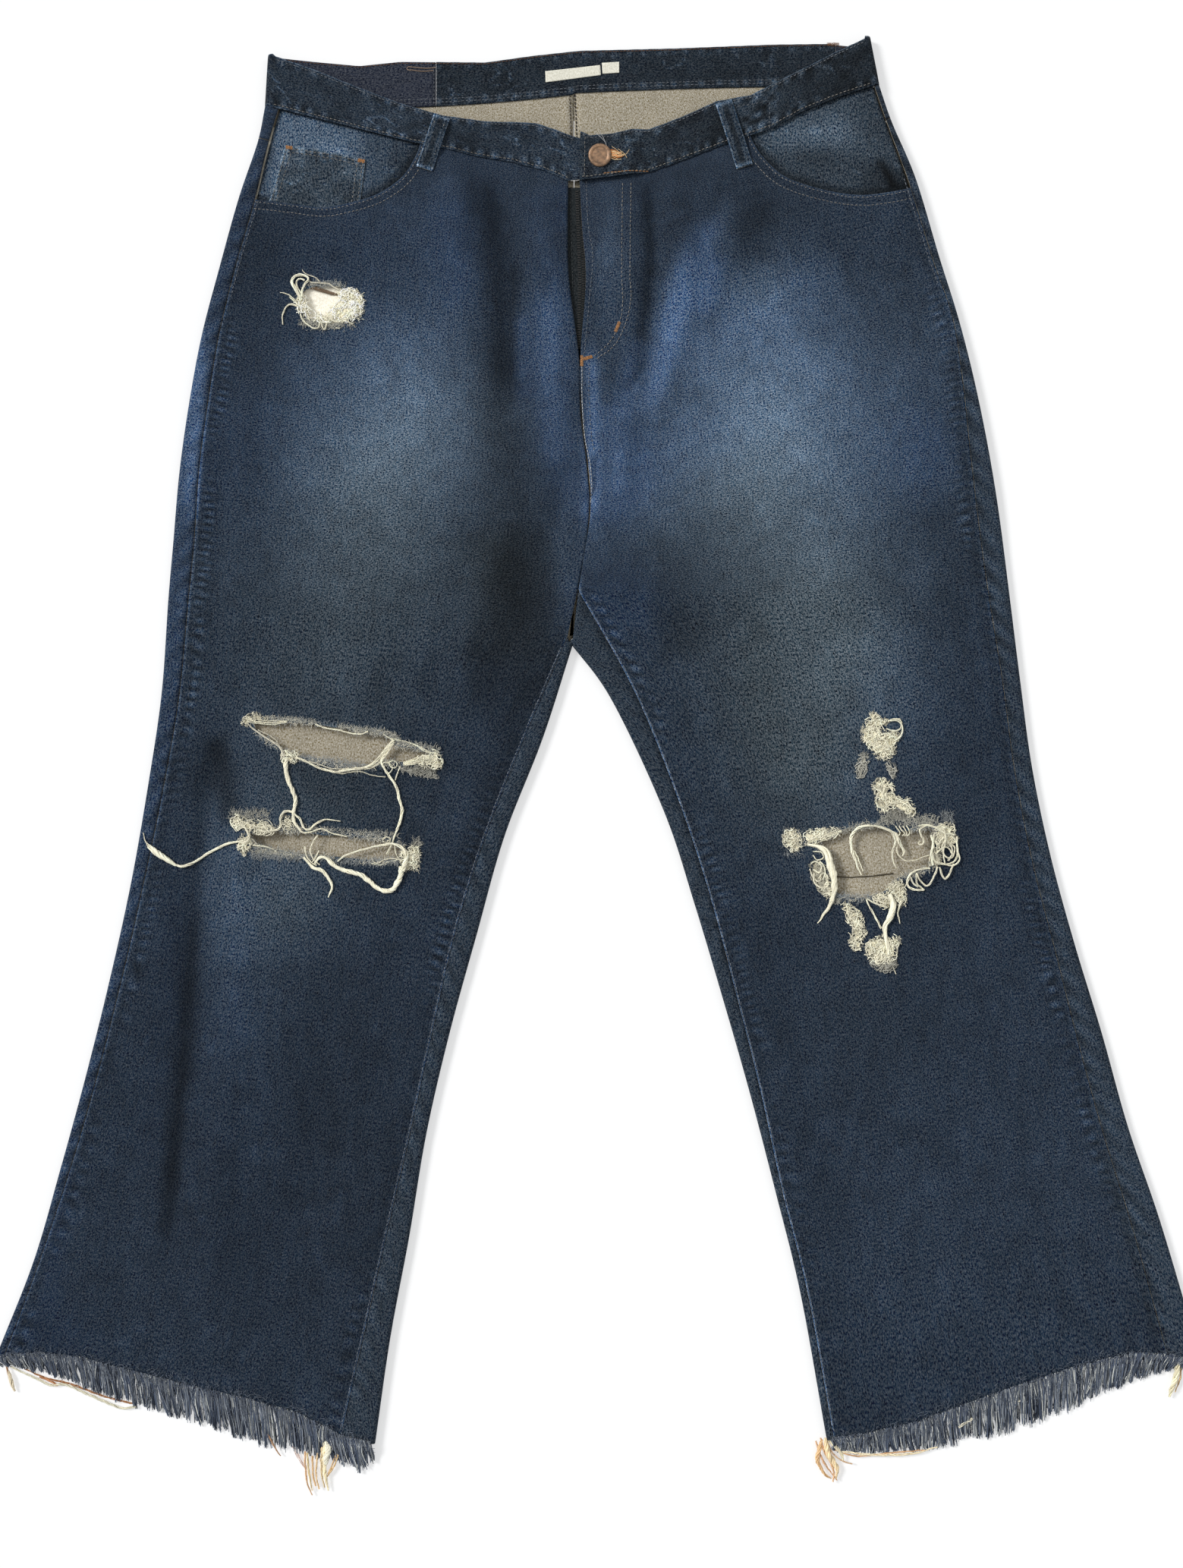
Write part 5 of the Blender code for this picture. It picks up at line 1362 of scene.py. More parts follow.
def facing_rows(leg, mouth, depth, below):
    """The facing that fills a pocket mouth, from the waist seam to below the mouth's edge."""
    mouth = np.asarray(mouth, float)
    normal = unit(np.stack([np.gradient(mouth[:, 1]), -np.gradient(mouth[:, 0])], -1))
    normal *= np.where(normal[:, 1:2] > 0, -1, 1)
    lower = mouth + normal * below
    s_end, _ = leg.locate(np.array([lower[-1][0]]), np.array([lower[-1][1]]))
    edge = leg.outer(s_end) + unit(leg.front_inner(s_end) - leg.outer(s_end)) * (leg.wrap(s_end)[:, None] + GAP)
    lower[-1] = edge[0]
    k = np.linspace(0, 1, 9)
    low = along(lower, k)
    s_top = -0.05
    x_inner = low[0, 0]
    p_grid = np.linspace(0, 1, 200)
    row0 = leg.row(0.0, p_grid)
    p_inner = float(np.interp(x_inner, *((row0[:, 0], p_grid) if leg.side < 0 else (row0[::-1, 0], p_grid[::-1]))))
    p_outer = float((leg.wrap(0.0) + GAP) / leg.span(0.0))
    top_row = leg.row(np.full(9, s_top), p_inner + (p_outer - p_inner) * k)
    low[0] = low[0] * 0.5 + top_row[0] * 0.5
    steps = (0.0, 0.3, 0.6, 0.85, 1.0)
    rows = np.array([top_row + (low - top_row) * v for v in steps])
    for r, v in enumerate(steps):
        s = s_top + (float(s_end[0]) - s_top) * v
        e = leg.row(np.array([s]), np.array([(leg.wrap(s) + GAP) / leg.span(s)]))[0]
        rows[r] += (e - rows[r, -1]) * (k[:, None] ** 4)
    rows = finer(rows, 34, 50)
    z = top(rows[..., 0], rows[..., 1]) - CLOTH / 2 - depth
    return np.concatenate([rows, z[..., None]], axis=-1)


def sheet_piece(name, rows, thickness, mats, level=None, blue=None, cad=None, uv_turn=0.0, flip=False,
                inside=1):
    """A sheet through a fine grid of points, facing up."""
    rows = np.asarray(rows, float)
    nr, nc = rows.shape[:2]
    i, j = nr // 2, nc // 2
    a, b = rows[i + 1, j] - rows[i, j], rows[i, j + 1] - rows[i, j]
    up = np.cross(b[:2], a[:2])
    faces = grid_faces(nr, nc, flip=(up < 0) == flip)
    flat = rows.reshape(-1, 3)
    c, s = math.cos(uv_turn), math.sin(uv_turn)
    uv = np.stack([flat[:, 0] * c + flat[:, 1] * s, -flat[:, 0] * s + flat[:, 1] * c], -1)
    dye_and_shade = None
    if level is not None:
        level = np.broadcast_to(level, rows.shape[:2]).ravel()
        blue = np.broadcast_to(blue, rows.shape[:2]).ravel()
        dye_and_shade = colour_of(level, blue)
    ob = add_object(name, flat, faces, mats, dye_and_shade, uv)
    thicken(ob, thickness, inside if len(mats) > 1 else 0)
    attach(ob, "root")
    if cad:
        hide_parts(*([cad] if isinstance(cad, str) else cad))
    PIECES[name] = ob
    return ob


for name, leg, mouth, depth in (("facing_right", RIGHT, RIGHT_MOUTH, 2.3), ("facing_left", LEFT, LEFT_MOUTH, 1.5)):
    rows = facing_rows(leg, mouth, depth, 9.0)
    x, y = rows[..., 0], rows[..., 1]
    edge, _ = to_line(x, y, mouth)
    if leg is RIGHT:
        level = 84 - 34 * step((x + 205) / 70) + 6 * noise(x, y, 18, 61) + 4 * noise(x, y, 7, 62)
        level = level + 36 * wisps(x, y, 16.0, 0.4, 63) + 30 * wisps(x, y, 11.0, 1.3, 66) + 6
        level = level + 24 * np.exp(-(((x + 195) / 18) ** 2 + ((y - 440) / 5) ** 2))
        level = level - 22 * np.exp(-((x - np.interp(y, (407, 450), (-247, -240))) / 4.0) ** 2)
        blue = np.full(x.shape, 0.42)
    else:
        level = 60 + 30 * np.exp(-(((x - 160) / 28) ** 2 + ((y - 454) / 15) ** 2)) + 8 * noise(x, y, 22, 64) 
        level = level - 22 * step((x - 178) / 26) * step((444 - y) / 20) + 30 * wisps(x, y, 18.0, -0.5, 65) + 24 * wisps(x, y, 12.0, 1.0, 67)
        level = level - 16 * np.exp(-(((x - 158) / 26) ** 2 + ((y - 440) / 9) ** 2))
        level = level - 26 * np.exp(-(to_line(x, y, px((1160, 215), (1168, 228), (1176, 244)))[0] / 3.0) ** 2)
        blue = np.full(x.shape, 0.25)
    # painted shade near the mouth's edge, where the front lies over the facing
    level = level * (1 - 0.42 * np.exp(-(edge / 5.0) ** 2))
    sheet_piece(name, rows, 1.1, [denim, wrong], level, blue, cad=name)

coin = finer([[COIN[0], COIN[1]], [COIN[3], COIN[2]]], 44, 50)
u = np.linspace(0, 1, 50)[None]
coin[..., 1] += 1.5 * np.sin(u * math.pi) * (1 - np.linspace(0, 1, 44)[:, None])
x, y = coin[..., 0], coin[..., 1]
edges = np.minimum(np.minimum(u, 1 - u) * 58, np.linspace(0, 1, 44)[:, None] * 48)
z = top(x, y) - CLOTH / 2 - 2.3 + 1.1 + 0.18 * np.sin(y / 1.6 + 2 * noise(x, y, 12, 5)) * np.exp(-(edges / 6) ** 2)
ticks = np.maximum(np.sin(x / 1.25 + 2.0 * noise(x, y, 9.0, 67)), 0) * np.exp(-((edges - 2.6) / 1.8) ** 2)
level = 54 + 8 * noise(x, y, 16, 65) + 9 * noise(x, y, 5, 66) + 5 + 50 * np.exp(-(edges / 1.2) ** 2) + 46 * ticks
level = level + 20 * np.exp(-(((x + 224) / 9) ** 2 + ((y - 436) / 7) ** 2)) + 22 * np.exp(-(((x + 182) / 12) ** 2 + ((y - 428) / 9) ** 2))
level = level + 40 * wisps(x, y, 14.0, 1.0, 68) + 34 * wisps(x, y, 9.0, 0.1, 71)
sheet_piece("coin_pocket", np.concatenate([coin, z[..., None]], -1), LINING, [denim, wrong], level,
            np.full(x.shape, 0.22), cad="coin_pocket", uv_turn=0.15)

bag = finer([[POCKET_BAG[0], POCKET_BAG[1]], [POCKET_BAG[3], POCKET_BAG[2]]], 40, 40)
x, y = bag[..., 0], bag[..., 1]
z = top(x, y) - CLOTH / 2 - 4.3 + 1.9 * np.exp(-(((x + 199) ** 2 + (y - 333) ** 2) / 34.0 ** 2) ** 2)
z = z + 0.4 * noise(x, y, 14, 71) + 0.35 * noise(x, y, 6, 72)
z = np.maximum(z, 1.2 + lift(y) + 0.6)
sheet_piece("pocket_bag_right", np.concatenate([bag, z[..., None]], -1), 0.6, [bagging],
            cad="pocket_bag_right")

# ---- fly and zip -------------------------------------------------------------------------------------

down = np.linspace(0, 1, 60)


def ruled(left, right, n, height):
    a, b = along(left, down), along(right, down)
    rows = np.array([[p + (q - p) * k for k in np.linspace(0, 1, n)] for p, q in zip(a, b)])
    x, y = rows[..., 0], rows[..., 1]
    return np.concatenate([rows, height(x, y)[..., None]], -1)


sheet_piece("fly_shield", ruled(SHIELD_LEFT, SHIELD_RIGHT, 20, lambda x, y: 3.9 + 0 * x), LINING, [denim, wrong], 44.0, 0.3,
            cad="fly_shield")
sheet_piece("zip_tape", ruled(ZIP_LEFT, ZIP_RIGHT, 16, lambda x, y: top(x, y) - CLOTH - 1.2), LINING * 0.6, [tape],
            cad="zip_tape")

# ---- waistband ---------------------------------------------------------------------------------------

SHARES_FINE = np.linspace(0.0, 1.0, 96)


BASE_SHARES = np.linspace(0.02, 1.0, 180)
BAND_BASE = {}
for leg in (RIGHT, LEFT):
    wrap0 = float(leg.wrap(0.0) / leg.span(0.0))
    BAND_BASE[leg.side] = scene_height(leg, np.zeros(180), np.clip((BASE_SHARES - wrap0) / (1 - wrap0), 0, 1),
                                       leg.row(np.zeros(180), BASE_SHARES))


def band_line(leg, v, p):
    """Plan points of a front band, v of the way up it and p of the way across the front."""
    v, p = np.broadcast_arrays(np.asarray(v, float), np.asarray(p, float))
    low = leg.row(np.zeros(p.shape), p)
    hidden = np.interp(low[..., 0], (-21.9, -13.0, 12.0), (420.6, 422.0, 425.0))
    low[..., 1] = np.where(p > 1, hidden, low[..., 1]) + GAP + 0.1
    table = RIGHT_BAND_TOP if leg is RIGHT else LEFT_BAND_TOP
    high = np.stack([lookup(table, p, 1), lookup(table, p, 2)], -1)
    return low * (1 - v[..., None]) + high * v[..., None]


def band_height(leg, v, p, x):
    """Middle of the front band's cloth: its lower edge lies on the fronts' waist edge."""
    low = np.interp(p, BASE_SHARES, BAND_BASE[leg.side]) + 0.5 * CLOTH + 0.4
    side = np.exp(-((p * float(leg.span(0.0))) / 26.0) ** 2)
    high = 7.4 * (1 - side) + (LIFT + BAND_FOLD - BAND / 2) * side
    z = low * (1 - v) ** 1.3 + high * (1 - (1 - v) ** 1.3)
    if leg is LEFT:
        z = z + 2.6 * step((36.0 - x) / 16.0)
    return z


def band_piece(leg, name, back_to, shares, cad):
    levels = np.linspace(0, 1, 30)
    radius, centre = (BAND_FOLD - BAND) / 2, BAND_FOLD / 2
    inward_x = np.array([-leg.side, 0.0])
    shares = shares[shares * float(leg.span(0.0)) >= centre]
    rows = []
    for v in levels:
        c = band_line(leg, v, 0.0) + inward_x * centre
        shift = float(band_height(leg, v, 0.0, c[0])) - (LIFT + BAND_FOLD - BAND / 2)
        xy = band_line(leg, np.full(shares.shape, v), shares)
        pts = [(q[0], q[1], z) for q, z in zip(xy, band_height(leg, v, shares, xy[:, 0]))]
        pts.append((c[0], c[1], LIFT + BAND_FOLD - BAND / 2 + shift * 0.5))
        for a in ARC:
            q = c - inward_x * radius * math.cos(a)
            pts.append((q[0], q[1], LIFT + centre + radius * math.sin(a) + max(shift, 0) * 0.5 * (math.sin(a) + 1) / 2))
        for k in np.linspace(0.04, 1.0, 30):
            x = c[0] + (back_to - c[0]) * k
            low, high = back_bottom(x), back_top(x)
            pts.append((x, low + (high - low) * v, BACK_BAND_MID))
        rows.append(pts)
    rows = np.array(rows)
    run = np.concatenate([[0], np.cumsum(np.linalg.norm(np.diff(rows[15], axis=0), axis=-1))])
    edge_low = levels[:, None] * 36.0
    edge_high = (1 - levels[:, None]) * 36.0
    n_front = rows.shape[1] - 31
    front = (np.arange(rows.shape[1]) < n_front)[None] * 1.0
    wave = np.sin(run[None] / 1.7 + 2.2 * noise(run[None], 0 * run[None], 22.0, 81 + leg.side))
    wave2 = np.sin(run[None] / 2.1 + 2.2 * noise(run[None], 0 * run[None], 19.0, 84 + leg.side))
    rows[..., 2] += front * (0.32 * wave * np.exp(-((edge_low - 3) / 5.0) ** 2) + 0.28 * wave2 * np.exp(-((edge_high - 3) / 5.0) ** 2)
                             + 0.5 * noise(run[None] + 0 * edge_low, edge_low, 17.0, 86) * np.sin(levels[:, None] * math.pi))
    # rounded edges
    rows[..., 2] -= front * 0.7 * (np.exp(-(edge_high / 1.2) ** 2) + 0.6 * np.exp(-(edge_low / 1.0) ** 2))
    R_, E_ = np.broadcast_arrays(run[None], edge_low)
    level = (46 if leg is RIGHT else 37) + 7 * noise(R_, E_, 26.0, 87) + 6 * noise(R_, E_, 9.0, 88)
    rub_low = np.maximum(wave, -0.3) * np.exp(-((edge_low - 3.5) / 3.2) ** 2)
    rub_high = np.maximum(wave2, -0.3) * np.exp(-((edge_high - 3.0) / 2.8) ** 2)
    level = level + 40 * rub_low * (0.6 + 0.6 * noise(R_, 0 * E_, 31.0, 89)) + 32 * rub_high * (0.6 + 0.6 * noise(R_, 0 * E_, 27.0, 90))
    level = level + 44 * wisps(R_, E_, 15.0, 0.7, 91 + leg.side) + 38 * wisps(R_, E_, 13.0, -1.0, 94 + leg.side) + 3 * noise(R_, E_, 3.4, 101)
    level = level + 26 * wisps(R_, E_, 8.0, 0.2, 97 + leg.side)
    if leg is LEFT:
        near_loop = np.exp(-(((rows[..., 0] - 118) / 16) ** 2 + ((rows[..., 1] - 470) / 18) ** 2))
        level = level + near_loop * (22 + 34 * noise(R_, E_, 5.0, 99))
        level = level - 4 * step((rows[..., 0] - 136) / 20)
        level = level + 5 * step((60 - rows[..., 0]) / 30)
    level = level + 40 * np.exp(-(edge_high / 0.9) ** 2) + 30 * np.exp(-(edge_low / 0.9) ** 2)
    # painted shade in lines along the stitch rows
    level = level * (1 - 0.16 * np.exp(-((edge_low - 1.9) / 0.8) ** 2) - 0.16 * np.exp(-((edge_high - 1.9) / 0.8) ** 2))
    level = np.maximum(level, 20)
    up_flip = leg.side < 0
    nr, nc = rows.shape[:2]
    faces = grid_faces(nr, nc, flip=not up_flip)
    flat = rows.reshape(-1, 3)
    uv = np.stack([np.broadcast_to(edge_low, (nr, nc)), np.broadcast_to(run[None], (nr, nc))], -1).reshape(-1, 2)
    ob = add_object(name, flat, faces, [denim, wrong_dark], colour_of(level.ravel(), np.full(level.size, 0.45 if leg is RIGHT else 0.30)), uv)
    thicken(ob, BAND, 1)
    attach(ob, "root")
    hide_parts(cad)
    PIECES[name] = ob
    return ob


band_piece(RIGHT, "waistband_right", BAND_JOIN_RIGHT, np.linspace(1.15, 0.0, 140), "waistband_right")
band_piece(LEFT, "waistband_left", BAND_JOIN_LEFT, np.linspace(1.0, 0.0, 135), "waistband_left")

xs = np.linspace(BAND_JOIN_RIGHT + GAP, BAND_JOIN_LEFT - GAP, 180)
vs = np.linspace(0, 1, 30)
rows = np.array([[(x, back_bottom(x) * (1 - v) + back_top(x) * v,
                   BACK_BAND_MID + 0.18 * math.sin(x / 1.9) * (math.exp(-(v * 36 / 5) ** 2) + math.exp(-((1 - v) * 36 / 5) ** 2))
                   - 0.6 * math.exp(-((1 - v) * 36 / 1.3) ** 2)) for x in xs] for v in vs])
x, y = rows[..., 0], rows[..., 1]
deep = vs[:, None] * 36
level = 39 + 5 * noise(x, y, 22, 91) + 4 * noise(x, y, 5, 92) + 34 * wisps(x, y, 15.0, 1.2, 93) + 28 * wisps(x, y, 12.0, 0.4, 94)
ticks = np.maximum(np.sin(x / 1.7 + 2.2 * noise(x, 0 * y, 20.0, 95)), 0)
level = level + 34 * ticks * (np.exp(-((deep - 4) / 2.6) ** 2) + 0.6 * np.exp(-((36 - deep - 3.5) / 2.2) ** 2))
level = level + 16 * np.exp(-((36 - deep) / 1.0) ** 2) + 12 * np.exp(-(deep / 1.0) ** 2)
sheet_piece("waistband_back", rows, BAND, [denim, denim], level, 0.35, cad="waistband_back", uv_turn=math.pi / 2)

# ---- back pockets and loops (underneath) -------------------------------------------------------------

for name, x in BACK_POCKETS:
    half, high = BACK_POCKET_WIDTH / 2, BACK_POCKET_TOP
    v = np.linspace(0, 1, 40)
    rows = []
    for k in v:
        yy = high - BACK_POCKET_POINT * k
        w = half - 6 * min(k * BACK_POCKET_POINT / BACK_POCKET_SIDE, 1)
        rows.append([(x + w * c, yy + (20 * k) * abs(c) ** 1.2, 0.6) for c in np.linspace(-1, 1, 40)])
    rows = np.array(rows)
    lv = 50 + 5 * noise(rows[..., 0], rows[..., 1], 18, 93)
    sheet_piece(name, rows, CLOTH, [denim, wrong], lv, 0.45, cad=name, flip=True)

loop_level = 50


def loop_rows(x0, y0, x1, y1, base, n=40, m=9):
    d = unit(np.array([x1 - x0, y1 - y0]))
    nrm = np.array([-d[1], d[0]]) * LOOP_WIDTH / 2
    rows = []
    for k in np.linspace(0, 1, n):
        q = np.array([x0 + (x1 - x0) * k, y0 + (y1 - y0) * k])
        z = base(q, k)
        rows.append([(*(q + nrm * w), z - 0.5 * abs(w) ** 4) for w in np.linspace(-1, 1, m)])
    return np.array(rows)


def band_top_z(leg, q):
    return 9.6


for name, x0, y0, x1, y1 in LOOPS:
    leg = RIGHT if x0 < 0 else LEFT
    d = unit(np.array([x1 - x0, y1 - y0]))
    length = math.hypot(x1 - x0, y1 - y0)

    def base(q, k, leg=leg):
        pts = np.array([q])
        low = float(top(pts[:, 0], pts[:, 1])[0])
        row = leg.row(0.0, np.linspace(0, 1, 120))
        edge_y = float(np.interp(q[0], *((row[:, 0], row[:, 1]) if leg.side < 0 else (row[::-1, 0], row[::-1, 1]))))
        i = int(np.argmin(np.abs(row[:, 0] - q[0])))
        p = i / 119.0
        v = min(max((q[1] - edge_y) / 38.0, 0.0), 1.0)
        on_band = float(band_height(leg, v, p, q[0])) + BAND / 2
        z = on_band if q[1] > edge_y - 2 else low + (on_band - low) * math.exp(-((edge_y - 2 - q[1]) / 4.0) ** 2)
        return z + 0.9 + 0.9 * math.sin(math.pi * min(max(k, 0), 1)) ** 0.7

    rows = loop_rows(x0, y0, x1, y1, base)
    w = np.linspace(-1, 1, 9)[None]
    k = np.linspace(0, 1, 40)[:, None]
    lv = 40 + 8 * noise(rows[..., 0], rows[..., 1], 5, 95) + 62 * np.abs(w) ** 6 + 26 * np.exp(-((np.abs(w) - 0.45) / 0.12) ** 2)
    lv = lv + 50 * np.exp(-((k - 0.03) / 0.03) ** 2) + 50 * np.exp(-((k - 0.97) / 0.03) ** 2)
    sheet_piece(name, rows, CLOTH * 1.2, [denim, wrong], lv, 0.35, cad=name)

for name, x in BACK_LOOPS:
    high = back_top(x) - 1.5
    rows = np.array([[(x + LOOP_WIDTH / 2 * w, high - LOOP_LENGTH * k, 0.6) for w in np.linspace(-1, 1, 7)]
                     for k in np.linspace(0, 1, 24)])
    sheet_piece(name, rows, CLOTH, [denim, wrong], 52.0, 0.4, cad=name, flip=True)

# ---- labels, blank -----------------------------------------------------------------------------------

for name, corners in (("label_main", LABEL_MAIN), ("label_size", LABEL_SIZE)):
    a, b, c, d = corners
    rows = finer([[a, b], [d, c]], 14, 40)
    z = BACK_BAND_MID + BAND / 2 + 0.45 + 0.15 * noise(rows[..., 0], rows[..., 1], 6.0, 97)
    sheet_piece(name, np.concatenate([rows, z[..., None]], -1), 0.35, [woven], cad=name)

# ---- button ------------------------------------------------------------------------------------------

BX, BY = px((790.5, 207.5))[0]
lap_z = 12.6
R = BUTTON_RADIUS
profile = [(0.0, 0.15), (0.25, 0.15), (0.45, 0.1), (0.6, 0.0), (0.66, 0.02), (0.71, 0.35), (0.76, 0.5), (0.84, 0.55),
           (0.92, 0.42), (0.98, 0.1), (1.0, -0.35), (0.98, -0.8), (0.9, -1.0), (0.3, -1.05), (0.28, -3.4), (0.0, -3.4)]
n = 64
ang = np.arange(n) * 2 * math.pi / n
verts = []
for r, z in profile:
    for a in ang:
        verts.append((BX + R * r * math.cos(a), BY + R * r * math.sin(a), lap_z + z * 1.3))
faces = []
for i in range(len(profile) - 1):
    for j in range(n):
        faces.append([i * n + j, (i + 1) * n + j, (i + 1) * n + (j + 1) % n, i * n + (j + 1) % n])
ob = add_object("button", np.array(verts), faces, [copper])
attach(ob, "root")
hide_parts("button")
PIECES["button"] = ob

# ---- stitches ----------------------------------------------------------------------------------------

TAN = linear(134, 130, 124)
GREY_THREAD = linear(112, 116, 122)
PALE_THREAD = linear(176, 178, 178)
ORANGE = linear(172, 126, 84)
DARK_THREAD = linear(52, 46, 44)
CREAM = linear(255, 249, 224)


def stitch_row(out, path, colour, height=None, pitch=3.1, length=2.3, radius=0.32, spread=0.12):
    """Stitches along a plan path, pressed into the cloth at their ends."""
    path = np.asarray(path, float)
    total = float(np.sum(np.hypot(*np.diff(path[:, :2], axis=0).T)))
    n = max(int(total / pitch), 1)
    mids = (np.arange(n) + 0.5) / n
    half = length / 2 / total
    ks = np.stack([mids - half, mids - half * 0.4, mids + half * 0.4, mids + half], -1)
    pts = along(path, np.clip(ks, 0, 1).ravel())
    if path.shape[1] == 2:
        z = height(pts[:, 0], pts[:, 1])
        pts = np.concatenate([pts, z[:, None]], -1)
    pts = pts.reshape(n, 4, 3)
    pts[:, :, :2] += RNG.normal(0, 0.07, (n, 1, 2))
    pts[:, 0, 2] -= 0.18
    pts[:, 3, 2] -= 0.18
    pts[:, 1:3, 2] += 0.22
    radii = np.tile(np.array([0.45, 1.0, 1.0, 0.45]) * radius, (n, 1))
    cols = np.clip(colour[None] * (1 + RNG.normal(0, spread, (n, 1))), 0, 1)
    out.add(pts, radii, cols, sides=5)


def bar(out, a, b, width, colour, height, pitch=0.55, radius=0.3):
    """A bartack: close stitches across a short line."""
    a, b = np.asarray(a, float), np.asarray(b, float)
    d = b - a
    length = float(np.hypot(*d))
    u = d / length
    nrm = np.array([-u[1], u[0]]) * width / 2
    n = int(length / pitch)
    mids = a + d * ((np.arange(n) + 0.5) / n)[:, None]
    ends = np.stack([mids - nrm, mids - nrm * 0.4, mids + nrm * 0.4, mids + nrm], axis=1)
    ends += RNG.normal(0, 0.08, ends.shape)
    z = height(ends[..., 0].ravel(), ends[..., 1].ravel()).reshape(n, 4)
    z[:, 1:3] += 0.35
    z += 0.1
    pts = np.concatenate([ends, z[..., None]], -1)
    radii = np.full((n, 4), radius)
    cols = np.clip(colour[None] * (1 + RNG.normal(0, 0.1, (n, 1))), 0, 1)
    out.add(pts, radii, cols, sides=5)


def beside(path, offset):
    """A path moved sideways."""
    path = np.asarray(path, float)
    d = np.gradient(path, axis=0)
    d /= np.maximum(np.hypot(d[:, 0], d[:, 1])[:, None], 1e-9)
    return path + np.stack([-d[:, 1], d[:, 0]], -1) * offset


threads = Bundle()

# fly: two rows of the J, the flap's edge, the seam below
J_OUTER = curve(fly((672, 178), (670, 300), (669, 420), (668, 540), (671, 630), (650, 720), (610, 800), (540, 855)), 60)
J_INNER = curve(fly((640, 178), (638, 300), (637, 420), (637, 540), (640, 650), (625, 720), (590, 790), (530, 845)), 60)
stitch_row(threads, J_OUTER, TAN, top, 3.0, 2.3, 0.3)
stitch_row(threads, J_INNER, TAN, top, 3.0, 2.3, 0.3)
FLAP = curve(fly((490, 170), (497, 330), (515, 460), (505, 600), (490, 760), (478, 870)), 50)
stitch_row(threads, beside(FLAP, 2.0), GREY_THREAD, top, 3.0, 2.2, 0.28)
CF = curve(fly((480, 870), (480, 1000), (490, 1150), (510, 1250), (517, 1340), (512, 1400)), 40)
stitch_row(threads, beside(CF, 1.0), PALE_THREAD, top, 2.4, 2.3, 0.34, 0.18)
stitch_row(threads, beside(CF, 6.0)[:26], GREY_THREAD, top, 3.0, 2.2, 0.28)
bar(threads, fly((482, 858))[0], fly((524, 846))[0], 2.2, ORANGE, top)
bar(threads, fly((484, 884))[0], fly((484, 842))[0], 2.0, ORANGE, top)
bar(threads, fly((612, 750))[0], fly((628, 712))[0], 2.2, ORANGE, top)

# pocket mouths: a row at the edge and one further out
for leg, mouth, gap2 in ((RIGHT, RIGHT_MOUTH, 6.6), (LEFT, LEFT_MOUTH, 7.6)):
    path = curve(mouth, 60)
    sign = 1 if beside(path, 1.0)[30, 1] < path[30, 1] else -1
    stitch_row(threads, beside(path, sign * 1.8), TAN, top, 3.0, 2.2, 0.3)
    stitch_row(threads, beside(path, sign * gap2), TAN, top, 3.0, 2.2, 0.3)

# inseams: on the front, beside the seam
for leg in (RIGHT, LEFT):
    s = np.linspace(8.1, 15.95, 140)
    length = leg.span(s) - leg.wrap(s)
    t = 1 - 1.3 / length
    q = leg.row(s, leg.front_share(s, t))
    stitch_row(threads, q, GREY_THREAD, top, 3.0, 2.4, 0.27, 0.2)
    s = np.linspace(-0.02, 3.4, 60)
    length = leg.span(s) - leg.wrap(s)
    q = leg.row(s, leg.front_share(s, 2.2 / length))
    keepers = s > (1.9 if leg is RIGHT else 1.95)
    stitch_row(threads, q[keepers], GREY_THREAD, top, 3.1, 2.2, 0.28)

# coin pocket
ca, cb, cc, cd = [np.array(c, float) for c in COIN]


def coin_top(x, y):
    return top(x, y) - CLOTH / 2 - 2.3 + 1.1 + LINING / 2


coin_ring = [cb, cc, cd, ca]
for inset in (1.6, 5.0):
    cx = sum(coin_ring) / 4
    pts = [c + unit(cx - c) * inset * 1.4 for c in coin_ring]
    stitch_row(threads, np.array([pts[0], pts[1]]), TAN, coin_top, 3.0, 2.2, 0.28)
    stitch_row(threads, np.array([pts[1], pts[2]]), TAN, coin_top, 3.0, 2.2, 0.28)
    stitch_row(threads, np.array([pts[2], pts[3]]), TAN, coin_top, 3.0, 2.2, 0.28)
for yoff in (2.0, 4.6):
    a, b = ca + np.array([1.5, -yoff]), cb + np.array([-1.5, -yoff])
    stitch_row(threads, curve([a, (a + b) / 2 + np.array([0, 1.4]), b], 20), TAN, coin_top, 3.0, 2.2, 0.28)
bar(threads, ca + (0.5, -1), ca + (5.5, -1.8), 2.4, ORANGE, coin_top)
bar(threads, cb + (-5.5, -0.2), cb + (-0.5, -1.2), 2.4, ORANGE, coin_top)


def draped(ob, rise):
    """Height of a piece's cloth at plan points, felt from above."""
    co = np.zeros(len(ob.data.vertices) * 3)
    ob.data.vertices.foreach_get("co", co)
    co = co.reshape(-1, 3) / MM + np.array([ORIGIN[0], ORIGIN[1], 0.0])
    tree = BVHTree.FromPolygons(co.tolist(), [tuple(f.vertices) for f in ob.data.polygons])

    def height(x, y):
        out = np.zeros(len(x))
        for i in range(len(x)):
            hit = tree.ray_cast((float(x[i]), float(y[i]), 60.0), (0.0, 0.0, -1.0))
            if hit[0] is None:
                hit = tree.find_nearest((float(x[i]), float(y[i]), 9.0))
            out[i] = hit[0][2] + rise
        return out

    return height


BAND_Z = {id(RIGHT): draped(PIECES["waistband_right"], BAND / 2), id(LEFT): draped(PIECES["waistband_left"], BAND / 2)}
for leg in (RIGHT, LEFT):
    for v, colour in ((0.055, TAN), (0.945, GREY_THREAD)):
        p = np.linspace(0.03, 0.995 if leg is LEFT else 1.0, 90)
        stitch_row(threads, band_line(leg, v, p), colour, BAND_Z[id(leg)], 3.0, 2.2, 0.3)
# heavier stitch at the fly end of the left band, its front end
stitch_row(threads, curve(px((795, 231), (825, 228), (855, 226)), 20), ORANGE * 0.9, BAND_Z[id(LEFT)], 2.5, 2.3, 0.40)
stitch_row(threads, band_line(LEFT, np.linspace(0.06, 0.94, 20), 0.985), TAN, BAND_Z[id(LEFT)], 3.0, 2.2, 0.3)
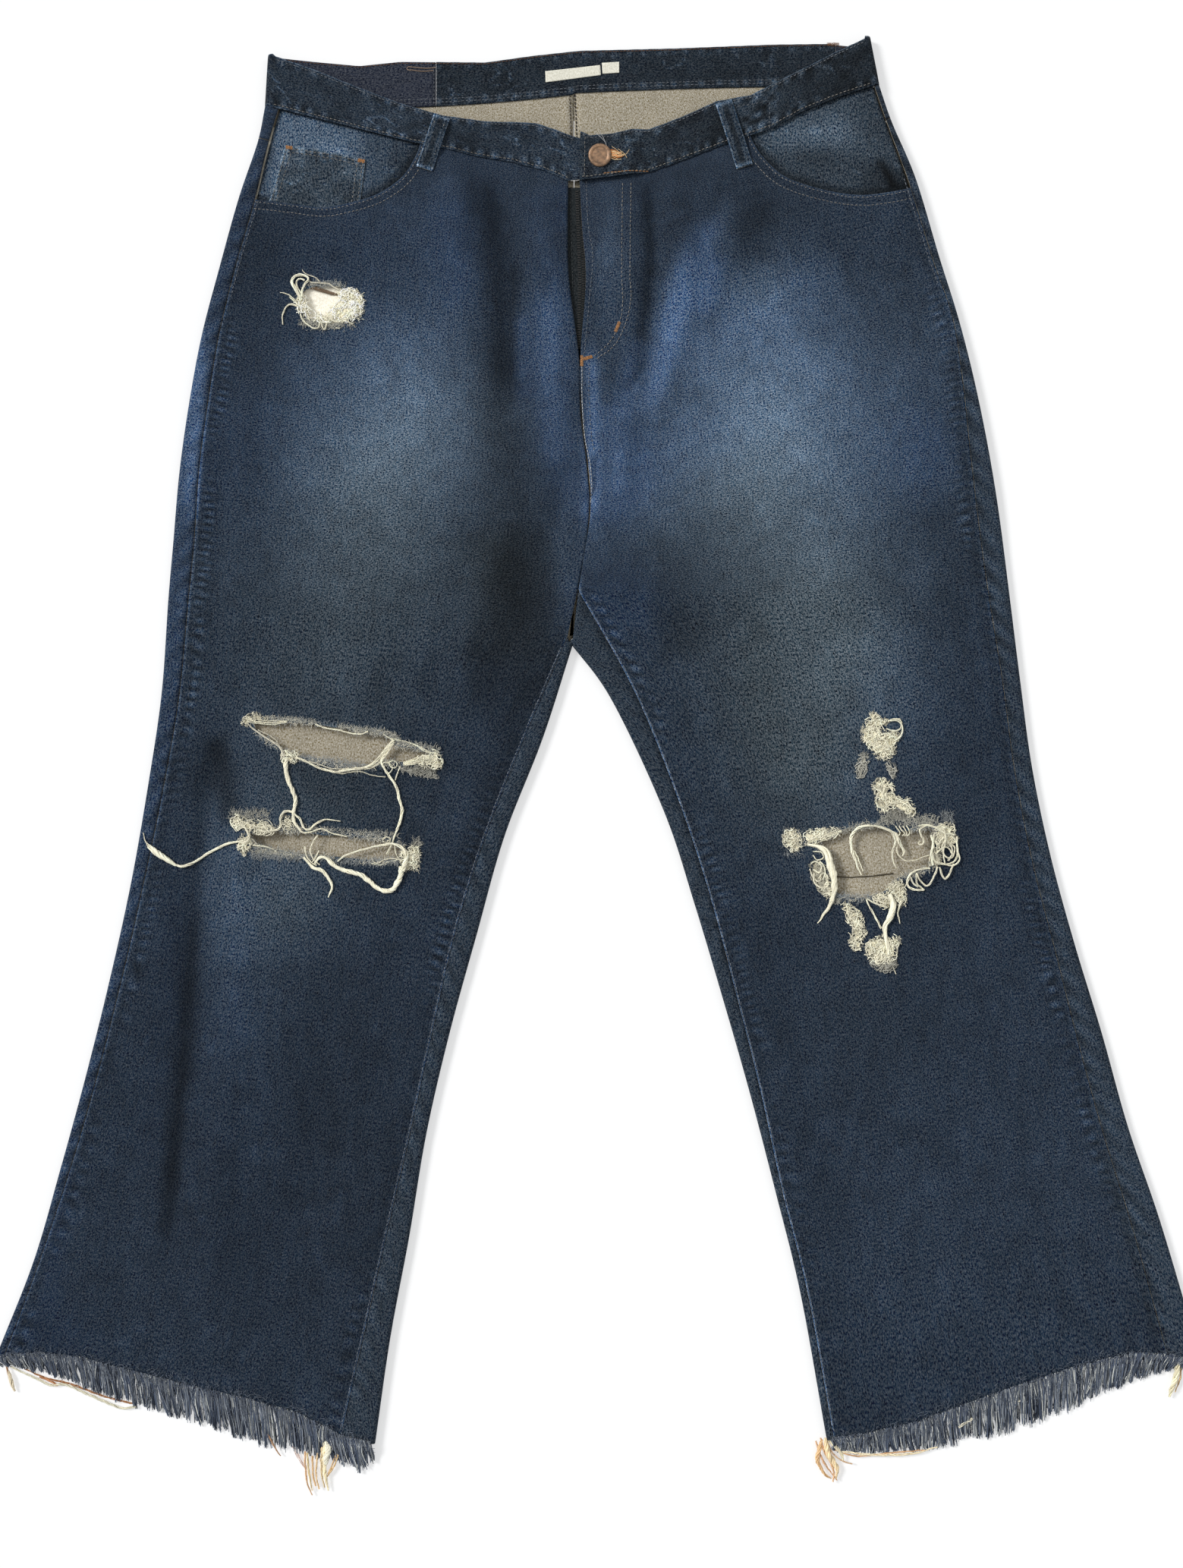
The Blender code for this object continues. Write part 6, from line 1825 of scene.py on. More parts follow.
# the join in the left band with its L of stitches
stitch_row(threads, px((1014, 135), (1014, 171)), GREY_THREAD, BAND_Z[id(LEFT)], 3.0, 2.2, 0.26)
stitch_row(threads, px((965, 141), (990, 139), (1012, 134)), GREY_THREAD, BAND_Z[id(LEFT)], 3.0, 2.2, 0.26)

# buttonhole: a dark tube standing for the shade in its slit, with loose cream and orange ends
slit = curve(px((803, 206), (812, 206), (822, 206)), 12)
z = BAND_Z[id(LEFT)](slit[:, 0], slit[:, 1]) + 0.05
threads.add(np.concatenate([slit, z[:, None]], -1)[None], np.full((1, 12), 0.7), linear(24, 24, 28)[None], sides=6)
for k in range(46):
    a0 = px((800 + RNG.uniform(0, 5), 201 + RNG.uniform(-1, 9)))[0]
    b0 = px((818 + RNG.normal(0, 3.0), 207 + RNG.normal(0, 2.4)))[0]
    m0 = (a0 + b0) / 2 + RNG.normal(0, 0.8, 2)
    q = curve([a0, m0, b0], 9)
    z = BAND_Z[id(LEFT)](q[:, 0], q[:, 1]) + RNG.uniform(0.3, 1.2)
    col = linear(236, 206, 160) if k % 3 else linear(214, 138, 78)
    threads.add(np.concatenate([q, z[:, None]], -1)[None], np.full((1, 9), 0.24), (col * RNG.uniform(0.8, 1.1))[None], sides=4)
for ends in (((814, 199), (822, 205), (826, 211)), ((806, 196), (812, 200), (817, 205)), ((820, 209), (825, 206), (829, 200))):
    q = curve(px(*ends), 9)
    z = BAND_Z[id(LEFT)](q[:, 0], q[:, 1]) + 0.8
    threads.add(np.concatenate([q, z[:, None]], -1)[None], np.full((1, 9), 0.22), linear(216, 190, 150)[None], sides=4)
for ends in (((790, 176), (796, 186), (800, 197)), ((785, 178), (792, 184), (799, 192))):
    q = curve(px(*ends), 12)
    z = BAND_Z[id(LEFT)](q[:, 0], q[:, 1]) + 0.4
    threads.add(np.concatenate([q, z[:, None]], -1)[None], np.full((1, 12), 0.18), linear(176, 178, 180)[None], sides=4)

# belt loops
for name, x0, y0, x1, y1 in LOOPS:
    a, b = np.array([x0, y0]), np.array([x1, y1])
    u = unit(b - a)
    nrm = np.array([-u[1], u[0]])
    deps = bpy.data.objects[name].data
    co = np.zeros(len(deps.vertices) * 3)
    deps.vertices.foreach_get("co", co)
    co = co.reshape(-1, 3) / MM + np.array([ORIGIN[0], ORIGIN[1], 0])

    def loop_z(x, y, co=co):
        d = (np.asarray(x)[:, None] - co[None, :, 0]) ** 2 + (np.asarray(y)[:, None] - co[None, :, 1]) ** 2
        return co[np.argmin(d, axis=1), 2] + CLOTH * 0.6

    for off in (-3.6, 3.6):
        stitch_row(threads, np.array([a + nrm * off + u * 2, b + nrm * off - u * 2]), TAN, loop_z, 2.8, 2.1, 0.28)
    bar(threads, a - nrm * 5 + u * 1.6, a + nrm * 5 + u * 1.6, 1.8, linear(188, 172, 146), loop_z)
    bar(threads, b - nrm * 5 - u * 1.8, b + nrm * 5 - u * 1.8, 2.0, linear(196, 180, 154), loop_z)

# inside of the back band
def back_z(x, y):
    return np.full(np.shape(x), BACK_BAND_MID + BAND / 2 + 0.02)


def back_line(v, x0, x1, n=120):
    x = np.linspace(x0, x1, n)
    return np.array([[a, back_bottom(a) * (1 - v) + back_top(a) * v] for a in x])


stitch_row(threads, back_line(0.97, -236, 194), linear(104, 78, 62), back_z, 2.7, 2.3, 0.3)
stitch_row(threads, back_line(0.08, -200, 185), GREY_THREAD, back_z, 3.0, 2.2, 0.28)
stitch_row(threads, back_line(0.16, -200, 185), GREY_THREAD, back_z, 3.0, 2.2, 0.28)
for x in (-118.5, -120.5):
    stitch_row(threads, np.array([[x, back_bottom(x) + 1], [x, back_top(x) - 2]]), GREY_THREAD, back_z, 2.8, 2.1, 0.26)
for ends in (((538, 87), (560, 89), (574, 88)), ((540, 91), (556, 93), (571, 92)), ((538, 87), (536, 90), (541, 92))):
    q = curve(px(*ends), 14)
    threads.add(np.concatenate([q, np.full((14, 1), BACK_BAND_MID + BAND / 2 + 0.3)], -1)[None], np.full((1, 14), 0.42),
                linear(136, 118, 104)[None], sides=5)
bar(threads, px((1090, 57))[0], px((1106, 57))[0], 1.8, linear(128, 92, 66), back_z)
bar(threads, px((1138, 92))[0], px((1146, 92))[0], 1.2, linear(128, 92, 66), back_z)
for x_off in (-4.6, 2.2):
    line = px((755.5 + x_off, 122), (756.5 + x_off, 150), (758 + x_off, 182))
    stitch_row(threads, curve(line, 24), DARK_THREAD, lambda x, y: np.full(np.shape(x), LIFT + CLOTH + 0.12), 2.6, 2.2, 0.42)

# under the seat: a flat height just under it
def under_z(x, y):
    return np.full(np.shape(x), -0.02)


threads.make("stitching", "fray")

# ---- zip teeth ---------------------------------------------------------------------------------------

zipper = Bundle()
mid = along(ruled(ZIP_LEFT, ZIP_RIGHT, 3, lambda x, y: 0 * x)[:, 1], np.linspace(0.02, 0.98, 64))
for side in (-1, 1):
    pts = np.stack([mid[:, :2] + (side * 0.3, 0), mid[:, :2] + (side * 1.6, 0), mid[:, :2] + (side * 2.6, 0)], 1)
    pts[..., 1] += side * 0.55
    z = top(pts[..., 0].ravel(), pts[..., 1].ravel()).reshape(-1, 3) - CLOTH - 0.7
    zipper.add(np.concatenate([pts, z[..., None]], -1), np.full((len(pts), 3), 0.42), np.tile(linear(58, 56, 54), (len(pts), 1)), 5)
for x_off in (-6.5, 6.0):
    path = mid[:, :2] + (x_off, 0)
    stitch_row(zipper, path, linear(70, 74, 74), lambda x, y: top(x, y) - CLOTH - 0.8, 2.6, 2.0, 0.25)
zipper.make("zip_teeth", "zip")

# ---- threads of the rips -----------------------------------------------------------------------------

ragged = Bundle()


def zl(*points):
    return px(*points, origin=(1020, 925), zoom=4.0)


def zr(*points):
    return px(*points, origin=(190, 930), zoom=4.0)


def zs(*points):
    return px(*points, origin=(400, 1100), zoom=4.0)


def zh(*points):
    return px(*points, origin=(355, 345), zoom=5.0)


def ramped(values, k):
    return np.interp(k, np.linspace(0, 1, len(values)), values)


def rope(points, width, colour=CREAM, strands=5, twist=0.42, rise=0.35, out=None, loose=0.12, ground=None, arch=0.0):
    """Yarn along a path on the cloth: a few strands turned round each other. width in millimetres, one number
    or several along the way."""
    out = out or ragged
    points = np.asarray(points, float)
    total = float(np.sum(np.hypot(*np.diff(curve(points, 40), axis=0).T)))
    n = max(int(total / 0.75), 8)
    base = curve(points, n)
    k = np.linspace(0, 1, n)
    run = k * total
    seed = RNG.uniform(0, 900)
    w = ramped(np.atleast_1d(width), k) * (1 + 0.16 * noise(run + seed, 0 * k, 3.2, 3))
    d = np.gradient(base, axis=0)
    d /= np.maximum(np.hypot(d[:, 0], d[:, 1])[:, None], 1e-9)
    side = np.stack([-d[:, 1], d[:, 0]], -1)
    under = (ground or top)(base[:, 0], base[:, 1])
    for i in range(strands):
        phase = 2 * math.pi * i / strands + twist * run + 0.8 * noise(run + seed, 0 * k, 6.0, 5 + i)
        spread = 1 + loose * 2.2 * noise(run + seed + 40 * i, 0 * k, 5.0, 9)
        q = base + side * (np.cos(phase) * w * 0.30 * spread)[:, None]
        q = q + side * (noise(run + seed, 0 * k, 4.0, 12) * 0.35 * loose / 0.12)[:, None]
        z = under + rise + w * 0.42 + np.sin(phase) * w * 0.24 + arch * np.sin(k * math.pi)
        r = np.maximum(w * 0.2, 0.19)
        out.add(np.concatenate([q, z[:, None]], -1)[None], r[None], np.clip(colour * RNG.uniform(0.72, 1.10), 0, 1)[None], sides=5)


def hairs(at, ang, length, colour, radius=0.13, tall=1.0, curl=0.4, n=6, base=0.15):
    """Short fibres from points, in given directions."""
    count = len(at)
    turn = RNG.normal(0, curl, (count, n)).cumsum(axis=1)
    stepv = (length * RNG.uniform(0.45, 1.15, count) / n)[:, None]
    x = at[:, :1] + np.cumsum(np.cos(ang[:, None] + turn) * stepv, axis=1)
    y = at[:, 1:] + np.cumsum(np.sin(ang[:, None] + turn) * stepv, axis=1)
    z = top(x.ravel(), y.ravel()).reshape(x.shape) + base + RNG.uniform(0, tall, (count, 1)) * np.linspace(0.3, 1, n)[None]
    cols = np.clip(colour[None] * RNG.uniform(0.72, 1.12, (count, 1)), 0, 1)
    ragged.add(np.stack([x, y, z], -1), np.full(x.shape, radius) * np.linspace(1.0, 0.6, n)[None], cols, sides=3)


PAD_V, PAD_F, PAD_C = [], [], []


def pad(points, tone=1.0, thick=0.8, fibres=0.42, colour=CREAM, seed=0.0):
    """A patch where the blue warp is gone: pale weft on a ground darkened as painted shade between the yarns, with
    curled yarns over it.
    """
    poly = curve(list(points) + [points[0]], 60)
    lo, hi = poly.min(0) - 1.5, poly.max(0) + 1.5
    X, Y = np.meshgrid(np.arange(lo[0], hi[0], 0.6), np.arange(lo[1], hi[1], 0.6), indexing="ij")
    keep = -signed(poly, X, Y) - 0.9 + 1.5 * noise(X, Y, 2.2, 11) + 0.8 * noise(X, Y, 1.0, 12)
    if not (keep > 0).any():
        return
    pts, faces = trimmed(np.stack([X, Y], -1), keep)
    x, y = pts.T
    deep = np.maximum(-signed(poly, x, y), 0)
    rib = noise(x * 1.0, y * 0.35, 0.9, 13)
    z = top(x, y) + 0.12 + 0.6 * thick * (1 - np.exp(-(deep / 1.0) ** 2)) * (0.7 + 0.35 * noise(x, y, 1.8, 14)) + 0.2 * rib
    # the ground's colour darkened as painted shade between the yarns
    shade = tone * (0.62 + 0.34 * noise(x, y, 1.3, 15) + 0.20 * noise(x, y, 3.4, 16))
    PAD_V.append(np.stack([x, y, z], -1))
    PAD_F.append(faces + sum(len(v) for v in PAD_V[:-1]))
    PAD_C.append(np.clip(colour[None] * shade[:, None] * np.array([1.0, 0.98, 0.92]), 0, 1))
    area = len(x) * 0.6 ** 2
    # curled yarns
    count = max(int(area * fibres * 0.85), 4)
    at = pts[RNG.integers(0, len(x), count)]
    n = 10
    turn = RNG.uniform(0, 2 * math.pi, (count, 1)) + RNG.normal(0, 0.18, (count, 1)) * np.arange(n)[None] + RNG.normal(0, 0.35, (count, n)).cumsum(axis=1)
    stepv = RNG.uniform(4.0, 8.5, (count, 1)) / n
    px_ = at[:, :1] + np.cumsum(np.cos(turn) * stepv, axis=1)
    py_ = at[:, 1:] + np.cumsum(np.sin(turn) * stepv, axis=1)
    out_by = signed(poly, px_.ravel(), py_.ravel()).reshape(px_.shape)
    home = pts.mean(0)
    pull = np.clip(out_by - 0.5 - 1.2 * RNG.uniform(0, 1, (count, 1)), 0, 6)
    far = np.maximum(np.hypot(px_ - home[0], py_ - home[1]), 1e-6)
    px_ = px_ - (px_ - home[0]) / far * pull * 0.8
    py_ = py_ - (py_ - home[1]) / far * pull * 0.8
    pz = top(px_.ravel(), py_.ravel()).reshape(px_.shape) + 0.5 * thick + RNG.uniform(0.1, 0.9, (count, 1)) + 0.35 * np.sin(np.linspace(0, math.pi, n))[None]
    cols = np.clip(colour[None] * tone * RNG.uniform(0.62, 1.12, (count, 1)), 0, 1)
    ragged.add(np.stack([px_, py_, pz], -1), np.full(px_.shape, 0.36), cols, sides=5)
    # whiskers out of its edge
    m = int(np.sum(np.hypot(*np.diff(poly, axis=0).T)) * 2.0)
    edge = along(poly, RNG.uniform(0, 1, m))
    ang = np.arctan2(edge[:, 1] - poly[:, 1].mean(), edge[:, 0] - poly[:, 0].mean()) + RNG.normal(0, 0.8, m)
    hairs(edge, ang, 2.6, colour * tone * 0.82, 0.19, 0.5, 0.55)


BLUISH = linear(164, 168, 168)
GREYISH = linear(196, 194, 182)
PALE = linear(232, 226, 206)


def fuzz(outline, density, length, colour, out_share=0.5, radius=0.15, tall=1.0, reach=3.2):
    """Hairs of torn cloth along a hole's outline."""
    ring = np.vstack([outline, outline[:1]])
    total = float(np.sum(np.hypot(*np.diff(ring, axis=0).T)))
    count = int(total * density)
    k = RNG.uniform(0, 1, count)
    patchy = 0.55 + 0.75 * noise(k * total, 0 * k, 9.0, 17)
    k = k[RNG.uniform(0, 1, count) < patchy]
    count = len(k)
    at = along(ring, k)
    ahead = along(ring, np.clip(k + 0.003, 0, 1)) - along(ring, np.clip(k - 0.003, 0, 1))
    ahead /= np.maximum(np.hypot(ahead[:, 0], ahead[:, 1])[:, None], 1e-9)
    nrm = np.stack([-ahead[:, 1], ahead[:, 0]], -1)
    probe = signed(outline, (at + nrm)[:, 0], (at + nrm)[:, 1])
    nrm = nrm * np.where(probe > 0, 1.0, -1.0)[:, None]
    out_dir = np.where(RNG.uniform(0, 1, count) < out_share, 1.0, -0.7)
    ang = np.arctan2(nrm[:, 1] * out_dir, nrm[:, 0] * out_dir) + RNG.normal(0, 0.7, count)
    hairs(at + nrm * RNG.uniform(-0.4, reach, (count, 1)), ang, length, colour, radius, tall, 0.5)


for name, dens in (("upper", 5.5), ("lower", 5.5), ("knee", 5.0)):
    fuzz(HOLES[name], dens * 0.8, 4.2, BLUISH, radius=0.19, tall=1.3, reach=2.4)
    fuzz(HOLES[name], dens * 0.5, 4.0, PALE, out_share=0.6, radius=0.2, tall=1.5, reach=1.6)
fuzz(HOLES["hip"], 5.0, 3.4, GREYISH, radius=0.19, reach=3.0)

# right knee, upper rip
for dy, w in ((0, 1.2), (-10, 0.9), (9, 1.0)):
    rope(zr((540, 72 + dy), (600, 84 + dy), (680, 90 + dy), (755, 82 + dy * 0.5)), w, strands=3)
pad(zr((520, 72), (560, 46), (610, 52), (640, 62), (600, 74), (560, 80), (545, 100), (518, 92)), 0.8, 0.4, 0.26)
rope(zr((545, 92), (590, 132), (640, 168), (690, 195), (722, 226), (742, 268)), (0.9, 1.5, 1.8, 2.2), PALE, strands=4)
rope(zr((600, 128), (650, 150), (690, 178), (704, 200)), 0.7, PALE, strands=3)
pad(zr((728, 262), (745, 245), (790, 248), (808, 240), (812, 268), (800, 290), (770, 300), (740, 296)), 1.0, 1.2, 0.42)
rope(zr((752, 280), (746, 335), (762, 400), (784, 450), (798, 500), (788, 555), (792, 610), (824, 655)), (3.6, 3.2, 2.9, 3.0, 2.8, 2.3, 1.6), strands=7)
rope(zr((788, 560), (745, 556), (722, 590), (722, 632), (700, 654), (645, 662), (600, 650)), (2.2, 2.0, 1.8, 1.4), strands=5, rise=0.6)
rope(zr((792, 570), (824, 600), (842, 640), (872, 652), (900, 626), (950, 600), (1034, 608)), (1.8, 1.8, 1.6, 0.7), strands=4, rise=0.9)
rope(zr((800, 620), (832, 664), (880, 664), (940, 648), (990, 672), (1070, 688)), (1.6, 1.4, 1.0), strands=4)
pad(zr((725, 590), (760, 590), (782, 620), (780, 660), (752, 664), (738, 640)), 0.85, 0.8, 0.36)
rope(zr((800, 270), (850, 292), (900, 316), (950, 336), (1012, 346), (1084, 336), (1164, 326), (1212, 300), (1252, 258), (1284, 216), (1316, 182)), (1.8, 1.8, 2.0, 2.4, 2.4, 2.2, 2.2), strands=6)
rope(zr((1160, 332), (1222, 314), (1268, 270), (1298, 222), (1318, 190)), (1.4, 1.8, 1.8), strands=4)
rope(zr((870, 290), (930, 312), (1000, 332), (1080, 330)), 1.0, PALE, strands=3)
rope(zr((900, 322), (960, 342), (1040, 356), (1130, 344), (1200, 366), (1272, 374)), 0.9, strands=3)
for a in ((1310, 182), (1290, 168)):
    rope(zr(a, (1352, 182), (1402, 196), (1442, 212), (1482, 242), (1540, 250)), 0.9, strands=3)
rope(zr((1262, 148), (1290, 166), (1318, 182)), 0.9, strands=3)
rope(zr((1264, 146), (1276, 132), (1300, 142)), 0.7, PALE, strands=3)
rope(zr((1312, 186), (1262, 262), (1252, 296), (1268, 336), (1300, 380), (1330, 430), (1346, 500), (1360, 546), (1350, 602), (1330, 662), (1308, 722), (1284, 784)), (1.7, 1.8, 1.8, 2.0, 2.2, 2.4, 2.0, 1.3, 0.9), strands=5)
rope(zr((1352, 318), (1336, 352), (1322, 392)), 1.0, strands=3)
rope(zr((1284, 360), (1308, 332), (1290, 300), (1258, 302), (1262, 330)), 0.9, strands=3, rise=0.8)
rope(zr((1290, 300), (1312, 288), (1336, 302), (1326, 326), (1300, 322), (1290, 302)), 0.8, strands=3, rise=1.0)
for dy in (-14, -4, 6, 16):
    rope(zr((1366, 306 + dy * 0.4), (1440, 288 + dy), (1502, 276 + dy), (1546, 270 + dy * 0.5)), 1.4, strands=3)
pad(zr((1440, 280), (1500, 262), (1540, 248), (1562, 290), (1556, 320), (1520, 324), (1470, 316)), 1.0, 1.0, 0.47)
pad(zr((1390, 318), (1440, 312), (1500, 330), (1530, 350), (1480, 366), (1420, 352)), 0.6, 0.4, 0.36, GREYISH)
rope(zr((905, 98), (950, 116), (1020, 126), (1080, 142), (1140, 150), (1182, 134)), 1.3, strands=4)
rope(zr((1430, 206), (1480, 232), (1536, 252)), 1.1, strands=3)

# right knee, lower rip
pad(zr((462, 600), (500, 578), (545, 604), (600, 612), (655, 628), (690, 652), (640, 668), (580, 660), (540, 640), (490, 640)), 0.95, 0.8, 0.47)
hairs(zr(*[(RNG.uniform(455, 660), RNG.uniform(560, 606)) for _ in range(170)]), RNG.uniform(0.9, 2.6, 170), 5.0, GREYISH, 0.16, 1.2, 0.5)
rope(zr((500, 600), (552, 620), (600, 640), (655, 648)), 1.0, strands=3, rise=0.8)
rope(zr((536, 640), (560, 678), (546, 716), (520, 724)), (1.8, 2.6, 2.2), strands=5)
pad(zr((510, 700), (540, 676), (570, 690), (560, 730), (532, 786), (508, 740)), 1.0, 1.2, 0.42)
rope(zr((532, 712), (452, 724), (400, 746), (340, 776), (292, 806), (250, 832), (200, 846), (160, 836)), (1.9, 2.0, 2.1, 2.2, 2.2), strands=6, loose=0.05)
rope(zr((170, 840), (120, 806), (70, 772), (26, 738)), (2.2, 4.4, 5.2, 3.0), strands=9, twist=0.25, loose=0.04)
rope(zr((30, 742), (10, 716), (2, 690), (-2, 668)), (2.4, 0.9, 0.5), strands=3)
rope(zr((575, 735), (620, 738), (670, 750), (700, 770)), (1.6, 1.3, 0.8), strands=4)
rope(zr((916, 680), (890, 722), (876, 762), (892, 800), (925, 838)), 1.2, strands=3, rise=0.8)
rope(zr((922, 762), (908, 792), (884, 826)), 1.0, strands=3, rise=0.9)
hairs(zr(*[(x, 776 + 0.06 * (x - 560) + RNG.normal(0, 9)) for x in RNG.uniform(570, 860, 330)]), RNG.uniform(3.4, 6.0, 330), 4.0, BLUISH, 0.16, 1.0, 0.6)
hairs(zr(*[(x, 812 + RNG.normal(0, 9)) for x in RNG.uniform(1000, 1340, 260)]), RNG.uniform(3.4, 6.0, 260), 4.0, BLUISH, 0.16, 1.0, 0.6)
hairs(zr(*[(x, 268 + 0.12 * (x - 830) + RNG.normal(0, 9)) for x in RNG.uniform(820, 1180, 320)]), RNG.uniform(3.4, 6.0, 320), 4.0, BLUISH, 0.16, 1.0, 0.6)
rope(zr((1256, 706), (1270, 690), (1300, 702), (1288, 722), (1256, 712)), 0.8, strands=3, rise=0.8)
# swirl below the lower rip
rope(zs((0, 118), (30, 150), (60, 176), (96, 186), (122, 214), (142, 246), (150, 284), (128, 330)), (1.6, 2.2, 2.6, 2.6, 2.2, 1.6, 0.8), strands=6)
rope(zs((8, 60), (20, 110), (44, 146), (70, 160)), 1.2, strands=3, rise=0.8)
rope(zs((80, 88), (66, 112), (58, 140)), 1.0, strands=3, rise=0.8)
rope(zs((60, 150), (84, 120), (116, 120), (150, 152), (196, 180), (250, 196), (308, 214), (350, 248), (392, 282), (430, 296), (468, 288), (496, 250), (514, 206), (520, 168)), (1.6, 2.2, 2.8, 3.2, 3.6, 3.4, 3.4, 3.6, 4.4, 4.2), strands=8)
rope(zs((110, 112), (142, 132), (172, 160), (210, 190)), (1.6, 2.0), strands=4, rise=1.0)
rope(zs((180, 140), (218, 110), (290, 84), (372, 62), (452, 48), (500, 56), (530, 76), (546, 106), (536, 150), (522, 190)), (1.2, 1.4, 1.4, 1.6, 2.2, 3.2, 3.8), strands=5, rise=0.9)
rope(zs((420, 24), (440, 12), (466, 22), (440, 34)), 0.8, strands=3, rise=0.8)
rope(zs((482, 0), (470, 40), (452, 74), (436, 104)), 1.0, strands=3, rise=1.1)
rope(zs((482, 46), (484, 84), (498, 118), (520, 136)), 0.9, strands=3, rise=1.0)
rope(zs((520, 136), (470, 126), (420, 132), (390, 150), (368, 142)), 0.8, strands=3, rise=0.8)
rope(zs((360, 150), (400, 160), (440, 146), (500, 132)), 0.8, strands=3)
pad(zs((528, 96), (560, 84), (584, 62), (600, 84), (596, 130), (580, 166), (552, 184), (530, 176), (522, 136)), 1.0, 1.2, 0.52)
hairs(zs(*[(RNG.uniform(552, 600), RNG.uniform(60, 185)) for _ in range(120)]), RNG.uniform(-1.2, 1.2, 120), 5.0, CREAM, 0.2, 1.4, 0.5)
hairs(zs(*[(RNG.uniform(566, 616), RNG.uniform(20, 66)) for _ in range(50)]), RNG.uniform(0.3, 2.2, 50), 4.0, GREYISH, 0.16, 1.2, 0.5)

# left knee: small torn patches above
pad(zl((468, 150), (482, 112), (508, 92), (520, 56), (545, 82), (600, 98), (590, 122), (560, 130), (548, 150), (580, 168), (640, 160), (664, 176), (640, 222), (632, 270), (580, 300), (532, 270), (512, 230), (476, 202)), 1.0, 0.9, 0.42)
for pts, w in ((((600, 104), (640, 88), (672, 104), (668, 140), (630, 152), (596, 140)), 1.3), (((600, 98), (650, 96), (678, 130), (668, 180), (640, 206)), 1.4),
               (((560, 196), (590, 180), (620, 164), (648, 150)), 1.3), (((520, 200), (548, 180), (580, 196), (600, 230)), 1.2),
               (((540, 240), (580, 226), (620, 236), (640, 214)), 1.3), (((500, 150), (530, 132), (556, 150)), 1.1),
               (((570, 262), (600, 250), (622, 262)), 1.2), (((484, 132), (500, 108), (530, 96)), 0.8), (((640, 96), (664, 86), (672, 110)), 0.8)):
    rope(zl(*pts), w, strands=4, rise=1.0)
pad(zl((446, 388), (442, 340), (458, 292), (472, 266), (490, 284), (484, 340), (464, 394)), 0.95, 0.5, 0.47, GREYISH)
pad(zl((598, 326), (616, 312), (638, 360), (630, 394), (612, 366)), 1.0, 0.5, 0.47, GREYISH)
pad(zl((526, 452), (532, 420), (562, 408), (602, 424), (604, 460), (602, 482), (660, 506), (714, 524), (738, 562), (730, 592), (690, 586), (640, 558), (600, 560), (562, 574), (542, 545), (546, 500)), 1.0, 1.0, 0.42)
rope(zl((580, 566), (620, 536), (680, 532), (724, 566), (712, 590)), 1.2, strands=4, rise=1.0)
pad(zl((570, 570), (640, 562), (700, 592), (660, 606), (590, 596)), 0.62, 0.3, 0.42, GREYISH)
pad(zl((56, 700), (84, 674), (132, 690), (138, 740), (128, 772), (92, 778), (62, 750)), 1.0, 0.8, 0.42)
hairs(zl(*[(RNG.uniform(50, 160), RNG.uniform(664, 812)) for _ in range(140)]), RNG.uniform(0, 6.28, 140), 3.4, BLUISH, 0.15, 0.8, 0.5)
# its left side
pad(zl((166, 700), (200, 684), (262, 676), (350, 680), (300, 704), (240, 730), (196, 752), (168, 744)), 1.0, 0.7, 0.42)
for dy in (0, 14, 30, 46):
    rope(zl((178, 712 + dy), (240, 704 + dy * 0.7), (300, 694 + dy * 0.4), (352, 680)), 1.1, strands=3)
rope(zl((176, 752), (222, 762), (262, 780), (286, 820), (300, 872), (312, 920), (318, 970), (312, 1020), (292, 1076), (258, 1126), (232, 1168)), (1.6, 2.6, 4.4, 5.0, 5.0, 4.8, 4.2, 3.2, 2.4, 1.6, 0.7), strands=10, twist=0.1, loose=0.2)
rope(zl((214, 756), (262, 764), (292, 790), (304, 840), (318, 900), (326, 980)), (1.2, 1.6, 1.6), strands=4, rise=0.9)
for pts, w in ((((206, 786), (248, 792), (262, 822), (228, 832), (206, 806)), 1.0), (((196, 852), (216, 838), (250, 862), (240, 900), (206, 884)), 1.4),
               (((214, 904), (214, 950), (246, 976), (282, 966), (270, 916)), 1.4), (((236, 930), (262, 900), (284, 926), (270, 960)), 1.2),
               (((190, 880), (206, 920), (236, 946), (250, 920)), 1.1), (((240, 840), (262, 862), (270, 900), (258, 936)), 1.2)):
    rope(zl(*pts), w, strands=4, rise=0.7)
pad(zl((196, 856), (222, 844), (252, 866), (262, 920), (286, 960), (300, 1020), (270, 1010), (236, 974), (212, 930), (200, 890)), 0.5, 0.5, 0.47)
pad(zl((264, 972), (296, 960), (310, 1010), (290, 1030), (268, 1010)), 1.0, 0.9, 0.42)
# threads across the opening
rope(zl((530, 652), (474, 654), (432, 672), (406, 720), (412, 780), (430, 832), (446, 880), (462, 912)), (1.4, 2.0, 2.6, 2.6, 2.2, 1.6, 0.9), strands=5)
rope(zl((424, 784), (452, 842), (470, 892)), (1.4, 0.8), strands=3)
rope(zl((530, 650), (580, 668), (622, 688), (640, 740), (624, 792), (630, 842), (646, 876)), (1.6, 1.8, 2.0, 1.8, 1.2, 0.8), strands=4)
rope(zl((640, 690), (662, 742), (686, 788), (678, 812)), (2.2, 2.4, 1.4), strands=5)
rope(zl((560, 656), (610, 676), (650, 700)), 1.6, strands=4)
for a, b in ((640, 664), (656, 690), (676, 700), (694, 712)):
    rope(zl((a, 652), (a + 14, 672), (b, 694), (b - 16, 704)), 1.0, strands=3, rise=0.8)
rope(zl((650, 742), (650, 792), (682, 830), (732, 836), (790, 816), (846, 802)), 1.0, strands=3)
rope(zl((806, 652), (768, 668), (774, 698), (788, 728), (780, 752), (758, 746), (768, 730)), (1.2, 1.6, 1.6, 1.4), strands=4)
rope(zl((760, 654), (800, 646), (850, 660), (900, 664)), (1.6, 2.2), strands=5)
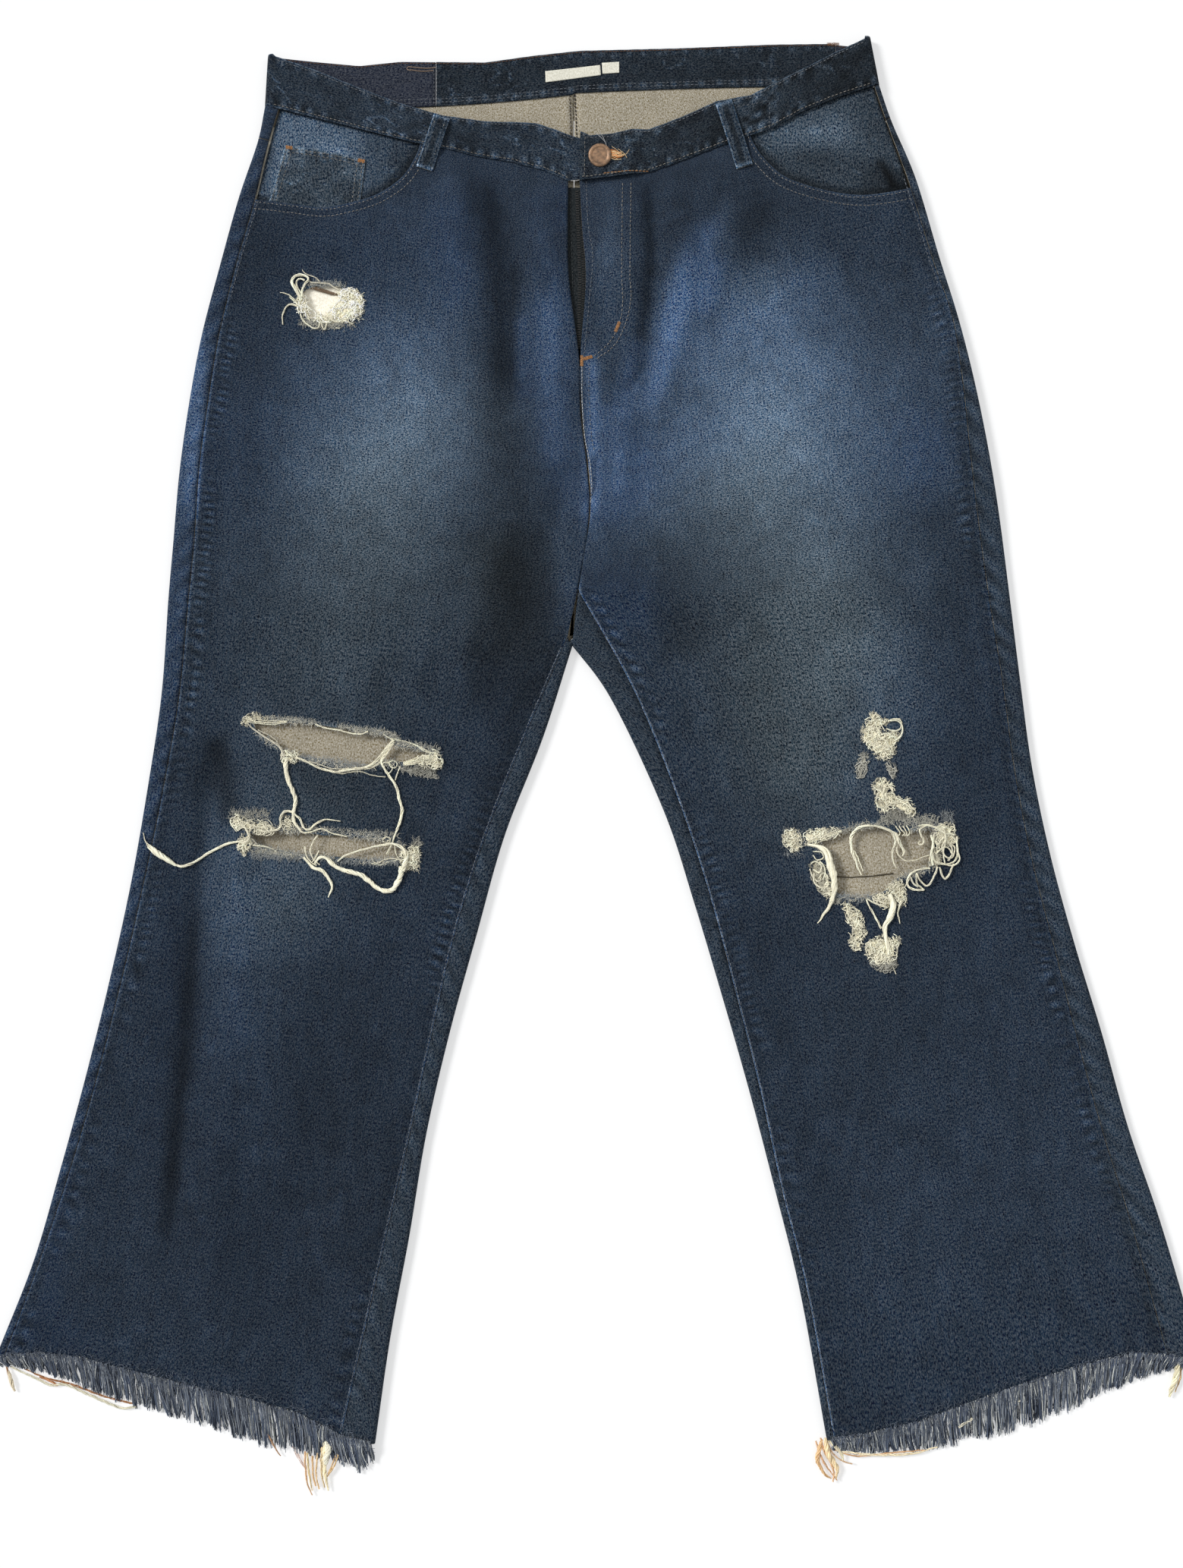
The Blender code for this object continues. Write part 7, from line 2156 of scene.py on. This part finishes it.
# its right side
pad(zl((862, 664), (900, 644), (942, 656), (944, 700), (966, 712), (940, 740), (900, 752), (866, 780), (842, 742), (850, 700)), 0.96, 0.7, 0.52)
pad(zl((836, 790), (866, 780), (872, 830), (850, 864), (826, 850)), 0.9, 0.6, 0.47)
for pts, w in ((((842, 700), (832, 770), (842, 832), (880, 852), (932, 850), (964, 812), (962, 742), (930, 702)), 1.5),
               (((964, 708), (966, 780), (978, 832), (940, 862), (880, 850)), 1.4), (((862, 868), (832, 940), (802, 970), (762, 932), (748, 900)), 1.5),
               (((870, 870), (896, 932), (922, 912), (946, 852)), 1.5), (((880, 700), (920, 740), (940, 790), (920, 838)), 1.4),
               (((850, 660), (900, 690), (950, 700)), 1.6), (((890, 660), (904, 720), (890, 790), (900, 850)), 1.3),
               (((912, 720), (884, 760), (900, 810), (940, 820), (952, 770), (922, 742)), 1.3), (((850, 800), (880, 770), (916, 766), (940, 800)), 1.2),
               (((944, 856), (930, 900), (906, 928)), 1.4), (((826, 700), (836, 750), (826, 800), (838, 860)), 1.8)):
    rope(zl(*pts), w, strands=4, rise=0.9, arch=0.6)
rope(zl((822, 878), (790, 880), (740, 890), (710, 920), (702, 960), (730, 986), (792, 990)), (1.2, 1.6, 2.0, 2.0, 1.6), strands=4)
rope(zl((750, 902), (752, 950), (792, 992)), 1.4, strands=3)
rope(zl((716, 920), (730, 950), (760, 974)), 1.6, strands=4)
hairs(zl(*[(RNG.uniform(880, 945), RNG.uniform(586, 650)) for _ in range(110)]), RNG.uniform(0.4, 2.7, 110), 4.0, BLUISH, 0.15, 1.0, 0.5)
# below it
pad(zl((596, 972), (640, 950), (682, 958), (690, 1030), (692, 1056), (662, 1072), (634, 1034), (604, 1004)), 1.0, 1.0, 0.47)
rope(zl((672, 1050), (652, 1104), (664, 1168)), (2.4, 1.6, 0.6), strands=4)
rope(zl((606, 1010), (626, 1070), (612, 1130), (586, 1180), (588, 1240), (600, 1330)), (3.2, 4.4, 4.6, 3.4, 2.6, 2.2), strands=8, twist=0.14)
rope(zl((600, 1340), (622, 1390), (642, 1432)), (1.4, 0.9, 0.5), strands=3)
rope(zl((602, 1140), (590, 1190), (570, 1240)), (1.6, 1.2), strands=3)
rope(zl((486, 1036), (532, 1060), (596, 1084)), (1.2, 1.6, 1.6), strands=4)
rope(zl((486, 1040), (512, 1092), (542, 1150), (566, 1192)), (1.4, 1.6, 1.6), strands=4)
rope(zl((520, 1022), (562, 1050), (612, 1062)), (1.2, 1.6), strands=4)
rope(zl((548, 1010), (590, 1030), (630, 1040)), (1.6, 1.8), strands=4)
pad(zl((524, 1030), (560, 1020), (600, 1012), (620, 1050), (600, 1086), (560, 1066)), 0.9, 0.5, 0.42)
pad(zl((366, 1074), (386, 1060), (420, 1090), (448, 1120), (470, 1190), (474, 1232), (452, 1262), (460, 1292), (424, 1300), (404, 1270), (422, 1202), (400, 1150), (372, 1100)), 0.98, 0.9, 0.47)
pad(zl((486, 1302), (500, 1272), (560, 1240), (606, 1252), (660, 1244), (640, 1292), (640, 1332), (608, 1362), (560, 1372), (506, 1352)), 1.0, 1.0, 0.47)
pad(zl((500, 1352), (560, 1374), (620, 1360), (640, 1380), (600, 1412), (540, 1402)), 0.8, 0.4, 0.47, GREYISH)
hairs(zl(*[(RNG.uniform(320, 600), 1016 + RNG.normal(0, 7)) for _ in range(220)]), RNG.uniform(3.6, 5.8, 220), 3.0, BLUISH, 0.15, 0.8, 0.5)
hairs(zl(*[(RNG.uniform(326, 346), RNG.uniform(1030, 1060)) for _ in range(40)]), RNG.uniform(4.0, 5.6, 40), 3.0, GREYISH, 0.18, 0.8, 0.4)

# torn fluff along the top edges, and a dark strand as painted shade of the fold in the cloth behind the left knee
for x0, x1, y0, y1, count, make in ((560, 860, 606, 650, 420, zl), (230, 560, 650, 704, 220, zl), (640, 900, 66, 96, 170, zr), (1020, 1340, 110, 170, 260, zr),
                                    (1330, 1560, 190, 240, 150, zr), (1340, 1540, 330, 380, 170, zr), (700, 1340, 640, 690, 300, zr), (560, 900, 770, 800, 240, zr)):
    xs_ = RNG.uniform(x0, x1, count)
    ys_ = y0 + (y1 - y0) * (xs_ - x0) / (x1 - x0) if make is zr else RNG.uniform(y0, y1, count)
    if make is zl and x0 < 300:
        ys_ = 710 - (xs_ - 230) / 330 * 60
    spots = make(*zip(xs_.tolist(), (ys_ + RNG.normal(0, 6, count)).tolist()))
    hairs(spots, RNG.uniform(0.2, 2.9, count), 4.2, GREYISH, 0.2, 1.3, 0.6)
# a dark strand standing for the shade along the fold behind the left knee: painted shade
rope(px((1101, 1155), (1120, 1156), (1142, 1155), (1162, 1153), (1178, 1151)), 1.1, linear(88, 80, 64), 3, 0.1, 0.0, loose=0.03, ground=lambda x, y: np.full(np.shape(x), 1.4))

# hip hole
rope(zh((214, 262), (196, 220), (172, 180), (152, 140), (166, 104), (206, 92), (246, 100), (262, 124), (240, 152), (222, 190), (214, 240)), (2.6, 2.6, 2.4, 2.0, 1.8, 1.6, 1.8), strands=5, rise=0.8)
rope(zh((230, 240), (204, 200), (184, 160), (186, 128), (212, 118), (236, 130)), 1.4, strands=4, rise=1.2)
rope(zh((190, 300), (140, 284), (108, 310), (88, 360), (94, 418)), (1.6, 1.5, 1.2, 0.7), strands=4)
rope(zh((180, 270), (140, 230), (110, 212), (72, 206)), (1.4, 1.0, 0.5), strands=3)
rope(zh((186, 284), (152, 250), (136, 232)), 1.2, strands=3)
rope(zh((336, 136), (306, 108), (268, 96), (236, 78), (218, 56)), (0.8, 0.9, 0.6), PALE, strands=3)
rope(zh((268, 140), (330, 146), (390, 150), (440, 180), (462, 190)), 1.2, PALE, strands=3)
pad(zh((446, 206), (500, 200), (560, 196), (584, 220), (610, 268), (612, 310), (588, 350), (560, 372), (520, 392), (470, 384), (420, 366), (400, 330), (440, 300), (480, 260), (470, 230)), 1.32, 1.2, 0.57)
pad(zh((186, 262), (220, 230), (244, 250), (240, 300), (270, 340), (330, 366), (390, 368), (400, 390), (330, 396), (270, 372), (214, 330), (190, 300)), 1.28, 0.8, 0.57)
for pts, w in ((((210, 350), (220, 384), (256, 420), (300, 442), (330, 436), (336, 400)), 1.2), (((330, 380), (346, 410), (366, 456), (382, 404), (372, 372)), 1.2),
               (((400, 380), (430, 398), (470, 404), (520, 396)), 1.2), (((440, 440), (466, 446)), 0.9), (((552, 418), (520, 400), (500, 384)), 1.0)):
    rope(zh(*pts), w, strands=4, rise=0.6)
# a brown strand under the top edge of the hole: painted shadow under the torn flap
rope(zh((226, 168), (270, 170), (330, 184), (400, 206), (450, 216)), (2.0, 2.6, 2.6, 1.6), linear(128, 108, 88), strands=9, rise=0.0, loose=0.03, ground=lambda x, y: top(x, y) - CLOTH / 2 - 1.9)
hairs(zh(*[(RNG.uniform(210, 560), 404 + RNG.normal(0, 16)) for _ in range(300)]), RNG.uniform(3.4, 6.0, 300), 3.6, GREYISH, 0.17, 0.9, 0.6)
hairs(zh(*[(RNG.uniform(300, 460), 146 + 0.15 * (x0 - 300) + RNG.normal(0, 8)) for x0 in RNG.uniform(300, 460, 160)]), RNG.uniform(0.2, 2.9, 160), 3.4, BLUISH, 0.16, 0.9, 0.5)
hairs(zh(*[(RNG.uniform(560, 612), RNG.uniform(220, 380)) for _ in range(150)]), RNG.uniform(-1.3, 1.3, 150), 3.6, CREAM, 0.2, 0.9, 0.5)
ragged.make("rip_threads_right", "fray", lambda x: x < 0)
ragged.make("rip_threads_left", "fray", lambda x: x >= 0)

pads = add_object("rip_patches", np.concatenate(PAD_V), np.concatenate(PAD_F), [cotton], np.concatenate(PAD_C))
thicken(pads, 0.25)
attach(pads, "root")

# ---- frayed hems -------------------------------------------------------------------------------------

RIGHT_TIPS, LEFT_TIPS = RIGHT_FRINGE, LEFT_FRINGE


def fringe(name, leg, tips, front, count, cads, pale_share):
    out = Bundle()
    span = float(leg.span(16.0))
    f, b = leg.front_inner(16.0), leg.back_inner(16.0)
    turn = float(np.linalg.norm(b - f)) - 3.0
    reach = 1.0 + turn / span
    n = 10
    k = np.sort(RNG.uniform(0.006, reach, count))
    if front:
        past = np.maximum(k - 1.0, 0)[:, None] * span
        edge = leg.row(np.full(count, 16.0), np.minimum(k, 1.0)) + unit(b - f) * past
        t = np.clip((k - float(leg.wrap(16.0)) / span) / (1 - float(leg.wrap(16.0)) / span), 0, 1)
        z0 = scene_height(leg, np.full(count, 16.0), t, edge)
        near = np.exp(-(k * span / FALL) ** 2) + np.exp(-((reach - k) * span / FALL) ** 2)
        end = along(tips, k / reach)
    else:
        q = np.clip(k / reach, 0, 1)
        edge = np.array([underside(leg, 16.0, c) for c in q])
        z0 = np.full(count, 0.7)
        near = np.zeros(count)
        end = edge + (along(tips, q) - edge) * 0.93
    # strands gather into clumps that lean together
    cells = 96
    centre = (np.arange(cells) + 0.5 + RNG.uniform(-0.35, 0.35, cells)) / cells * reach
    mine = np.argmin(np.abs(k[:, None] - centre[None]), axis=1)
    lean = RNG.normal(0, 1.3, cells)[mine] + RNG.normal(0, 0.7, count)
    draw = (centre[mine] - k) * span * RNG.uniform(0.35, 0.9, count)
    long_ = np.clip(RNG.normal(0.97, 0.08, count), 0.5, 1.12) * (0.94 + 0.08 * RNG.uniform(-1, 1, cells)[mine])
    u = np.linspace(0, 1, n)
    d = end - edge
    along_x = unit(f - leg.outer(16.0))
    bend = (RNG.normal(0, 1.0, cells)[mine] + RNG.normal(0, 0.5, count))[:, None] * np.sin(u[None] * math.pi)
    x = edge[:, :1] + d[:, :1] * u[None] * long_[:, None] + (draw[:, None] * along_x[0] + lean[:, None]) * u[None] ** 1.4 + bend
    root = RNG.uniform(-0.6, 2.2, (count, 1))
    y = edge[:, 1:] + root + (d[:, 1:] * long_[:, None] - root) * u[None] + draw[:, None] * along_x[1] * u[None] ** 1.4
    seed = RNG.uniform(0, 900, count)
    x += 0.45 * noise(u[None] * 7 + seed[:, None], 0 * x, 1.5, 5)
    zl_ = 0.7 + RNG.uniform(0, 1.9, (count, 1)) if front else 0.35 + RNG.uniform(0, 0.6, (count, 1))
    z = z0[:, None] + (0.9 if front else 0.0) + (zl_ + 0.9 * near[:, None] - z0[:, None] - (0.9 if front else 0.0)) * step(u[None] * 1.1 - 0.1) + 0.25 * noise(u[None] * 7 + seed[:, None], 0 * x, 1.7, 6)
    z = np.maximum(z, 0.25)
    blue_c = linear(82, 92, 110)
    grey_c = linear(132, 138, 146)
    dark_c = linear(42, 48, 60)
    pale_c = linear(196, 198, 194)
    pick = RNG.uniform(0, 1, count)
    tone = noise(mine.astype(float) * 3.1, 0 * k, 1.7, 8)[:, None] * 0.18
    cols = np.where((pick < 0.58)[:, None], blue_c[None], grey_c[None])
    cols = np.where((pick < 0.20)[:, None], dark_c[None], cols)
    cols = np.where((pick > 1 - pale_share)[:, None], pale_c[None], cols) * (1 + tone) * RNG.uniform(0.75, 1.2, (count, 1))
    radii = RNG.uniform(0.26, 0.50, (count, 1)) * (1 - 0.25 * u[None])
    out.add(np.stack([x, y, z], -1), radii, np.clip(cols, 0, 1), sides=4)
    # fluff between them and over the cloth's edge
    m = count // 3
    i = RNG.integers(0, count, m)
    j = RNG.uniform(-0.25, 0.55, m) if front else RNG.uniform(0.1, 0.9, m)
    sx = x[i, 0] + (x[i, -1] - x[i, 0]) * j
    sy = y[i, 0] + (y[i, -1] - y[i, 0]) * j
    sz = z[i, 0] + (z[i, -1] - z[i, 0]) * np.maximum(j, 0) + (1.0 if front else 0.3)
    ang = RNG.uniform(0, 2 * math.pi, m)
    tt = np.linspace(0, 1, 6)
    wig = RNG.normal(0, 0.5, (m, 6)).cumsum(axis=1)
    fx = sx[:, None] + np.cumsum(np.cos(ang[:, None] + wig) * 0.7, axis=1)
    fy = sy[:, None] + np.cumsum(np.sin(ang[:, None] + wig) * 0.7, axis=1)
    fz = np.maximum(np.repeat(sz[:, None], 6, 1), 0.3)
    out.add(np.stack([fx, fy, fz], -1), np.full(fx.shape, 0.14), np.clip(np.tile(linear(112, 120, 132), (m, 1)) * RNG.uniform(0.5, 1.15, (m, 1)), 0, 1), sides=3)
    ob = out.make(name, "fray")
    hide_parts(*cads)
    PIECES[name] = ob
    return ob


fringe("fringe_front_right", RIGHT, RIGHT_TIPS, True, 2800, ["fringe_front_right"], 0.07)
fringe("fringe_back_right", RIGHT, RIGHT_TIPS, False, 760, ["fringe_back_right"], 0.14)
fringe("fringe_front_left", LEFT, LEFT_TIPS, True, 2800, ["fringe_front_left"], 0.12)
fringe("fringe_back_left", LEFT, LEFT_TIPS, False, 760, ["fringe_back_left"], 0.28)

ends_b = Bundle()


PEACH = linear(240, 196, 150)
ORANGE_ROOT = linear(196, 140, 94)


def lying(height):
    return lambda x, y: np.full(np.shape(x), height)


def hem_rope(points, width, colour=CREAM, strands=4, height=1.4, **more):
    rope(points, width, colour, strands, out=ends_b, ground=lying(height), **more)


# right hem: a cream thread under the fringe, orange behind it, a tassel near the inseam
hem_rope(px((12, 1802), (28, 1810), (46, 1818), (66, 1827), (84, 1826), (104, 1834), (122, 1842), (144, 1852), (160, 1857), (178, 1855)), (1.6, 2.0, 2.2, 2.2, 1.8), CREAM * 0.98, 5, 1.0)
hem_rope(px((30, 1806), (60, 1818), (92, 1826), (124, 1838), (150, 1846), (176, 1852)), (1.2, 1.8, 1.8, 1.4), ORANGE_ROOT, 4, 0.5)
hem_rope(px((50, 1816), (66, 1822), (74, 1828)), 1.8, linear(206, 150, 108), 4, 0.7)
hem_rope(px((4, 1794), (8, 1806), (10, 1818)), (1.2, 1.6, 1.0), linear(190, 148, 112), 4, 1.4)
hem_rope(px((9, 1808), (12, 1818), (15, 1828), (18, 1835)), (1.6, 3.4, 3.0, 1.4), linear(232, 218, 190), 6, 1.0)
for pts, w, c in ((((404, 1916), (406, 1940), (409, 1956), (411, 1966)), (2.0, 2.0, 1.0), linear(248, 226, 178)),
                  (((401, 1914), (402, 1936), (405, 1958), (411, 1972)), (1.6, 1.6, 0.8), PEACH),
                  (((411, 1920), (412, 1944), (415, 1960)), (1.8, 1.4), linear(238, 200, 150)),
                  (((418, 1916), (416, 1944), (420, 1964)), (1.6, 1.4), linear(244, 214, 168)),
                  (((428, 1902), (427, 1930), (429, 1950), (432, 1966)), (3.6, 3.6, 2.8, 1.2), linear(250, 236, 200)),
                  (((424, 1908), (423, 1936), (427, 1962)), (2.4, 2.0, 1.2), linear(246, 222, 176)),
                  (((447, 1914), (441, 1930), (434, 1942), (428, 1950)), (1.8, 1.6, 1.2), linear(238, 206, 156)),
                  (((443, 1916), (438, 1930), (432, 1944)), (1.4, 1.2), linear(238, 200, 150)),
                  (((352, 1891), (357, 1900), (362, 1910), (369, 1920)), (1.2, 1.4, 0.9), linear(206, 164, 128))):
    hem_rope(px(*pts), w, c, 5, 1.8)
q = px((424, 1902), (430, 1896), (440, 1898), (442, 1912), (434, 1922), (424, 1916))
hem_rope(px((428, 1900), (432, 1908), (430, 1920), (428, 1930)), (4.4, 5.4, 3.0), linear(252, 246, 224), 9, 2.4)
for k in range(3):
    hem_rope(px((384 + k, 1908), (392 + k, 1924 - k), (402, 1938 + k)), 0.5, linear(236, 206, 190), 2, 0.8)
# left hem: peach threads at its inner corner, cream at the outer one
for pts, w, c in ((((1082, 1896), (1086, 1912), (1094, 1926), (1100, 1942), (1098, 1954)), (1.6, 2.0, 2.0, 1.4), PEACH),
                  (((1076, 1900), (1082, 1918), (1090, 1934), (1104, 1952)), (1.4, 1.8, 1.0), linear(234, 190, 148)),
                  (((1090, 1900), (1098, 1916), (1110, 1926), (1124, 1930)), (1.4, 1.6, 1.0), linear(240, 206, 170)),
                  (((1100, 1912), (1130, 1920), (1170, 1916), (1220, 1912)), (1.0, 1.4, 0.8), PEACH),
                  (((1088, 1896), (1090, 1910), (1096, 1924), (1104, 1936), (1102, 1950)), (2.4, 4.4, 4.8, 3.4, 1.2), linear(250, 226, 184)),
                  (((1084, 1898), (1080, 1912), (1078, 1926), (1086, 1942), (1096, 1950)), (2.0, 3.4, 3.4, 2.4, 1.0), linear(246, 206, 156)),
                  (((1092, 1898), (1102, 1908), (1110, 1918), (1112, 1926)), (2.2, 3.2, 2.8, 1.2), linear(252, 240, 208)),
                  (((1110, 1914), (1150, 1918), (1200, 1917), (1236, 1908)), (1.6, 2.2, 2.0, 1.0), linear(252, 238, 206)),
                  (((1556, 1792), (1552, 1806), (1548, 1822), (1542, 1842)), (2.4, 4.6, 4.4, 1.6), linear(250, 240, 206)),
                  (((1558, 1800), (1556, 1818), (1550, 1836)), (1.2, 1.8, 0.8), linear(226, 196, 150)),
                  (((1264, 1882), (1276, 1874), (1287, 1868)), (2.2, 2.6, 1.8), PALE),
                  (((1336, 1850), (1346, 1847), (1356, 1842)), (1.4, 1.6, 1.2), PALE)):
    hem_rope(px(*pts), w, c, 5, 2.2)
ends_b.make("hem_tassels", "fray")

# ---- floor, light, camera ----------------------------------------------------------------------------

mesh = bpy.data.meshes.new("floor")
mesh.from_pydata([(-6, -6, -0.0002), (6, -6, -0.0002), (6, 6, -0.0002), (-6, 6, -0.0002)], [], [(0, 1, 2, 3)])
floor_mat, _, _, shader = new_material("floor_paper")
shader.inputs["Base Color"].default_value = (0.47, 0.47, 0.47, 1)
shader.inputs["Emission Color"].default_value = (1, 1, 1, 1)
shader.inputs["Emission Strength"].default_value = 0.52
shader.inputs["Roughness"].default_value = 1.0
shader.inputs["Specular IOR Level"].default_value = 0.0
mesh.materials.append(floor_mat)
floor = bpy.data.objects.new("floor", mesh)
scene.collection.objects.link(floor)

world = bpy.data.worlds.new("soft_room")
scene.world = world
world.use_nodes = True
world.node_tree.nodes["Background"].inputs[0].default_value = (0.96, 0.98, 1.0, 1)
world.node_tree.nodes["Background"].inputs[1].default_value = 0.46


def sun(name, direction, strength, angle, colour=(1, 1, 1)):
    data = bpy.data.lights.new(name, "SUN")
    data.energy = strength
    data.angle = math.radians(angle)
    data.color = colour
    ob = bpy.data.objects.new(name, data)
    from_ = np.array(direction, float)
    from_ /= np.linalg.norm(from_)
    import mathutils
    ob.rotation_euler = mathutils.Vector((-from_).tolist()).to_track_quat("-Z", "Y").to_euler()
    ob.location = (from_ * 3).tolist()
    scene.collection.objects.link(ob)
    return ob


sun("key", (-0.80, 0.38, 0.72), 2.6, 16)
sun("fill", (0.5, 0.3, 1.0), 0.35, 40)

cam_data = bpy.data.cameras.new("camera")
cam_data.lens = 50
cam_data.sensor_width = 36
cam = bpy.data.objects.new("camera", cam_data)
centre = px((779.5, 1033.0))[0]
cam.location = ((centre[0] - ORIGIN[0]) * MM, (centre[1] - ORIGIN[1]) * MM, 1.594 + 0.006)
cam.rotation_euler = (0, 0, 0)
scene.collection.objects.link(cam)
scene.camera = cam
scene.view_settings.view_transform = "Standard"
scene.view_settings.look = "None"
scene.view_settings.exposure = 0
scene.view_settings.gamma = 1
